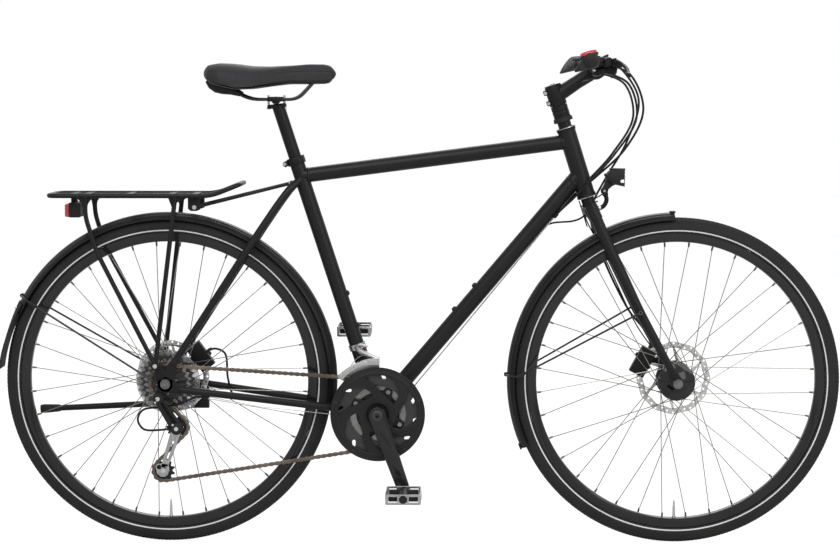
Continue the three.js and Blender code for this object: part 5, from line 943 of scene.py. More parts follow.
@dataclass
class Frame:
    """The welded frame with its fittings, the headset cups and the seat clamp."""

    seat_tube: float = 570.0
    seat_radius: float = 15.9
    top_radius: float = 15.9
    down_radius: float = 17.5
    head_radius: float = 19.0
    head_foot: float = 433.0
    head_length: float = 156.0
    stay_radius: float = 8.0
    dropout_y: float = 70.8
    stay_ys: tuple[float, ...] = (18.5, 25.0, 36.8, 53.0)
    stay_shares: tuple[float, ...] = (0.0, 0.11, 0.21, 0.6)
    boss_shares: Flat = (0.41, 0.51)
    boss_distances: Flat = (190.0, 262.0)
    stop_share: float = 0.84
    stop_length: float = 0.018
    top_tube_drop: float = 39.0
    top_tube_front_drop: float = 31.0
    down_tube_rise: float = 52.0
    shell_half: float = 34.0
    shell_radius: float = 21.0
    collar: float = 9.0
    bridge_reach: float = 371.0
    bridge_radius: float = 6.0
    dropout_thickness: float = 6.0

    @property
    def head_top(self) -> float:
        """Height of the head tube's top on the steering axis."""
        return self.head_foot + self.head_length

    def build(self) -> None:
        """Builds the frame and what is pressed or clamped on it."""
        hand_over(weld("frame_tubes", [self.tubes(), self.dropouts(), self.bosses(), self.seams()]),
                  FRAME_BLACK, "frame", "frame")
        self.headset()
        self.seat_clamp()
        self.bracket_cups()
        self.small_screws()

    def down_tube(self, share: float, up: float = 0.0, y: float = 0.0) -> Point:
        """Point on the down tube, raised across it and sideways."""
        end = on_steering(0, 0, self.head_foot + self.down_tube_rise)
        length = math.dist(BRACKET, end)
        run = ((end[0] - BRACKET[0]) / length, (end[2] - BRACKET[2]) / length)
        middle = between(BRACKET, end, share)
        return (middle[0] - run[1] * up, y, middle[2] + run[0] * up)

    def seat_stay(self, side: int) -> list[Point]:
        """The line of one seat stay."""
        top = on_seat_tube(self.seat_tube - 52)
        return [(top[0] - 8, side * 10, top[2] + 3), (top[0] - 32, side * 27, top[2] - 21),
                (16, side * self.dropout_y, AXLE_HEIGHT + 42)]

    def carrier_boss(self, side: int) -> Point:
        """Where the carrier's strut meets one seat stay."""
        stay = smooth_route(self.seat_stay(side), steps=CARRIER_BOSS_STEPS)
        return stay[int(CARRIER_BOSS_SHARE * (len(stay) - 1))]

    def chain_stay(self, side: int) -> list[Point]:
        """The line of one chain stay."""
        start, foot = (BRACKET[0] - 10, 0, BRACKET[2]), (30, 0, AXLE_HEIGHT - 12)
        points = []
        for share, y in zip(self.stay_shares, self.stay_ys):
            x, _, z = between(start, foot, share)
            points.append((x, side * y, z))
        return [*points, (foot[0], side * self.dropout_y, foot[2])]

    def tubes(self) -> Solid:
        """The main tubes, the bracket shell, the stays and their bridges."""
        top_rear, top_front = on_seat_tube(self.seat_tube - self.top_tube_drop), on_steering(0, 0,
                self.head_top - self.top_tube_front_drop)
        runs = [even([on_seat_tube(0), on_seat_tube(self.seat_tube)], self.seat_radius),
                even([on_steering(0, 0, self.head_foot), on_steering(0, 0, self.head_top)],
                     self.head_radius), even([top_rear, top_front], self.top_radius),
                even([BRACKET, self.down_tube(1)], self.down_radius),
                even([(BRACKET[0], side * self.shell_half, BRACKET[2]) for side in BOTH_SIDES],
                     self.shell_radius), ]
        for low in (self.head_foot, self.head_top - self.collar):
            runs.append(even([on_steering(0, 0, low + 0.1), on_steering(0, 0, low + self.collar)],
                             self.head_radius + 0.9))
        for side in BOTH_SIDES:
            seat = smooth_route(self.seat_stay(side), steps=10)
            runs.append([(p, self.stay_radius * (1 - 0.16 * max(0, i / len(seat) - 0.5)))
                         for i, p in enumerate(seat)])
            runs.append([(seat[0], 7.9),
                         (between(seat[0], on_seat_tube(self.seat_tube - 44, side * 10), 0.9), 6.2)])
            chain = smooth_route(self.chain_stay(side), steps=8)
            runs.append([(p, self.stay_radius * (1.0 - 0.2 * max(0, i / len(chain) - 0.6)))
                         for i, p in enumerate(chain)])
        for route in (self.seat_stay(LEFT_SIDE), self.chain_stay(LEFT_SIDE)):
            fine = smooth_route(route, steps=100)
            x, y, z = min(fine, key=lambda p: abs(math.hypot(p[0], p[2] - AXLE_HEIGHT) - self.bridge_reach))
            runs.append(even([(x, -y, z), (x, y, z)], self.bridge_radius))
        return tubing("tubes", runs, WHOLE, sides=32)

    def dropouts(self) -> Solid:
        """The plates that hold the rear axle, with hanger, brake tab and eyelets."""
        shapes = []
        centre = (0, AXLE_HEIGHT)
        for side in BOTH_SIDES:
            arms = [((16, AXLE_HEIGHT + 42), 8.5), ((30, AXLE_HEIGHT - 12), 8.5),
                    ((-19, AXLE_HEIGHT + 40), 6)]
            arms.append(((-14, AXLE_HEIGHT - 29), 8) if side == DRIVE_SIDE else ((64, AXLE_HEIGHT + 46), 8))
            for end, radius in arms:
                outline = link_outline(centre, 16.5, end, radius)
                shapes.append(plate("arm", [outline], thickness=self.dropout_thickness,
                                    place=placed((0, side * self.dropout_y, 0)), edge=0.7))
        return weld("dropouts", shapes)

    def bosses(self) -> Solid:
        """Bottle cage bosses, cable stops and carrier bosses."""
        runs = []
        for share in self.boss_shares:
            base = self.down_tube(share, self.down_radius - 2)
            top = self.down_tube(share, self.down_radius + 3)
            runs.append([(base, 7.5), (between(base, top, 0.5), 6), (top, 5.5)])
        for y in (-STOP_Y, STOP_Y):
            low = self.down_tube(self.stop_share, STOP_DROP, y)
            high = self.down_tube(self.stop_share + self.stop_length, STOP_DROP, y)
            runs.append([(low, 2.6), (between(low, high, 0.25), 3.6), (high, 3.6)])
        runs.append([((80, -62, 322), 3.6), ((89, -62, 322), 3.6), ((92, -62, 322), 2.6)])
        for side in BOTH_SIDES:
            x, y, z = self.carrier_boss(side)
            runs.append([((x, y, z), 6), ((x - 13, y, z), 5.6)])
        for distance in self.boss_distances:
            x, _, z = on_seat_tube(distance)
            runs.append([((x + 12, 0, z + 4), 7), ((x + 17, 0, z + 5.6), 5.5)])
        return tubing("bosses", runs, WHOLE, sides=20)

    def seams(self) -> Solid:
        """The fillet beads where the tubes meet."""
        shapes = []
        tilt = math.atan2(on_steering(0, 0, 500)[2] - BRACKET[2], on_steering(0, 0, 500)[0] - BRACKET[0])
        joints = [(on_seat_tube(self.seat_tube - self.top_tube_drop), self.top_radius, 15.5, 0.085),
                  (on_steering(0, 0, self.head_top - self.top_tube_front_drop), self.top_radius, -18.5,
                   0.085), (self.down_tube(1), self.down_radius, -22.5, tilt),
                  (BRACKET, self.down_radius, 22.5, tilt)]
        for middle, radius, away, lean in joints:
            profile = [(radius - 1, -2.2), (radius + 0.5, -2), (radius + 1.5, 0), (radius + 0.5, 2),
                       (radius - 1, 2.2)]
            along = Matrix.Rotation(-lean, 4, "Y") @ Matrix.Translation((away * MM, 0,
                    0)) @ Matrix.Rotation(math.pi / 2, 4, "Z")
            shapes.append(lathe("bead", profile, placed(middle, along), steps=48))
        return weld("beads", shapes)

    def headset(self) -> None:
        """The two headset cups with their bright rings."""
        upright = Matrix.Rotation(math.pi / 2, 4, "X")
        for node, end, way in (("headset_upper_cup", self.head_top, 1),
                               ("headset_lower_cup", self.head_foot, -1)):
            profile = [(15, way * 0.3), (20.5, way * 0.3), (21, way * 2), (20.5, way * 6), (19, way * 9),
                       (18.2, way * 12.7), (15, way * 12.7)]
            place = STEERED @ Matrix.Translation((0, 0, end)) @ upright.inverted()
            hand_over(lathe(f"{node}_shell", profile, place, steps=56), ALLOY_BLACK, "frame", node)
            ring = [(18, way * 0.4), (21.2, way * 0.5), (21.3, way * 1.5), (18, way * 1.5)]
            hand_over(lathe(f"{node}_ring", ring, place, steps=56), STEEL, "frame")
        top = self.head_top + 13.3
        cap = stepped((0, 0, 0), UP, ((top, 20.6), (top + 5, 20.8), (top + 9, 19.4), (602, 17.8)))
        hand_over(tubing("headset_cap", [cap], STEERED, sides=56), PLASTIC_BLACK, "steering")

    def seat_clamp(self) -> None:
        """The clamp at the seat tube's top, with its bolt."""
        clamp = copy_of("seat_clamp", "seat_clamp_band", edge=0.9, segments=3)
        hand_over(clamp, ALLOY_BLACK, "frame", "seat_clamp")
        x, _, z = on_seat_tube(self.seat_tube - 5)
        x, z = x - 24, z - 7
        bolt = stepped((x, 0, z), TO_LEFT, ((-15.2, 3.6), (-13.4, 4.2), (13.4, 4.2), (15.2, 3.6)))
        hand_over(tubing("seat_clamp_bolt", [bolt], WHOLE, sides=16), STEEL, "frame")

    def bracket_cups(self) -> None:
        """The bottom bracket's cups."""
        shapes = []
        for side in BOTH_SIDES:
            profile = [(9.2, side * 34.4), (20, side * 34.4), (20, side * 36.6), (17, side * 38.2),
                       (9.2, side * 38.2)]
            shapes.append(lathe("cup", profile, placed(BRACKET), steps=16))
        hand_over(weld("bottom_bracket_cups", shapes), DARK_STEEL, "frame", "bottom_bracket")

    def small_screws(self) -> None:
        """Bright screws in the bottle cage and carrier bosses."""
        runs = []
        for share in self.boss_shares:
            runs.append([(self.down_tube(share, self.down_radius + 2), 4.2),
                         (self.down_tube(share, self.down_radius + 4.6), 3.9)])
        for distance in self.boss_distances:
            x, _, z = on_seat_tube(distance)
            runs.append([((x + 16, 0, z + 5.2), 4.2), ((x + 19, 0, z + 6.2), 3.9)])
        hand_over(tubing("boss_screws", runs, WHOLE, sides=16), DARK_STEEL, "frame")


def bump(value: np.ndarray, middle: float, width: float) -> np.ndarray:
    """A bell-shaped rise of height 1 about a middle."""
    return np.exp(-(((value - middle) / width) ** 2))


def rounded_ends(share: np.ndarray, part: float) -> np.ndarray:
    """The factor that closes a form at both ends like a quarter of an ellipse.

    Args:
        share: Shares of the length.
        part: The share in which an end closes.
    Returns:
        1 in the middle, falling to almost 0 at the ends.
    """
    end = np.clip(np.minimum(share, 1 - share) / part, 0, 1)
    return np.sqrt(np.clip(1 - (1 - end) ** 2, 0.002, 1))


@dataclass
class Seat:
    """The seatpost, the rails and shell, and the padded cover."""

    top: float = 1031.0
    skirt: float = 976.0
    rear: float = 80.0
    length: float = 281.0
    width: float = 168.0
    shell: float = 8.0
    rail_height: float = 702.0
    rail_radius: float = 3.5
    rail_bend: float = 18.0
    post_radius: float = 13.5
    channel_depth: float = 4.2
    channel_width: float = 9.0
    pad_rise: float = 2.2
    seam_depth: float = 1.6
    rail_spread: float = 22.0
    rail_tail: Flat = (26.0, 24.0)
    tail_housing: Sequence[Point] = (
        (8, 992, 4), (18, 986, 11), (30, 981, 14.5), (46, 977, 14), (62, 971, 9), (80, 963, 4.6))
    tail_y: float = 25.0
    pad_place: Flat = (0.2, 0.55)
    shares: tuple[float, ...] = (0, 0.04, 0.13, 0.25, 0.38, 0.52, 0.66, 0.8, 0.92, 0.98, 1)
    halves: tuple[float, ...] = (0.42, 0.78, 0.97, 1, 0.86, 0.58, 0.38, 0.29, 0.25, 0.2, 0.1)
    rises: tuple[float, ...] = (0.5, 0.84, 0.97, 0.95, 0.86, 0.82, 0.86, 0.95, 0.9, 0.7, 0.38)
    skirts: tuple[float, ...] = (18, 14, 4, -7, -5, 4, 11, 11, 12, 15, 18)

    def build(self) -> None:
        """Builds the seat from the post up."""
        self.post()
        self.base()
        self.cover()

    def post(self) -> None:
        """The seatpost and its two-bolt head."""
        foot, head = on_seat_tube(420), on_seat_tube(self.rail_height - 15)
        tube = tubing("post", [even([foot, head], self.post_radius)], WHOLE, sides=40)
        x, _, z = on_seat_tube(self.rail_height)
        lower = block("lower", (x + 2, 0, z - 14), (40, 26, 9), WHOLE, edge=3, turn=-0.12)
        neck = tubing("neck",
                      [[(on_seat_tube(self.rail_height - 34), 13.5),
                        (on_seat_tube(self.rail_height - 20), 12.5),
                        (on_seat_tube(self.rail_height - 12), 11)]], WHOLE, sides=40)
        hand_over(weld("seatpost_tube", [tube, lower, neck]), ALLOY_BLACK, "seatpost", "seatpost")
        bolts = []
        for ahead in (-16, 18):
            bolts.append(stepped((x + ahead, 0, z), UP, ((-21, 4.4), (-17, 4.4), (-16.9, 2.5), (9, 2.5))))
        hand_over(tubing("seatpost_bolts", bolts, WHOLE, sides=14), STEEL, "seatpost")

    def outline(self, share: np.ndarray) -> tuple[np.ndarray, np.ndarray, np.ndarray]:
        """Half width, rise and skirt height along the saddle.

        Args:
            share: Shares of the length from the rear.
        Returns:
            The three values at each share.
        """
        grid = np.linspace(0, 1, 201)
        kernel = np.hanning(19) / np.hanning(19).sum()
        values = []
        for row in (self.halves, self.rises, self.skirts):
            raw = np.interp(grid, self.shares, row)
            padded = np.concatenate([np.full(9, raw[0]), raw, np.full(9, raw[-1])])
            values.append(np.interp(share, grid, np.convolve(padded, kernel, "valid")))
        return values[0] * self.width / 2, values[1], values[2]

    def cover(self) -> None:
        """The padded cover: a crowned form with a centre channel, raised pads and a rolled edge."""
        base = self.skirt + self.shell + 0.3

        def form(u: np.ndarray, v: np.ndarray) -> np.ndarray:
            """The cover's closed surface.

            Args:
                u: Share round the section.
                v: Share along the saddle.
            Returns:
                The points.
            """
            along = 0.5 - 0.5 * np.cos(np.pi * np.clip(v, 0, 1))
            close = rounded_ends(along, 0.05)
            half, rise, skirt = self.outline(along)
            angle = u * TURN
            across, up = np.cos(angle), np.sin(angle)
            top = up >= 0
            width = half * np.sign(across) * np.abs(across) ** 0.75
            height = (self.top - base - skirt) * rise
            inside = np.clip(np.sin(np.pi * along) * 1.3 - 0.2, 0, 1)
            channel = self.channel_depth * bump(across * half, 0, self.channel_width) * inside
            behind, aside = self.pad_place
            pads = self.pad_rise * bump(np.abs(across), aside, 0.22) * bump(along, behind, 0.16)
            z_top = base + skirt + (height - channel + pads) * np.abs(up) ** 0.62
            z_low = base + skirt - np.minimum(skirt * 0.75 + 3, 12) * np.abs(up) ** 0.5 * 0.55
            seam = -self.seam_depth * bump(np.abs(up), 0.3, 0.045) * top
            z = np.where(top, z_top, z_low)
            x = self.rear + along * self.length
            middle = base + skirt + 0.4 * height
            return np.stack([x, (width + seam * np.sign(across)) * close, middle + (z - middle) * close], 1)

        cover = skin("saddle_cover_pad", (96, 120), form, WHOLE)
        fill_ends(cover)
        hand_over(cover, SADDLE_GREY, "saddle", "saddle_cover")

    def base(self) -> None:
        """The shell under the cover, the two rails and their clamp."""

        def form(u: np.ndarray, v: np.ndarray) -> np.ndarray:
            """The shell's closed surface.

            Args:
                u: Share round the section.
                v: Share along the shell.
            Returns:
                The points.
            """
            along = 0.03 + v * 0.94
            half, _, skirt = self.outline(along)
            close = rounded_ends(v, 0.06)
            angle = u * TURN
            across, up = np.cos(angle), np.sin(angle)
            lowest = np.minimum(skirt * 0.8, 14)
            z = self.skirt + self.shell + skirt * 0.8 + up * (3.5 + lowest * 0.2) * close - 3
            return np.stack([self.rear + along * self.length,
                             half * 0.9 * np.sign(across) * np.abs(across) ** 0.6 * close, z], 1)

        shell = skin("saddle_shell", (32, 48), form, WHOLE)
        fill_ends(shell)
        hand_over(shell, PLASTIC_BLACK, "saddle", "saddle_base")
        centre = on_seat_tube(self.rail_height)
        rails = []
        for side in BOTH_SIDES:
            x, y = self.rail_tail
            corners = [(self.rear + x, side * y, self.skirt + 12),
                       (centre[0] - 52, side * self.rail_spread, centre[2]),
                       (centre[0] + 46, side * self.rail_spread, centre[2]),
                       (self.rear + 0.86 * self.length, side * 8, self.skirt + 22)]
            rails.append(even(rounded_route(corners, bend=self.rail_bend, steps=8), self.rail_radius))
        hand_over(tubing("saddle_rails", rails, WHOLE, sides=16), GLOSS_BLACK, "saddle")
        pods = []
        for side in BOTH_SIDES:
            pods.append([((self.rear + x, side * self.tail_y, z), radius) for x, z,
                         radius in self.tail_housing])
        hand_over(tubing("saddle_tail", pods, WHOLE, sides=32), PLASTIC_BLACK, "saddle")
        cradle = block("cradle", (centre[0], 0, centre[2] + 0.5), (34, 58, 10), WHOLE, edge=3)
        roll = tubing("roll", [even([(centre[0], -26, centre[2] - 2), (centre[0], 26, centre[2] - 2)], 8)],
                      WHOLE, sides=24)
        hand_over(weld("rail_clamp", [cradle, roll]), ALLOY_BLACK, "saddle")


RING_TEETH = (48, 36, 26)
RING_YS = (-52.5, -45.1, -37.7)
SPROCKET_TEETH = (11, 12, 14, 16, 18, 21, 24, 28, 32)
SPROCKET_START = -62.5
SPROCKET_STEP = 4.35
CHAIN_PITCH = 12.7
CHAIN_Y = SPROCKET_START + 4 * SPROCKET_STEP
GUIDE_PULLEY: Flat = (22.0, 255.0)
TENSION_PULLEY: Flat = (-9.0, 161.0)
CRANKED = placed(BRACKET, turned_y(-CRANK_TILT))


def pitch_radius(teeth: int) -> float:
    """Radius at which the chain lies on a toothed wheel."""
    return CHAIN_PITCH / (2 * math.sin(math.pi / teeth))


def teeth_outline(teeth: int, rise: float = 2.6, root: float = 3.9) -> list[Flat]:
    """Outline of a toothed wheel, six points to each tooth."""
    radius = pitch_radius(teeth)
    steps = ((0.0, -root), (0.17, -root * 0.72), (0.3, -0.2), (0.42, rise), (0.58, rise), (0.7, -0.2),
             (0.83, -root * 0.72))
    return [on_circle(radius + out, TURN * (i + s) / teeth)[::2] for i in range(teeth) for s, out in steps]


@dataclass
class Cranks:
    """The chain rings, their guard, both crank arms and both pedals."""

    length: float = 170.0
    arm_y: float = 74.0
    arm_thickness: float = 13.0
    guard_radius: float = 101.0
    guard_y: float = -58.75
    pedal_start: float = 9.5
    pedal_length: float = 96.0
    pedal_width: float = 76.0
    ring_thickness: float = 2.0
    ring_inners: tuple[float, ...] = (60.0, 46.0, 27.0)
    slot_count: int = 12
    slot_ends_at: Flat = (78.0, 84.0)
    slot_radii: Flat = (3.6, 3.0)
    slot_slant: float = 0.06
    spider_arms: int = 4
    spider_y: float = -48.8
    guard_arms: int = 5
    window_low: float = 40.0
    window_middle: float = 52.0
    window_high: float = 86.0
    window_steps: int = 12
    window_lead: float = 0.22
    window_tail: float = 0.1
    window_sweep: float = math.radians(40)
    window_width: float = math.radians(52)
    window_return: float = math.radians(16)
    cage_teeth: int = 9

    def build(self) -> None:
        """Builds the rings first, then what turns with them."""
        self.rings()
        self.guard()
        self.arms()
        for side in BOTH_SIDES:
            self.pedal(side)

    def at(self, y: float) -> Matrix:
        """A plane beside the bracket, turned with the crank."""
        return CRANKED @ Matrix.Translation((0, y, 0))

    def rings(self) -> None:
        """Three toothed rings with lightening holes, on the spider's arms."""
        for teeth, y, inner, finish in zip(RING_TEETH, RING_YS, self.ring_inners,
                                           (DARK_STEEL, TOOTH_STEEL, DARK_STEEL)):
            holes = [ring_outline(inner, count=72)]
            if teeth == RING_TEETH[0]:
                holes += [link_outline(*self.slot_ends(i), 6) for i in range(self.slot_count)]
            ring = plate(f"chainring_{teeth}", [teeth_outline(teeth), *holes],
                         thickness=self.ring_thickness, place=self.at(y), edge=0.3)
            hand_over(ring, finish, "crank", *(("chainrings",) if teeth == RING_TEETH[0] else ()))
        arms = []
        for i in range(self.spider_arms):
            x, _, z = on_circle(56, TURN * (i + 0.5) / self.spider_arms)
            arms.append(plate("arm", [link_outline((0, 0), 24, (x, z), 8)], thickness=5,
                              place=self.at(self.spider_y), edge=1))
        hub = lathe("hub", [(14.5, -52), (30, -52), (30, -45), (26, -40), (14.5, -39.6)], CRANKED, steps=64)
        hand_over(weld("ring_spider", [hub, *arms]), ALLOY_BLACK, "crank")
        bolts = []
        for i in range(self.spider_arms):
            x, _, z = on_circle(52, TURN * (i + 0.5) / self.spider_arms)
            bolts.append(even([(x, -55, z), (x, -37, z)], 4.6))
        hand_over(tubing("ring_bolts", bolts, CRANKED, sides=16), TOOTH_STEEL, "crank")

    def slot_ends(self, index: int) -> tuple[Flat, float, Flat, float]:
        """The two ends of one lightening slot, as a link's values."""
        angle = TURN * index / self.slot_count
        start = on_circle(self.slot_ends_at[0], angle)
        end = on_circle(self.slot_ends_at[1], angle + self.slot_slant)
        return start[::2], self.slot_radii[0], end[::2], self.slot_radii[1]

    def guard(self) -> None:
        """The chain guard: a dished rim on five swept arms with open windows between them."""
        windows = []
        steps = self.window_steps
        for i in range(self.guard_arms):
            start = TURN * i / self.guard_arms
            edge: list[Flat] = []
            for k in range(steps + 1):
                radius = self.window_low + (self.window_high - self.window_low) * k / steps
                angle = start + self.window_lead + self.window_sweep * (k / steps) ** 1.6
                edge.append(on_circle(radius, angle)[::2])
            for k in range(1, steps):
                angle = start + self.window_lead + self.window_sweep + (self.window_width - 0.12) * k / steps
                edge.append(on_circle(self.window_high, angle)[::2])
            for k in range(steps + 1):
                share = 1 - k / steps
                radius = self.window_middle + (self.window_high - self.window_middle) * share
                back = self.window_return * share - 0.18 * (1 - share)
                edge.append(on_circle(radius, start + self.window_tail + TURN / self.guard_arms + back)[::2])
            windows.append(edge)
        face = plate("face", [ring_outline(self.guard_radius - 0.6, count=128), ring_outline(24, count=48),
                              *windows], thickness=2.4, place=self.at(self.guard_y), edge=0.5)
        lip = [(self.guard_radius - 6, -1.3), (self.guard_radius - 1, -1.2), (self.guard_radius, 0),
               (self.guard_radius - 0.4, 2.2), (self.guard_radius - 1.8, 2.4),
               (self.guard_radius - 2.2, 0.8)]
        rim = lathe("rim", lip, self.at(self.guard_y), steps=128)
        step = [(84, -1.25), (86.5, -2.1), (89, -2.1), (91, -1.25), (88, -0.4)]
        ridge = lathe("ridge", step, self.at(self.guard_y), steps=128)
        hand_over(weld("chain_guard_shell", [face, rim, ridge]), PLASTIC_BLACK, "crank", "chain_guard")
        screws = []
        for i in range(self.guard_arms):
            x, _, z = on_circle(93, TURN * i / self.guard_arms)
            screws.append(stepped((x, self.guard_y, z), TO_LEFT, ((-1.9, 3.3), (5, 3.3))))
        hand_over(tubing("guard_screws", screws, CRANKED, sides=12), GLOSS_BLACK, "crank")

    def arms(self) -> None:
        """Both crank arms, each squarish with a bright bolt and an axle for its pedal."""
        for side, node in ((DRIVE_SIDE, "right_crank"), (LEFT_SIDE, "left_crank")):
            arm = plate("arm", [link_outline((0, 0), 18.5, (0, side * self.length), 13.5, steps=20)],
                        thickness=self.arm_thickness, place=self.at(side * self.arm_y), edge=2.6)
            inner = 38.9 if side == LEFT_SIDE else 39.0
            boss = lathe("boss", [(0, side * inner), (13.6, side * inner), (13.6, side * self.arm_y),
                                  (0, side * self.arm_y)], CRANKED, steps=48)
            rib = block("rib", (0, side * (self.arm_y + 6.2), side * 0.5 * self.length),
                        (11, 1.6, self.length * 0.62), CRANKED, edge=0.7)
            hand_over(weld(f"{node}_arm", [arm, boss, rib]), GLOSS_BLACK, "crank", node)
            face = side * (self.arm_y + self.arm_thickness / 2)
            cap = lathe("cap", [(4, face), (11, face), (11.4, face + side * 1), (10, face + side * 2),
                                (4.6, face + side * 2), (4, face - side * 3), (0, face - side * 3),
                                (0, face)], CRANKED, steps=40)
            hand_over(weld(f"{node}_bolt", [cap]), DARK_STEEL, "crank")
            z = side * self.length
            end = side * (self.arm_y + self.pedal_start + self.pedal_length)
            out = side * face
            axle = stepped((0, 0, z), (0, side, 0),
                           ((self.arm_y - 5, 7), (out + 0.4, 7), (out + 0.5, 8.2), (out + 2.6, 8.2),
                            (out + 2.7, 5), (side * end, 5)))
            hand_over(tubing(f"{node}_pedal_axle", [axle], CRANKED, sides=16), STEEL, "crank")

    def pedal(self, side: int) -> None:
        """One cage pedal with toothed plates, a barrel and reflectors.

        Args:
            side: Which side of the bicycle it is on.
        """
        hand = "right" if side == DRIVE_SIDE else "left"
        x = BRACKET[0] - side * self.length * math.sin(CRANK_TILT)
        z = BRACKET[2] + side * self.length * math.cos(CRANK_TILT)
        place = placed((x, side * self.arm_y, z))
        start, end = side * self.pedal_start, side * (self.pedal_start + self.pedal_length)
        middle = (start + end) / 2
        barrel = lathe("barrel", [(5.4, start), (9, start), (11, start + side * 6),
                                  (8.6, start + side * 14), (8.6, end - side * 14), (10.6, end - side * 8),
                                  (10.6, end - side * 2), (5.4, end)], place, steps=32)
        body = [barrel]
        for share in (0.12, 0.88):
            y = start + (end - start) * share
            body.append(block("web", (0, y, 0), (self.pedal_width - 14, 9, 11), place, edge=2))
        hand_over(weld(f"pedal_{hand}_body", body), PLASTIC_BLACK, f"pedal_{hand}", f"pedal_{hand}")
        cages = []
        for ahead in (-1, 1):
            edge: list[Flat] = []
            for i in range(self.cage_teeth + 1):
                y = -self.pedal_length / 2 + self.pedal_length * i / self.cage_teeth
                edge.append((y, 11 if i % 2 else 8.2))
            edge += [(y, -up) for y, up in reversed(edge)]
            cage = plate("cage", [edge], thickness=2, place=WHOLE, edge=0.3)
            cage.data.transform(WHOLE.inverted())
            turn = Matrix.Translation((ahead * (self.pedal_width / 2 - 2), middle,
                                       0)) @ Matrix.Rotation(math.pi / 2, 4, "Z")
            settle(cage, "cage", place @ turn)
            cages.append(cage)
        for y in (start + side * 1.2, end - side * 1.2):
            half, hole = self.pedal_width / 2 - 1, ring_outline(8.6, count=24)
            border = [(-half, -9), (-half + 2, -11), (half - 2, -11), (half, -9), (half, 9), (half - 2, 11),
                      (-half + 2, 11), (-half, 9)]
            gaps = [[(way * 12, -6), (way * (half - 6), -6), (way * (half - 6), 6), (way * 12, 6)]
                    for way in (-1, 1)]
            cages.append(plate("end", [border, hole, *gaps], thickness=2,
                               place=place @ Matrix.Translation((0, y, 0)), edge=0.3))
        hand_over(weld(f"pedal_{hand}_cage", cages), CAGE_GREY, f"pedal_{hand}")
        glass = [block("glass", (ahead * (self.pedal_width / 2 - 0.6), middle, 0), (1.4, 44, 10), place,
                       edge=0.4) for ahead in (-1, 1)]
        hand_over(weld(f"pedal_{hand}_reflectors", glass), AMBER_LENS, f"pedal_{hand}")
        cap = lathe("cap", [(0, end + side * 0.2), (7.5, end + side * 0.2), (8, end - side * 1.5),
                            (5.4, end - side * 2), (0, end - side * 2)], place, steps=24)
        hand_over(weld(f"pedal_{hand}_cap", [cap]), PLASTIC_BLACK, f"pedal_{hand}")


@dataclass
class Cassette:
    """Nine sprockets with their spacers, lock ring and carrier."""

    def build(self) -> None:
        """Builds the sprockets, the spacers between them and the lock ring."""
        bright, dark = [], []
        for i, teeth in enumerate(SPROCKET_TEETH):
            y = SPROCKET_START + i * SPROCKET_STEP
            holes = [ring_outline(16.5, count=32)]
            if teeth >= 21:
                reach = pitch_radius(teeth) - 12
                for k in range(8):
                    x, _, z = on_circle((reach + 20) / 2 + 1, TURN * (k + 0.35 * i) / 8)
                    holes.append(ring_outline((reach - 20) / 2 + 1.5, count=16, middle=(x, z)))
            place = placed((0, y, AXLE_HEIGHT))
            (bright if i in (0, 6, 8) else dark).append(plate("sprocket", [teeth_outline(teeth), *holes],
                    thickness=1.7, place=place, edge=0.25))
        hand_over(weld("sprockets_dark", dark), DARK_STEEL, "cassette", "cassette")
        hand_over(weld("sprockets_bright", bright), TOOTH_STEEL, "cassette")
        place = placed((0, 0, AXLE_HEIGHT))
        spacers = lathe("sprocket_spacers", [(16, -62), (18.6, -62), (18.6, -30), (16, -30)], place, steps=40)
        hand_over(spacers, ALLOY_BLACK, "cassette")
        ring = lathe("lock_ring", [(11.6, -64.6), (18, -64.4), (18.4, -63.6), (16, -63.2), (11.6, -63.2)],
                     place, steps=24)
        hand_over(ring, STEEL, "cassette")


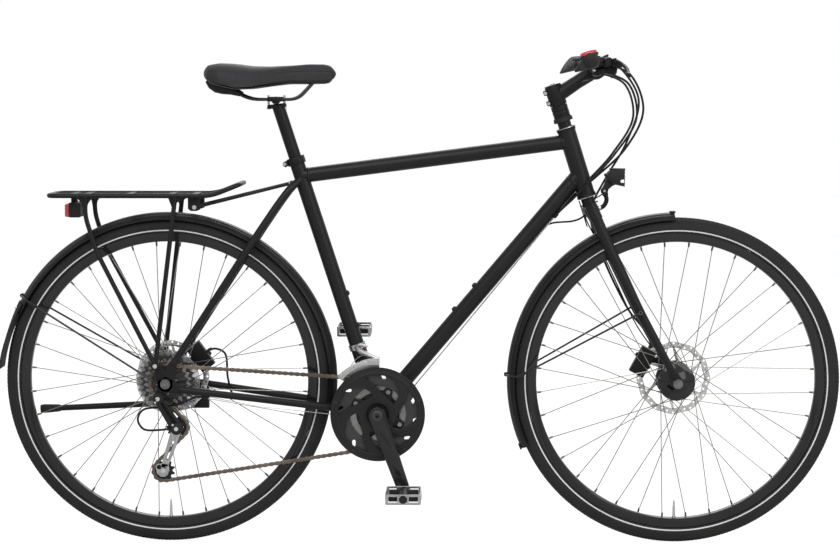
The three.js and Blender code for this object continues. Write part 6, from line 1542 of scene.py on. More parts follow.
@dataclass
class Chain:
    """The chain, link by link, along its path round the wheels."""

    plate_height: float = 8.4
    waist: float = 5.8
    inner_gap: float = 4.2
    wheels: tuple[tuple[float, float, float, int], ...] = (
        (BRACKET[0], BRACKET[2], pitch_radius(36), 1), (0.0, AXLE_HEIGHT, pitch_radius(18), 1),
        (*GUIDE_PULLEY, pitch_radius(11), -1), (*TENSION_PULLEY, pitch_radius(11), 1))

    def build(self) -> None:
        """Builds one link of each kind and copies it along the path."""
        pins = self.pins()
        pitch = math.dist(pins[0], pins[1])
        kinds = [self.link("outer_link", pitch, self.inner_gap / 2 + 1.0, True),
                 self.link("inner_link", pitch, self.inner_gap / 2, False)]
        links = []
        for i, start in enumerate(pins):
            end = pins[(i + 1) % len(pins)]
            copy = bpy.data.objects.new("link", kinds[i % 2].data.copy())
            bpy.context.scene.collection.objects.link(copy)
            slope = math.atan2(end[1] - start[1], end[0] - start[0])
            middle = ((start[0] + end[0]) / 2, CHAIN_Y, (start[1] + end[1]) / 2)
            copy.data.transform(placed(middle, turned_y(-slope)))
            links.append(copy)
        for kind in kinds:
            bpy.data.objects.remove(kind)
        hand_over(weld("chain_links", links), CHAIN_BROWN, "frame", "chain")

    def link(self, name: str, pitch: float, inner: float, outer: bool) -> Solid:
        """One link's two waisted plates and its pins or rollers, at the origin in millimetres.

        Args:
            name: The link's name.
            pitch: Distance between its pins.
            inner: Where its plates start, out from the middle.
            outer: Whether it holds the pins.
        Returns:
            The link.
        """
        half, radius, waist = pitch / 2, self.plate_height / 2, self.waist / 2
        edge: list[Flat] = []
        for side in (1, -1):
            for k in range(7):
                angle = -math.radians(105) + math.radians(210) * k / 6
                edge.append((side * (half + radius * math.cos(angle)), side * radius * math.sin(angle)))
            edge.append((0, side * waist))
        unplaced = WHOLE.inverted()
        shapes = []
        for side in BOTH_SIDES:
            one = plate("plate", [edge], thickness=0.9, place=placed((0, side * (inner + 0.5), 0)), edge=0.12)
            one.data.transform(unplaced)
            shapes.append(one)
        for x in (-half, half):
            reach = inner + 1.35 if outer else inner
            size = 1.9 if outer else 3.4
            pin = tubing("pin", [even([(x, -reach, 0), (x, reach, 0)], size)], WHOLE, sides=10)
            pin.data.transform(unplaced)
            shapes.append(pin)
        return weld(name, shapes)

    def pins(self) -> list[Flat]:
        """Places of the chain's pins, evenly along its path.

        Returns:
            Forward and upward place of each pin.
        """
        runs = []
        for i, (x, z, radius, turn) in enumerate(self.wheels):
            nx, nz, next_radius, next_turn = self.wheels[(i + 1) % len(self.wheels)]
            dx, dz = nx - x, nz - z
            heading = math.atan2(dz, dx) - math.asin((next_turn * next_radius - turn * radius)
                                                     / math.hypot(dx, dz))
            left = (-math.sin(heading), math.cos(heading))
            runs.append((heading, (x - turn * radius * left[0], z - turn * radius * left[1]),
                         (nx - next_turn * next_radius * left[0], nz - next_turn * next_radius * left[1])))
        path: list[Flat] = []
        for i, (heading, start, end) in enumerate(runs):
            nx, nz, radius, turn = self.wheels[(i + 1) % len(self.wheels)]
            next_heading = runs[(i + 1) % len(runs)][0]
            swing = (turn * (next_heading - heading)) % TURN
            path += [between(start, end, k / 60) for k in range(60)]
            first = math.atan2(end[1] - nz, end[0] - nx)
            path += [(nx + radius * math.cos(first + turn * swing * k / 60),
                      nz + radius * math.sin(first + turn * swing * k / 60)) for k in range(60)]
        closed = np.array(path + path[:1])
        lengths = np.concatenate([[0], np.cumsum(np.hypot(*np.diff(closed, axis=0).T))])
        count = 2 * round(lengths[-1] / CHAIN_PITCH / 2)
        places = np.linspace(0, lengths[-1], count, endpoint=False)
        return [(float(np.interp(s, lengths, closed[:, 0])), float(np.interp(s, lengths, closed[:, 1])))
                for s in places]


@dataclass
class Changers:
    """The rear derailleur with its cage and pulleys, and the front derailleur."""

    cage_gap: float = 4.6

    def build(self) -> None:
        """Builds both derailleurs."""
        self.cage()
        self.body()
        for node, (x, z) in (("guide_pulley", GUIDE_PULLEY), ("tension_pulley", TENSION_PULLEY)):
            place = placed((x, CHAIN_Y, z))
            holes = [ring_outline(4, count=20)] + [ring_outline(2.2, count=12,
                    middle=on_circle(10.5, TURN * k / 5)[::2]) for k in range(5)]
            wheel = plate("wheel", [teeth_outline(11, rise=2.2), *holes], thickness=2.6, place=place,
                          edge=0.5)
            hub = lathe("hub", [(3.4, -3.8), (7, -3.8), (7.6, -1.2), (7.6, 1.2), (7, 3.8), (3.4, 3.8)],
                        place, steps=28)
            hand_over(weld(f"{node}_wheel", [wheel, hub]), PLASTIC_BLACK, node, node)
        self.front()

    def cage(self) -> None:
        """The long cage: two plates that narrow to a three-cornered foot, and the pulley bolts."""
        shapes = []
        gx, gz = GUIDE_PULLEY
        tx, tz = TENSION_PULLEY
        foot = [(tx - 17, tz + 10), (tx - 13, tz + 15), (tx - 2, tz + 16), (tx + 10, tz + 14),
                (tx + 13, tz + 6), (tx + 10, tz - 7), (tx + 4, tz - 13), (tx - 6, tz - 13),
                (tx - 14, tz - 6)]
        for side in BOTH_SIDES:
            place = placed((0, CHAIN_Y + side * (self.cage_gap + 1), 0))
            hole = ring_outline(5, count=24, middle=(tx - 9,
                                                     tz + 8)) if side == DRIVE_SIDE else ring_outline(6,
                    count=24, middle=(tx - 2, tz + 3))
            neck = link_outline((gx, gz), 11.5, (tx + 3, tz + 12), 7.5)
            slot = link_outline((gx - 10, gz - 32), 2.6, (tx + 8, tz + 26), 2.0, steps=8)
            shapes.append(plate("neck", [neck, slot], thickness=1.8, place=place, edge=0.4))
            shapes.append(plate("foot", [foot, hole] if side == DRIVE_SIDE else [foot], thickness=1.8,
                                place=place, edge=0.4))
        hand_over(weld("changer_cage", shapes), CAGE_GREY, "frame", "derailleur_cage")
        bolts = []
        for x, z in (GUIDE_PULLEY, TENSION_PULLEY):
            reach = self.cage_gap + 2
            bolts.append(stepped((x, CHAIN_Y, z), TO_LEFT,
                                 ((-reach - 1.2, 4.6), (0.2 - reach, 4.8), (0.3 - reach, 2.8),
                                  (reach - 0.3, 2.8), (reach - 0.2, 4.4), (reach + 1, 4.2))))
        hand_over(tubing("pulley_bolts", bolts, WHOLE, sides=16), STEEL, "frame")

    def body(self) -> None:
        """The two knuckles, the parallel links with their pins, and the hanger bolt."""
        hx, hz = -14.0, AXLE_HEIGHT - 29
        gx, gz = GUIDE_PULLEY
        upper = lathe("upper", [(5, -74.1), (11.4, -74.1), (12.4, -78), (12.4, -88), (10.5, -92), (8, -94),
                                (0, -94), (0, -74.1)], placed((hx, 0, hz)), steps=40)
        low_y = CHAIN_Y - self.cage_gap - 2.3
        lower = lathe("lower", [(5, low_y), (13, low_y), (13.6, low_y - 4), (13.6, low_y - 17),
                                (11, low_y - 21), (7, low_y - 22.5), (0, low_y - 22.5), (0, low_y)],
                      placed((gx, 0, gz)), steps=40)
        links = [[((hx + 3, -79, hz - 2), 5.2), ((gx - 4, low_y - 8, gz + 4), 5.2)],
                 [((hx - 5, -90, hz + 1), 5.6), ((gx - 11, low_y - 18, gz + 7), 5.2)],
                 [((hx + 4, -86, hz + 3), 4.4), ((gx + 4, low_y - 14, gz + 11), 4.4)]]
        links.append([((gx - 8, low_y - 12, gz - 2), 4.2), ((gx - 20, low_y - 12, gz - 1), 4)])
        hand_over(weld("changer_body", [upper, lower, tubing("links", links, WHOLE, sides=20)]),
                  PLASTIC_BLACK, "frame", "rear_derailleur")
        pins = [[((hx, -94.6, hz), 4.6), ((hx, -93.6, hz), 5.2)],
                [((gx, low_y - 23.2, gz), 4.4), ((gx, low_y - 22.2, gz), 5)],
                [((hx - 5, -96, hz - 7), 2.3), ((hx - 5, -84, hz - 7), 2.3)],
                [((gx - 7, low_y - 24, gz + 9), 2.3), ((gx - 7, low_y - 12, gz + 9), 2.3)]]
        hand_over(tubing("changer_pins", pins, WHOLE, sides=14), STEEL, "frame")

    def front(self) -> None:
        """The front derailleur's band, arm and swept cage."""
        shapes = []
        x, _, z = on_seat_tube(146)
        band = tubing("band", [even([on_seat_tube(140), on_seat_tube(152)], 18.6)], WHOLE, sides=40)
        shapes.append(band)
        for y, inner, thick in ((CHAIN_Y + 6, 90.0, 1.4), (CHAIN_Y - 6, 104.0, 1.4)):
            outer: list[Flat] = []
            for k in range(13):
                angle = math.radians(88 + 49 * k / 12)
                outer.append((BRACKET[0] + 117 * math.cos(angle), BRACKET[2] + 117 * math.sin(angle)))
            for k in range(13):
                angle = math.radians(137 - 49 * k / 12)
                radius = inner + 3 * math.sin(math.pi * k / 12)
                outer.append((BRACKET[0] + radius * math.cos(angle), BRACKET[2] + radius * math.sin(angle)))
            shapes.append(plate("side", [outer], thickness=thick, place=placed((0, y, 0)), edge=0.3))
        bridge: list[Flat] = []
        for radius, sweep in ((119.0, range(7)), (115.6, range(6, -1, -1))):
            bridge += [(BRACKET[0] + radius * math.cos(math.radians(88 + 20 * k / 6)),
                        BRACKET[2] + radius * math.sin(math.radians(88 + 20 * k / 6))) for k in sweep]
        shapes.append(plate("bridge", [bridge], thickness=12, place=placed((0, CHAIN_Y, 0)), edge=0.4))
        hand_over(weld("front_changer_cage", shapes), CAGE_GREY, "frame", "front_derailleur")
        arm = tubing("arm",
                     [[((x, -17, z), 6.4), ((x + 8, -30, z - 8), 6),
                       ((BRACKET[0] + 2, CHAIN_Y + 4, BRACKET[2] + 116), 5)],
                      [((x + 4, -22, z + 6), 3), ((x + 22, -28, z + 3), 3)]], WHOLE, sides=20)
        hand_over(arm, CAGE_GREY, "frame")
        dot = block("front_changer_mark", (x + 16, -33.5, z - 6), (5, 1.2, 3), WHOLE, edge=0.4)
        hand_over(dot, BELL_RED, "frame")


BAR_CENTRE: Point = (96.0, 0.0, 685.3)
BAR_YS = (0.0, 40.0, 95.0, 300.0)
BAR_RISE = (0.0, 0.0, 19.24, 26.0)
BAR_SWEEP = (0.0, 0.0, 3.68, 23.0)
BLADE_BOSS_SHARE = 0.41
BLADE_FOOT_SHARE = 0.09
CROWN_TOP = 419.4
CROWN_BOTTOM = 389.4


def bar_point(y: float) -> Point:
    """Point on the handlebar's line, in the steering's own millimetres."""
    reach = abs(y)
    return (BAR_CENTRE[0] - float(np.interp(reach, BAR_YS, BAR_SWEEP)), y,
            BAR_CENTRE[2] + float(np.interp(reach, BAR_YS, BAR_RISE)))


def along_bar(side: int, steps: Sequence[Flat]) -> list[tuple[Point, float]]:
    """A run along the handlebar: places out from its middle, with the radius at each."""
    return [(bar_point(side * y), radius) for y, radius in steps]


def fork_point(share: float, side: int) -> Point:
    """Point on a fork blade's line, at a share of its height."""
    ahead = float(np.interp(share, (BLADE_FOOT_SHARE, BLADE_BOSS_SHARE, 0.8, 1.0),
                            (0.9, 0.5, 0.14, 0.0))) * FORK_OFFSET
    return (ahead, side * (60 + (49 - 60) * share), share * CROWN_TOP)


@dataclass
class Fork:
    """The fork with its crown, curved blades, dropouts and brake tab."""

    dropout_y: float = 53.8

    def build(self) -> None:
        """Builds the fork as one piece and its stay bolts."""
        runs = [even([(0, 0, CROWN_BOTTOM + 4), (0, 0, 662)], 14.2),
                [((0, 0, CROWN_TOP - 2), 20.4), ((0, 0, CROWN_TOP), 20)]]
        shapes = []
        for side in BOTH_SIDES:
            line = [fork_point(s, side) for s in (1, 0.8, 0.6, BLADE_BOSS_SHARE, 0.25,
                                                  BLADE_FOOT_SHARE)] + [(FORK_OFFSET, side * self.dropout_y,
                    12)]
            fine = smooth_route(line, steps=8)
            runs.append([(p, 12.4 - 5.2 * (i / (len(fine) - 1)) ** 1.2) for i, p in enumerate(fine)])
            runs.append(even([(fork_point(0.92, side)),
                              (fork_point(1.0, side)[0], side * 48.4, CROWN_TOP - 3)], 13.4))
            root = fork_point(BLADE_BOSS_SHARE, side)
            runs.append(even([root, (root[0], side * (abs(root[1]) + 16.5), root[2])], 5))
            top = fork_point(BLADE_FOOT_SHARE, side)
            place = STEERED @ Matrix.Translation((0, side * self.dropout_y, 0))
            shapes.append(plate("dropout", [link_outline((FORK_OFFSET, 0), 13, (top[0], top[2]), 8)],
                                thickness=7, place=place, edge=1))
            if side == LEFT_SIDE:
                ear = on_circle(CALIPER_RADIUS, FRONT_CALIPER_ANGLE)
                shapes.append(plate("tab",
                                    [link_outline((top[0], top[2]), 8, (FORK_OFFSET + ear[0], ear[2]), 8)],
                                    thickness=7, place=place, edge=1))
        shapes.append(tubing("blades", runs, STEERED, sides=32))
        shapes.append(block("crown", (0, 0, (CROWN_TOP + CROWN_BOTTOM) / 2 + 1), (31, 104, 25), STEERED,
                            edge=9))
        hand_over(weld("fork_body", shapes), FRAME_BLACK, "steering", "fork")
        bolts = []
        for side in BOTH_SIDES:
            bolts.append(stepped(fork_point(BLADE_BOSS_SHARE, side), (0, side, 0),
                                 ((16.4, 5.6), (23, 5.6), (23.1, 4), (25.5, 3.8))))
        hand_over(tubing("fork_stay_bolts", bolts, STEERED, sides=12), STEEL, "steering")


@dataclass
class Cockpit:
    """The stem, handlebar, grips, brake and gear controls, and the bell."""

    clamp_place: float = 136.0
    clamp_steps: Sequence[Flat] = ((-7, 14.6), (-6, 15.4), (6, 15.4), (7, 14.6))
    shifter_clamp: Sequence[Flat] = ((103, 14.4), (104, 15.2), (124, 15.2), (125, 14.4))
    housings: Sequence[tuple[str, Point, Point, float, float]] = (
        ("lid", (24, 117, 2), (19, 38, 5), 1.8, -0.15),
        ("shifter", (10, 110, -23), (32, 31, 15), 5.5, 0.15),
        ("gears", (31, 113, -27), (25, 29, 22), 6, 0.5),
        ("barrel", (44, 126, -21), (22, 40, 13), 5, 0.5),
        ("window", (13, 110, -13), (26, 24, 8), 3, 0.2))
    spacers: Sequence[Flat] = ((602.6, 607), (607.4, 617), (617.4, 627), (627.4, 637.6))
    stem_height: float = 659.3
    stem_radius: float = 14.6
    bar_stations: Sequence[float] = (26, 40, 66, 95, 140, 190, 240, 296)
    wing_places: Sequence[float] = (0, 0.2, 0.45, 0.7, 0.88, 1)
    wing_shares: Sequence[float] = (0.12, 0.32, 0.62, 0.9, 1.0, 0.72)
    grip_start: float = 170.0
    grip_length: float = 126.0
    grip_radius: float = 15.2
    grip_ribs: int = 27
    rib_height: float = 0.5
    wing_reach: float = 23.0
    wing_droop: float = 0.5
    stem_ears: Flat = (648.0, 671.0)
    lever_pivot: Point = (129.3, 143.0, 693.9)
    bell_y: float = -62.0

    def build(self) -> None:
        """Builds the stem first, then everything on the bar."""
        self.stem()
        self.bar()
        for side, hand in ((DRIVE_SIDE, "right"), (LEFT_SIDE, "left")):
            self.grip(side, hand)
            self.control(side, hand)
            self.levers(side, hand)
        self.bell()

    def stem(self) -> None:
        """Spacers, stem body, top cap and bolts."""
        spacers = []
        for low, high in self.spacers:
            spacers.append(stepped((0, 0, 0), UP, ((low, 17.2), (low + 0.6, 17.8), (high - 0.6, 17.8),
                                                   (high, 17.2))))
        hand_over(tubing("headset_spacers", spacers, STEERED, sides=40), ALLOY_BLACK, "steering")
        root = (0, 0, self.stem_height)
        runs = [stepped((0, 0, 0), UP, ((638.4, 17.4), (640, 18.3), (679, 18.3), (681, 17.4))),
                [((6, 0, 660), 16), (between(root, BAR_CENTRE, 0.55), self.stem_radius),
                 (between(root, BAR_CENTRE, 0.86), 15.5)],
                even([(BAR_CENTRE[0], -22, BAR_CENTRE[2]), (BAR_CENTRE[0], 22, BAR_CENTRE[2])], 19.6)]
        body = tubing("body", runs, STEERED, sides=40)
        ears = [block("ear", (-19, 0, z), (9, 19, 11), STEERED, edge=2.5) for z in self.stem_ears]
        face = block("face", (BAR_CENTRE[0] + 15, 0, BAR_CENTRE[2] + 3), (11, 42, 32), STEERED, edge=4,
                     turn=-0.25)
        hand_over(weld("stem_body", [body, *ears, face]), ALLOY_BLACK, "steering", "stem")
        cap = stepped((0, 0, 0), UP, ((681.2, 17.6), (683, 17.6), (684.4, 15.5)))
        hand_over(tubing("stem_cap", [cap], STEERED, sides=40), GLOSS_BLACK, "steering")
        bolts = [even([(0, 0, 684), (0, 0, 685.8)], 5)]
        bolts += [even([(-20, -11.5, z), (-20, 11.5, z)], 3.6) for z in self.stem_ears]
        for y in (-15, 15):
            for z in (-10, 14):
                bolts.append(even([(BAR_CENTRE[0] + 18, y, BAR_CENTRE[2] + z),
                                   (BAR_CENTRE[0] + 22.4, y, BAR_CENTRE[2] + z - 0.6)], 3))
        hand_over(tubing("stem_bolts", bolts, STEERED, sides=14), STEEL, "steering")

    def bar(self) -> None:
        """The handlebar, thicker where the stem holds it."""
        ys = [-y for y in reversed(self.bar_stations)] + list(self.bar_stations)
        fine = smooth_route([bar_point(y) for y in ys], steps=6)
        run = [(p, float(np.interp(abs(p[1]), (24, 48), (15.7, 11.0)))) for p in fine]
        hand_over(tubing("handlebar_tube", [run], STEERED, sides=32), ALLOY_BLACK, "steering", "handlebar")

    def grip(self, side: int, hand: str) -> None:
        """One winged grip with its ribs and its end cap.

        Args:
            side: Which side of the bicycle it is on.
            hand: Right or left.
        """
        

        def form(u: np.ndarray, v: np.ndarray) -> np.ndarray:
            """The grip's surface.

            Args:
                u: Share round the grip.
                v: Share along it from its inner end.
            Returns:
                The points.
            """
            angle = -side * u * TURN
            wing = np.interp(v, self.wing_places, self.wing_shares)
            back = np.maximum(0, -np.cos(angle)) ** 2.2 * self.wing_reach * wing
            wave = np.clip(np.sin(v * self.grip_ribs * 2 * math.pi) * 2, -1, 1)
            rib = self.rib_height * wave * np.clip(np.cos(angle + 0.4), 0, 1) * (v > 0.08) * (v < 0.9)
            ends = 1 - 0.12 * np.clip(1 - np.minimum(v, 1 - v) / 0.03, 0, 1) ** 2
            radius = (self.grip_radius + rib) * ends
            y = self.grip_start + v * self.grip_length
            x = BAR_CENTRE[0] - np.interp(y, BAR_YS, BAR_SWEEP) + radius * np.cos(angle) - back
            thin = 1 - 0.35 * back / self.wing_reach
            rise = np.interp(y, BAR_YS, BAR_RISE)
            z = BAR_CENTRE[2] + rise - radius * np.sin(angle) * thin - self.wing_droop * back
            return np.stack([x, side * y, z], 1)

        pad = skin(f"grip_{hand}_pad", (64, 108), form, STEERED)
        fill_ends(pad)
        hand_over(pad, GRIP_BLACK, "steering", f"grip_{hand}")
        ring = tubing("ring", [along_bar(side, ((163, 14), (163.6, 15), (169, 15), (169.6, 14)))], STEERED,
                      sides=36)
        cap_start, cap_end = bar_point(side * 295.6), bar_point(side * 300)
        cap = tubing("cap", [[(cap_start, 14.4), (between(cap_start, cap_end, 0.7), 14.4),
                              (cap_end, 12.6)]], STEERED, sides=36)
        hand_over(weld(f"grip_{hand}_rings", [ring, cap]), PLASTIC_BLACK, "steering")

    def control(self, side: int, hand: str) -> None:
        """One brake perch with its reservoir, and the gear shifter inside it.

        Args:
            side: Which side of the bicycle it is on.
            hand: Right or left.
        """
        x, _, z = bar_point(side * self.clamp_place)
        clamps = [along_bar(side, [(self.clamp_place + away, radius) for away, radius in self.clamp_steps]),
                  along_bar(side, self.shifter_clamp),
                  [((x + 23, side * 98, z - 8), 9.5), ((x + 23, side * 104, z - 8), 11),
                   ((x + 23, side * 132, z - 8), 11.4), ((x + 30, side * 146, z - 10), 9)],
                  [((x + 8, side * 136, z - 2), 9), ((x + 22, side * 132, z - 7), 10)],
                  [((x + 23, side * 90, z - 8), 4.4), ((x + 23, side * 98, z - 8), 5.2)]]
        shapes = [tubing("clamps", clamps, STEERED, sides=28)]
        for name, (ahead, out, up), size, edge, turn in self.housings:
            shapes.append(block(name, (x + ahead, side * out, z + up), size, STEERED, edge=edge, turn=turn))
        hand_over(weld(f"control_{hand}_body", shapes), ALLOY_BLACK, "steering", f"control_{hand}")
        lens = block(f"control_{hand}_window", (x + 17, side * 110, z - 9.4), (13, 17, 2.2), STEERED,
                     edge=0.9, turn=0.2)
        hand_over(lens, CLEAR_LENS, "steering")
        screws = [even([(x + 24 + a, side * 117 + b, z + 3), (x + 24 + a, side * 117 + b, z + 5.4)], 1.9)
                  for a, b in ((-6, -15), (-6, 15), (6, -15), (6, 15))]
        screws.append(even([(x - 6, side * self.clamp_place, z - 15.6),
                            (x - 2, side * self.clamp_place, z - 19)], 3))
        hand_over(tubing(f"control_{hand}_screws", screws, STEERED, sides=12), STEEL, "steering")

    def levers(self, side: int, hand: str) -> None:
        """One brake lever and one thumb lever.

        Args:
            side: Which side of the bicycle it is on.
            hand: Right or left.
        """
        px, py, pz = self.lever_pivot
        py = side * py
        line = [(px, py, pz), (139, side * 158, 685), (145, side * 182, 673), (144, side * 206, 663),
                (143, side * 224, 658)]
        fine = smooth_route(line, steps=10)
        run = [(p, float(np.interp(i / (len(fine) - 1), (0, 0.1, 0.3, 0.8, 0.93, 0.97, 1),
                                   (5.6, 5.2, 4, 3.9, 4.4, 5, 3.6)))) for i, p in enumerate(fine)]
        blade = tubing("blade", [run], STEERED, sides=24)
        pivot = tubing("pivot", [even([(px, py, pz - 5.5), (px, py, pz + 5.5)], 5.5)], STEERED, sides=24)
        hand_over(weld(f"brake_lever_{hand}_blade", [blade, pivot]), ALLOY_BLACK, f"brake_lever_{hand}",
                  f"brake_lever_{hand}")
        pin = tubing(f"brake_lever_{hand}_pin", [even([(px, py, pz - 6.3), (px, py, pz + 6.3)], 2.2)],
                     STEERED, sides=12)
        hand_over(pin, STEEL, f"brake_lever_{hand}")
        thumb = copy_of(f"thumb_lever_{hand}", f"thumb_lever_{hand}_paddle", edge=1.4, segments=3)
        hand_over(thumb, PLASTIC_BLACK, f"thumb_lever_{hand}", f"thumb_lever_{hand}")

    def bell(self) -> None:
        """The bell: a red dome on a black base and band, with its striker."""
        x, y, z = bar_point(self.bell_y)
        upright = Matrix.Rotation(-math.pi / 2, 4, "X")
        at = STEERED @ Matrix.Translation((x - 6, y, z + 23.2)) @ upright
        base = lathe("base", [(3, 0.2), (19.8, 0.2), (20, -1.6), (20, -5.4), (18.6, -6), (3, -6)], at,
                     steps=64)
        stand = tubing("stand", [even([(x - 6, y, z + 9), (x - 6, y, z + 24)], 5),
                                 even([bar_point(y + 4.5), bar_point(y - 4.5)], 14.2)], STEERED, sides=28)
        hand_over(weld("bell_base", [base, stand]), PLASTIC_BLACK, "steering")
        dome = [(17.6, -6.1), (18.4, -8), (17.6, -11), (15, -13.4), (10, -14.8), (5, -15.3), (0, -15.4),
                (0, -13.6), (10, -13), (15, -10)]
        hand_over(lathe("bell_dome", dome, at, steps=64), BELL_RED, "steering", "bell")
        striker = copy_of("bell_lever", "bell_striker", edge=0.7, segments=3)
        hand_over(striker, PLASTIC_BLACK, "bell_lever", "bell_lever")


GUARD_RADIUS = 362.0
GUARD_HALF = 26.5
GUARD_DEPTH = 15.0
GUARD_SECTION = (GUARD_HALF ** 2 + GUARD_DEPTH ** 2) / (2 * GUARD_DEPTH)


@dataclass
class Mudguards:
    """Both mudguards with their stays, clips, flap and tab."""

    rear_arc: Flat = (-8.0, 156.0)
    front_arc: Flat = (91.0, 204.0)
    tip_angles: Flat = (91.6, 203.4)
    rear_stay_angle: float = 150.0
    front_stay_angle: float = 178.0
    sheet: float = 1.7
    crease_depth: float = 0.9
    crease_angle: float = 0.52
    flap_arc: Flat = (152.0, 24.0)
    flap_half: float = 25.0
    flap_flare: float = 5.0
    flap_sheet: float = 2.2
    rivet_angle: float = 154.5
    rivet_y: float = 9.0
    wire_radius: float = 2.2

    def build(self) -> None:
        """Builds the rear mudguard, then the front one."""
        self.guard("rear", 0.0, self.rear_arc, "frame")
        self.guard("front", WHEELBASE, self.front_arc, "steering")
        self.flap()
        rear_foot = (-22, 76.6, AXLE_HEIGHT + 5)
        root = on_steering(*fork_point(BLADE_BOSS_SHARE, LEFT_SIDE))
        self.stay("rear", 0.0, rear_foot, self.rear_stay_angle, "frame")
        self.stay("front", WHEELBASE, (root[0], fork_point(BLADE_BOSS_SHARE, LEFT_SIDE)[1] + 20.3, root[2]),
                  self.front_stay_angle, "steering")
        tips = []
        for angle in self.tip_angles:
            x, _, z = on_circle(GUARD_RADIUS + 0.6, math.radians(angle))
            tips.append(block("tip", (WHEELBASE + x, 0, AXLE_HEIGHT + z), (12, 20, 4), WHOLE, edge=1.2,
                              turn=math.radians(90 - angle)))
        hand_over(weld("front_guard_tips", tips), PLASTIC_BLACK, "steering")
        tab = block("front_guard_tab", (-18.3, 0, 402), (2, 16, 58), STEERED, edge=0.8)
        hand_over(tab, ALLOY_BLACK, "steering")

    def guard(self, end: str, x: float, arc: Flat, body: str) -> None:
        """One mudguard: a ridged, rolled shell.

        Args:
            end: Front or rear.
            x: Its wheel's place along the bicycle.
            arc: Where it starts and ends, in degrees above the forward direction.
            body: The body that carries it.
        """
        swing = math.asin(GUARD_HALF / GUARD_SECTION)

        def form(u: np.ndarray, v: np.ndarray) -> np.ndarray:
            """The mudguard's sheet.

            Args:
                u: Share along the arc.
                v: Share across the section.
            Returns:
                The points.
            """
            across = (2 * v - 1) * swing
            tip = np.clip(np.minimum(u, 1 - u) / 0.02, 0, 1)
            narrow = 1 - 0.16 * (1 - tip) ** 2
            crease = -self.crease_depth * bump(np.abs(across), self.crease_angle, 0.06)
            radius = GUARD_RADIUS - 0.9 - GUARD_SECTION + (GUARD_SECTION + crease) * np.cos(across)
            turn = np.radians(arc[0] + (arc[1] - arc[0]) * u)
            return np.stack([radius * np.cos(turn), (GUARD_SECTION + crease) * np.sin(across) * narrow,
                             radius * np.sin(turn)], 1)

        sheet = skin(f"{end}_mudguard_shell", (150, 28), form, placed((x, 0, AXLE_HEIGHT)))
        pick(sheet)
        wall = sheet.modifiers.new("wall", "SOLIDIFY")
        wall.thickness, wall.offset = self.sheet * MM, 0
        bpy.ops.object.modifier_apply(modifier=wall.name)
        hand_over(sheet, FRAME_BLACK, body, f"{end}_mudguard")

    def flap(self) -> None:
        """The rubber flap at the rear mudguard's end, and its two rivets."""

        def form(u: np.ndarray, v: np.ndarray) -> np.ndarray:
            """The flap's sheet.

            Args:
                u: Share down the flap.
                v: Share across it.
            Returns:
                The points.
            """
            turn = np.radians(self.flap_arc[0] + self.flap_arc[1] * u)
            across = 2 * v - 1
            half = self.flap_half + self.flap_flare * np.clip(u * 1.6, 0,
                    1) - 3 * np.clip((u - 0.94) / 0.06, 0, 1) ** 2
            radius = GUARD_RADIUS + 1.4 - 11 * across ** 2 * (1 - u) ** 1.5 - 1.5 * np.sin(np.pi * u)
            return np.stack([radius * np.cos(turn), half * across, radius * np.sin(turn)], 1)

        sheet = skin("mudguard_flap", (40, 20), form, placed((0, 0, AXLE_HEIGHT)))
        pick(sheet)
        wall = sheet.modifiers.new("wall", "SOLIDIFY")
        wall.thickness, wall.offset = self.flap_sheet * MM, 0
        bpy.ops.object.modifier_apply(modifier=wall.name)
        hand_over(sheet, GRIP_BLACK, "frame")
        rivets = []
        for y in (-self.rivet_y, self.rivet_y):
            angle = math.radians(self.rivet_angle)
            low, high = on_circle(GUARD_RADIUS, angle, y), on_circle(GUARD_RADIUS + 4, angle, y)
            rivets.append([(low, 3.4), (between(low, high, 0.7), 3.4), (high, 2)])
        hand_over(tubing("flap_rivets", rivets, placed((0, 0, AXLE_HEIGHT)), sides=12), STEEL, "frame")

    def stay(self, end: str, x: float, foot: Point, angle: float, body: str) -> None:
        """One bent wire from an eyelet on each side, over the mudguard, with its clips.

        Args:
            end: Front or rear.
            x: The wheel's place along the bicycle.
            foot: The wire's left foot.
            angle: Where it crosses the mudguard, in degrees above the forward direction.
            body: The body that carries it.
        """
        wrap = GUARD_SECTION + 0.8 + self.wire_radius
        turn = math.radians(angle)

        def over(y: float) -> Point:
            """Point of the wire over the mudguard."""
            reach = GUARD_RADIUS - GUARD_SECTION + math.sqrt(max(0, wrap * wrap - y * y))
            point = on_circle(reach, turn, y)
            return (x + point[0], y, AXLE_HEIGHT + point[2])

        crossing = [over(wrap * math.sin(math.radians(a))) for a in range(-76, 77, 8)]
        right = (foot[0], -foot[1], foot[2])
        wire = tubing("wire", [even([right, *crossing, foot], self.wire_radius)], WHOLE, sides=14)
        eyes = []
        for place in (foot, right):
            side = math.copysign(1, place[1])
            eyes.append(stepped(place, (0, side, 0), ((-3, 6), (3, 6), (3.1, 3.6), (5.6, 3.4))))
        hand_over(weld(f"{end}_mudguard_wire", [wire, tubing("eyes", eyes, WHOLE, sides=18)]), GLOSS_BLACK,
                  body, f"{end}_mudguard_stay")
        clips = []
        for side in BOTH_SIDES:
            start, along = over(side * wrap * 0.97), (foot if side > 0 else right)
            clips.append([(start, 4.4), (between(start, along, 0.045), 4.4),
                          (between(start, along, 0.06), 3)])
        clips.append([(over(-7), 4.2), (over(7), 4.2)])
        hand_over(tubing(f"{end}_stay_clips", clips, WHOLE, sides=16), PLASTIC_BLACK, body)


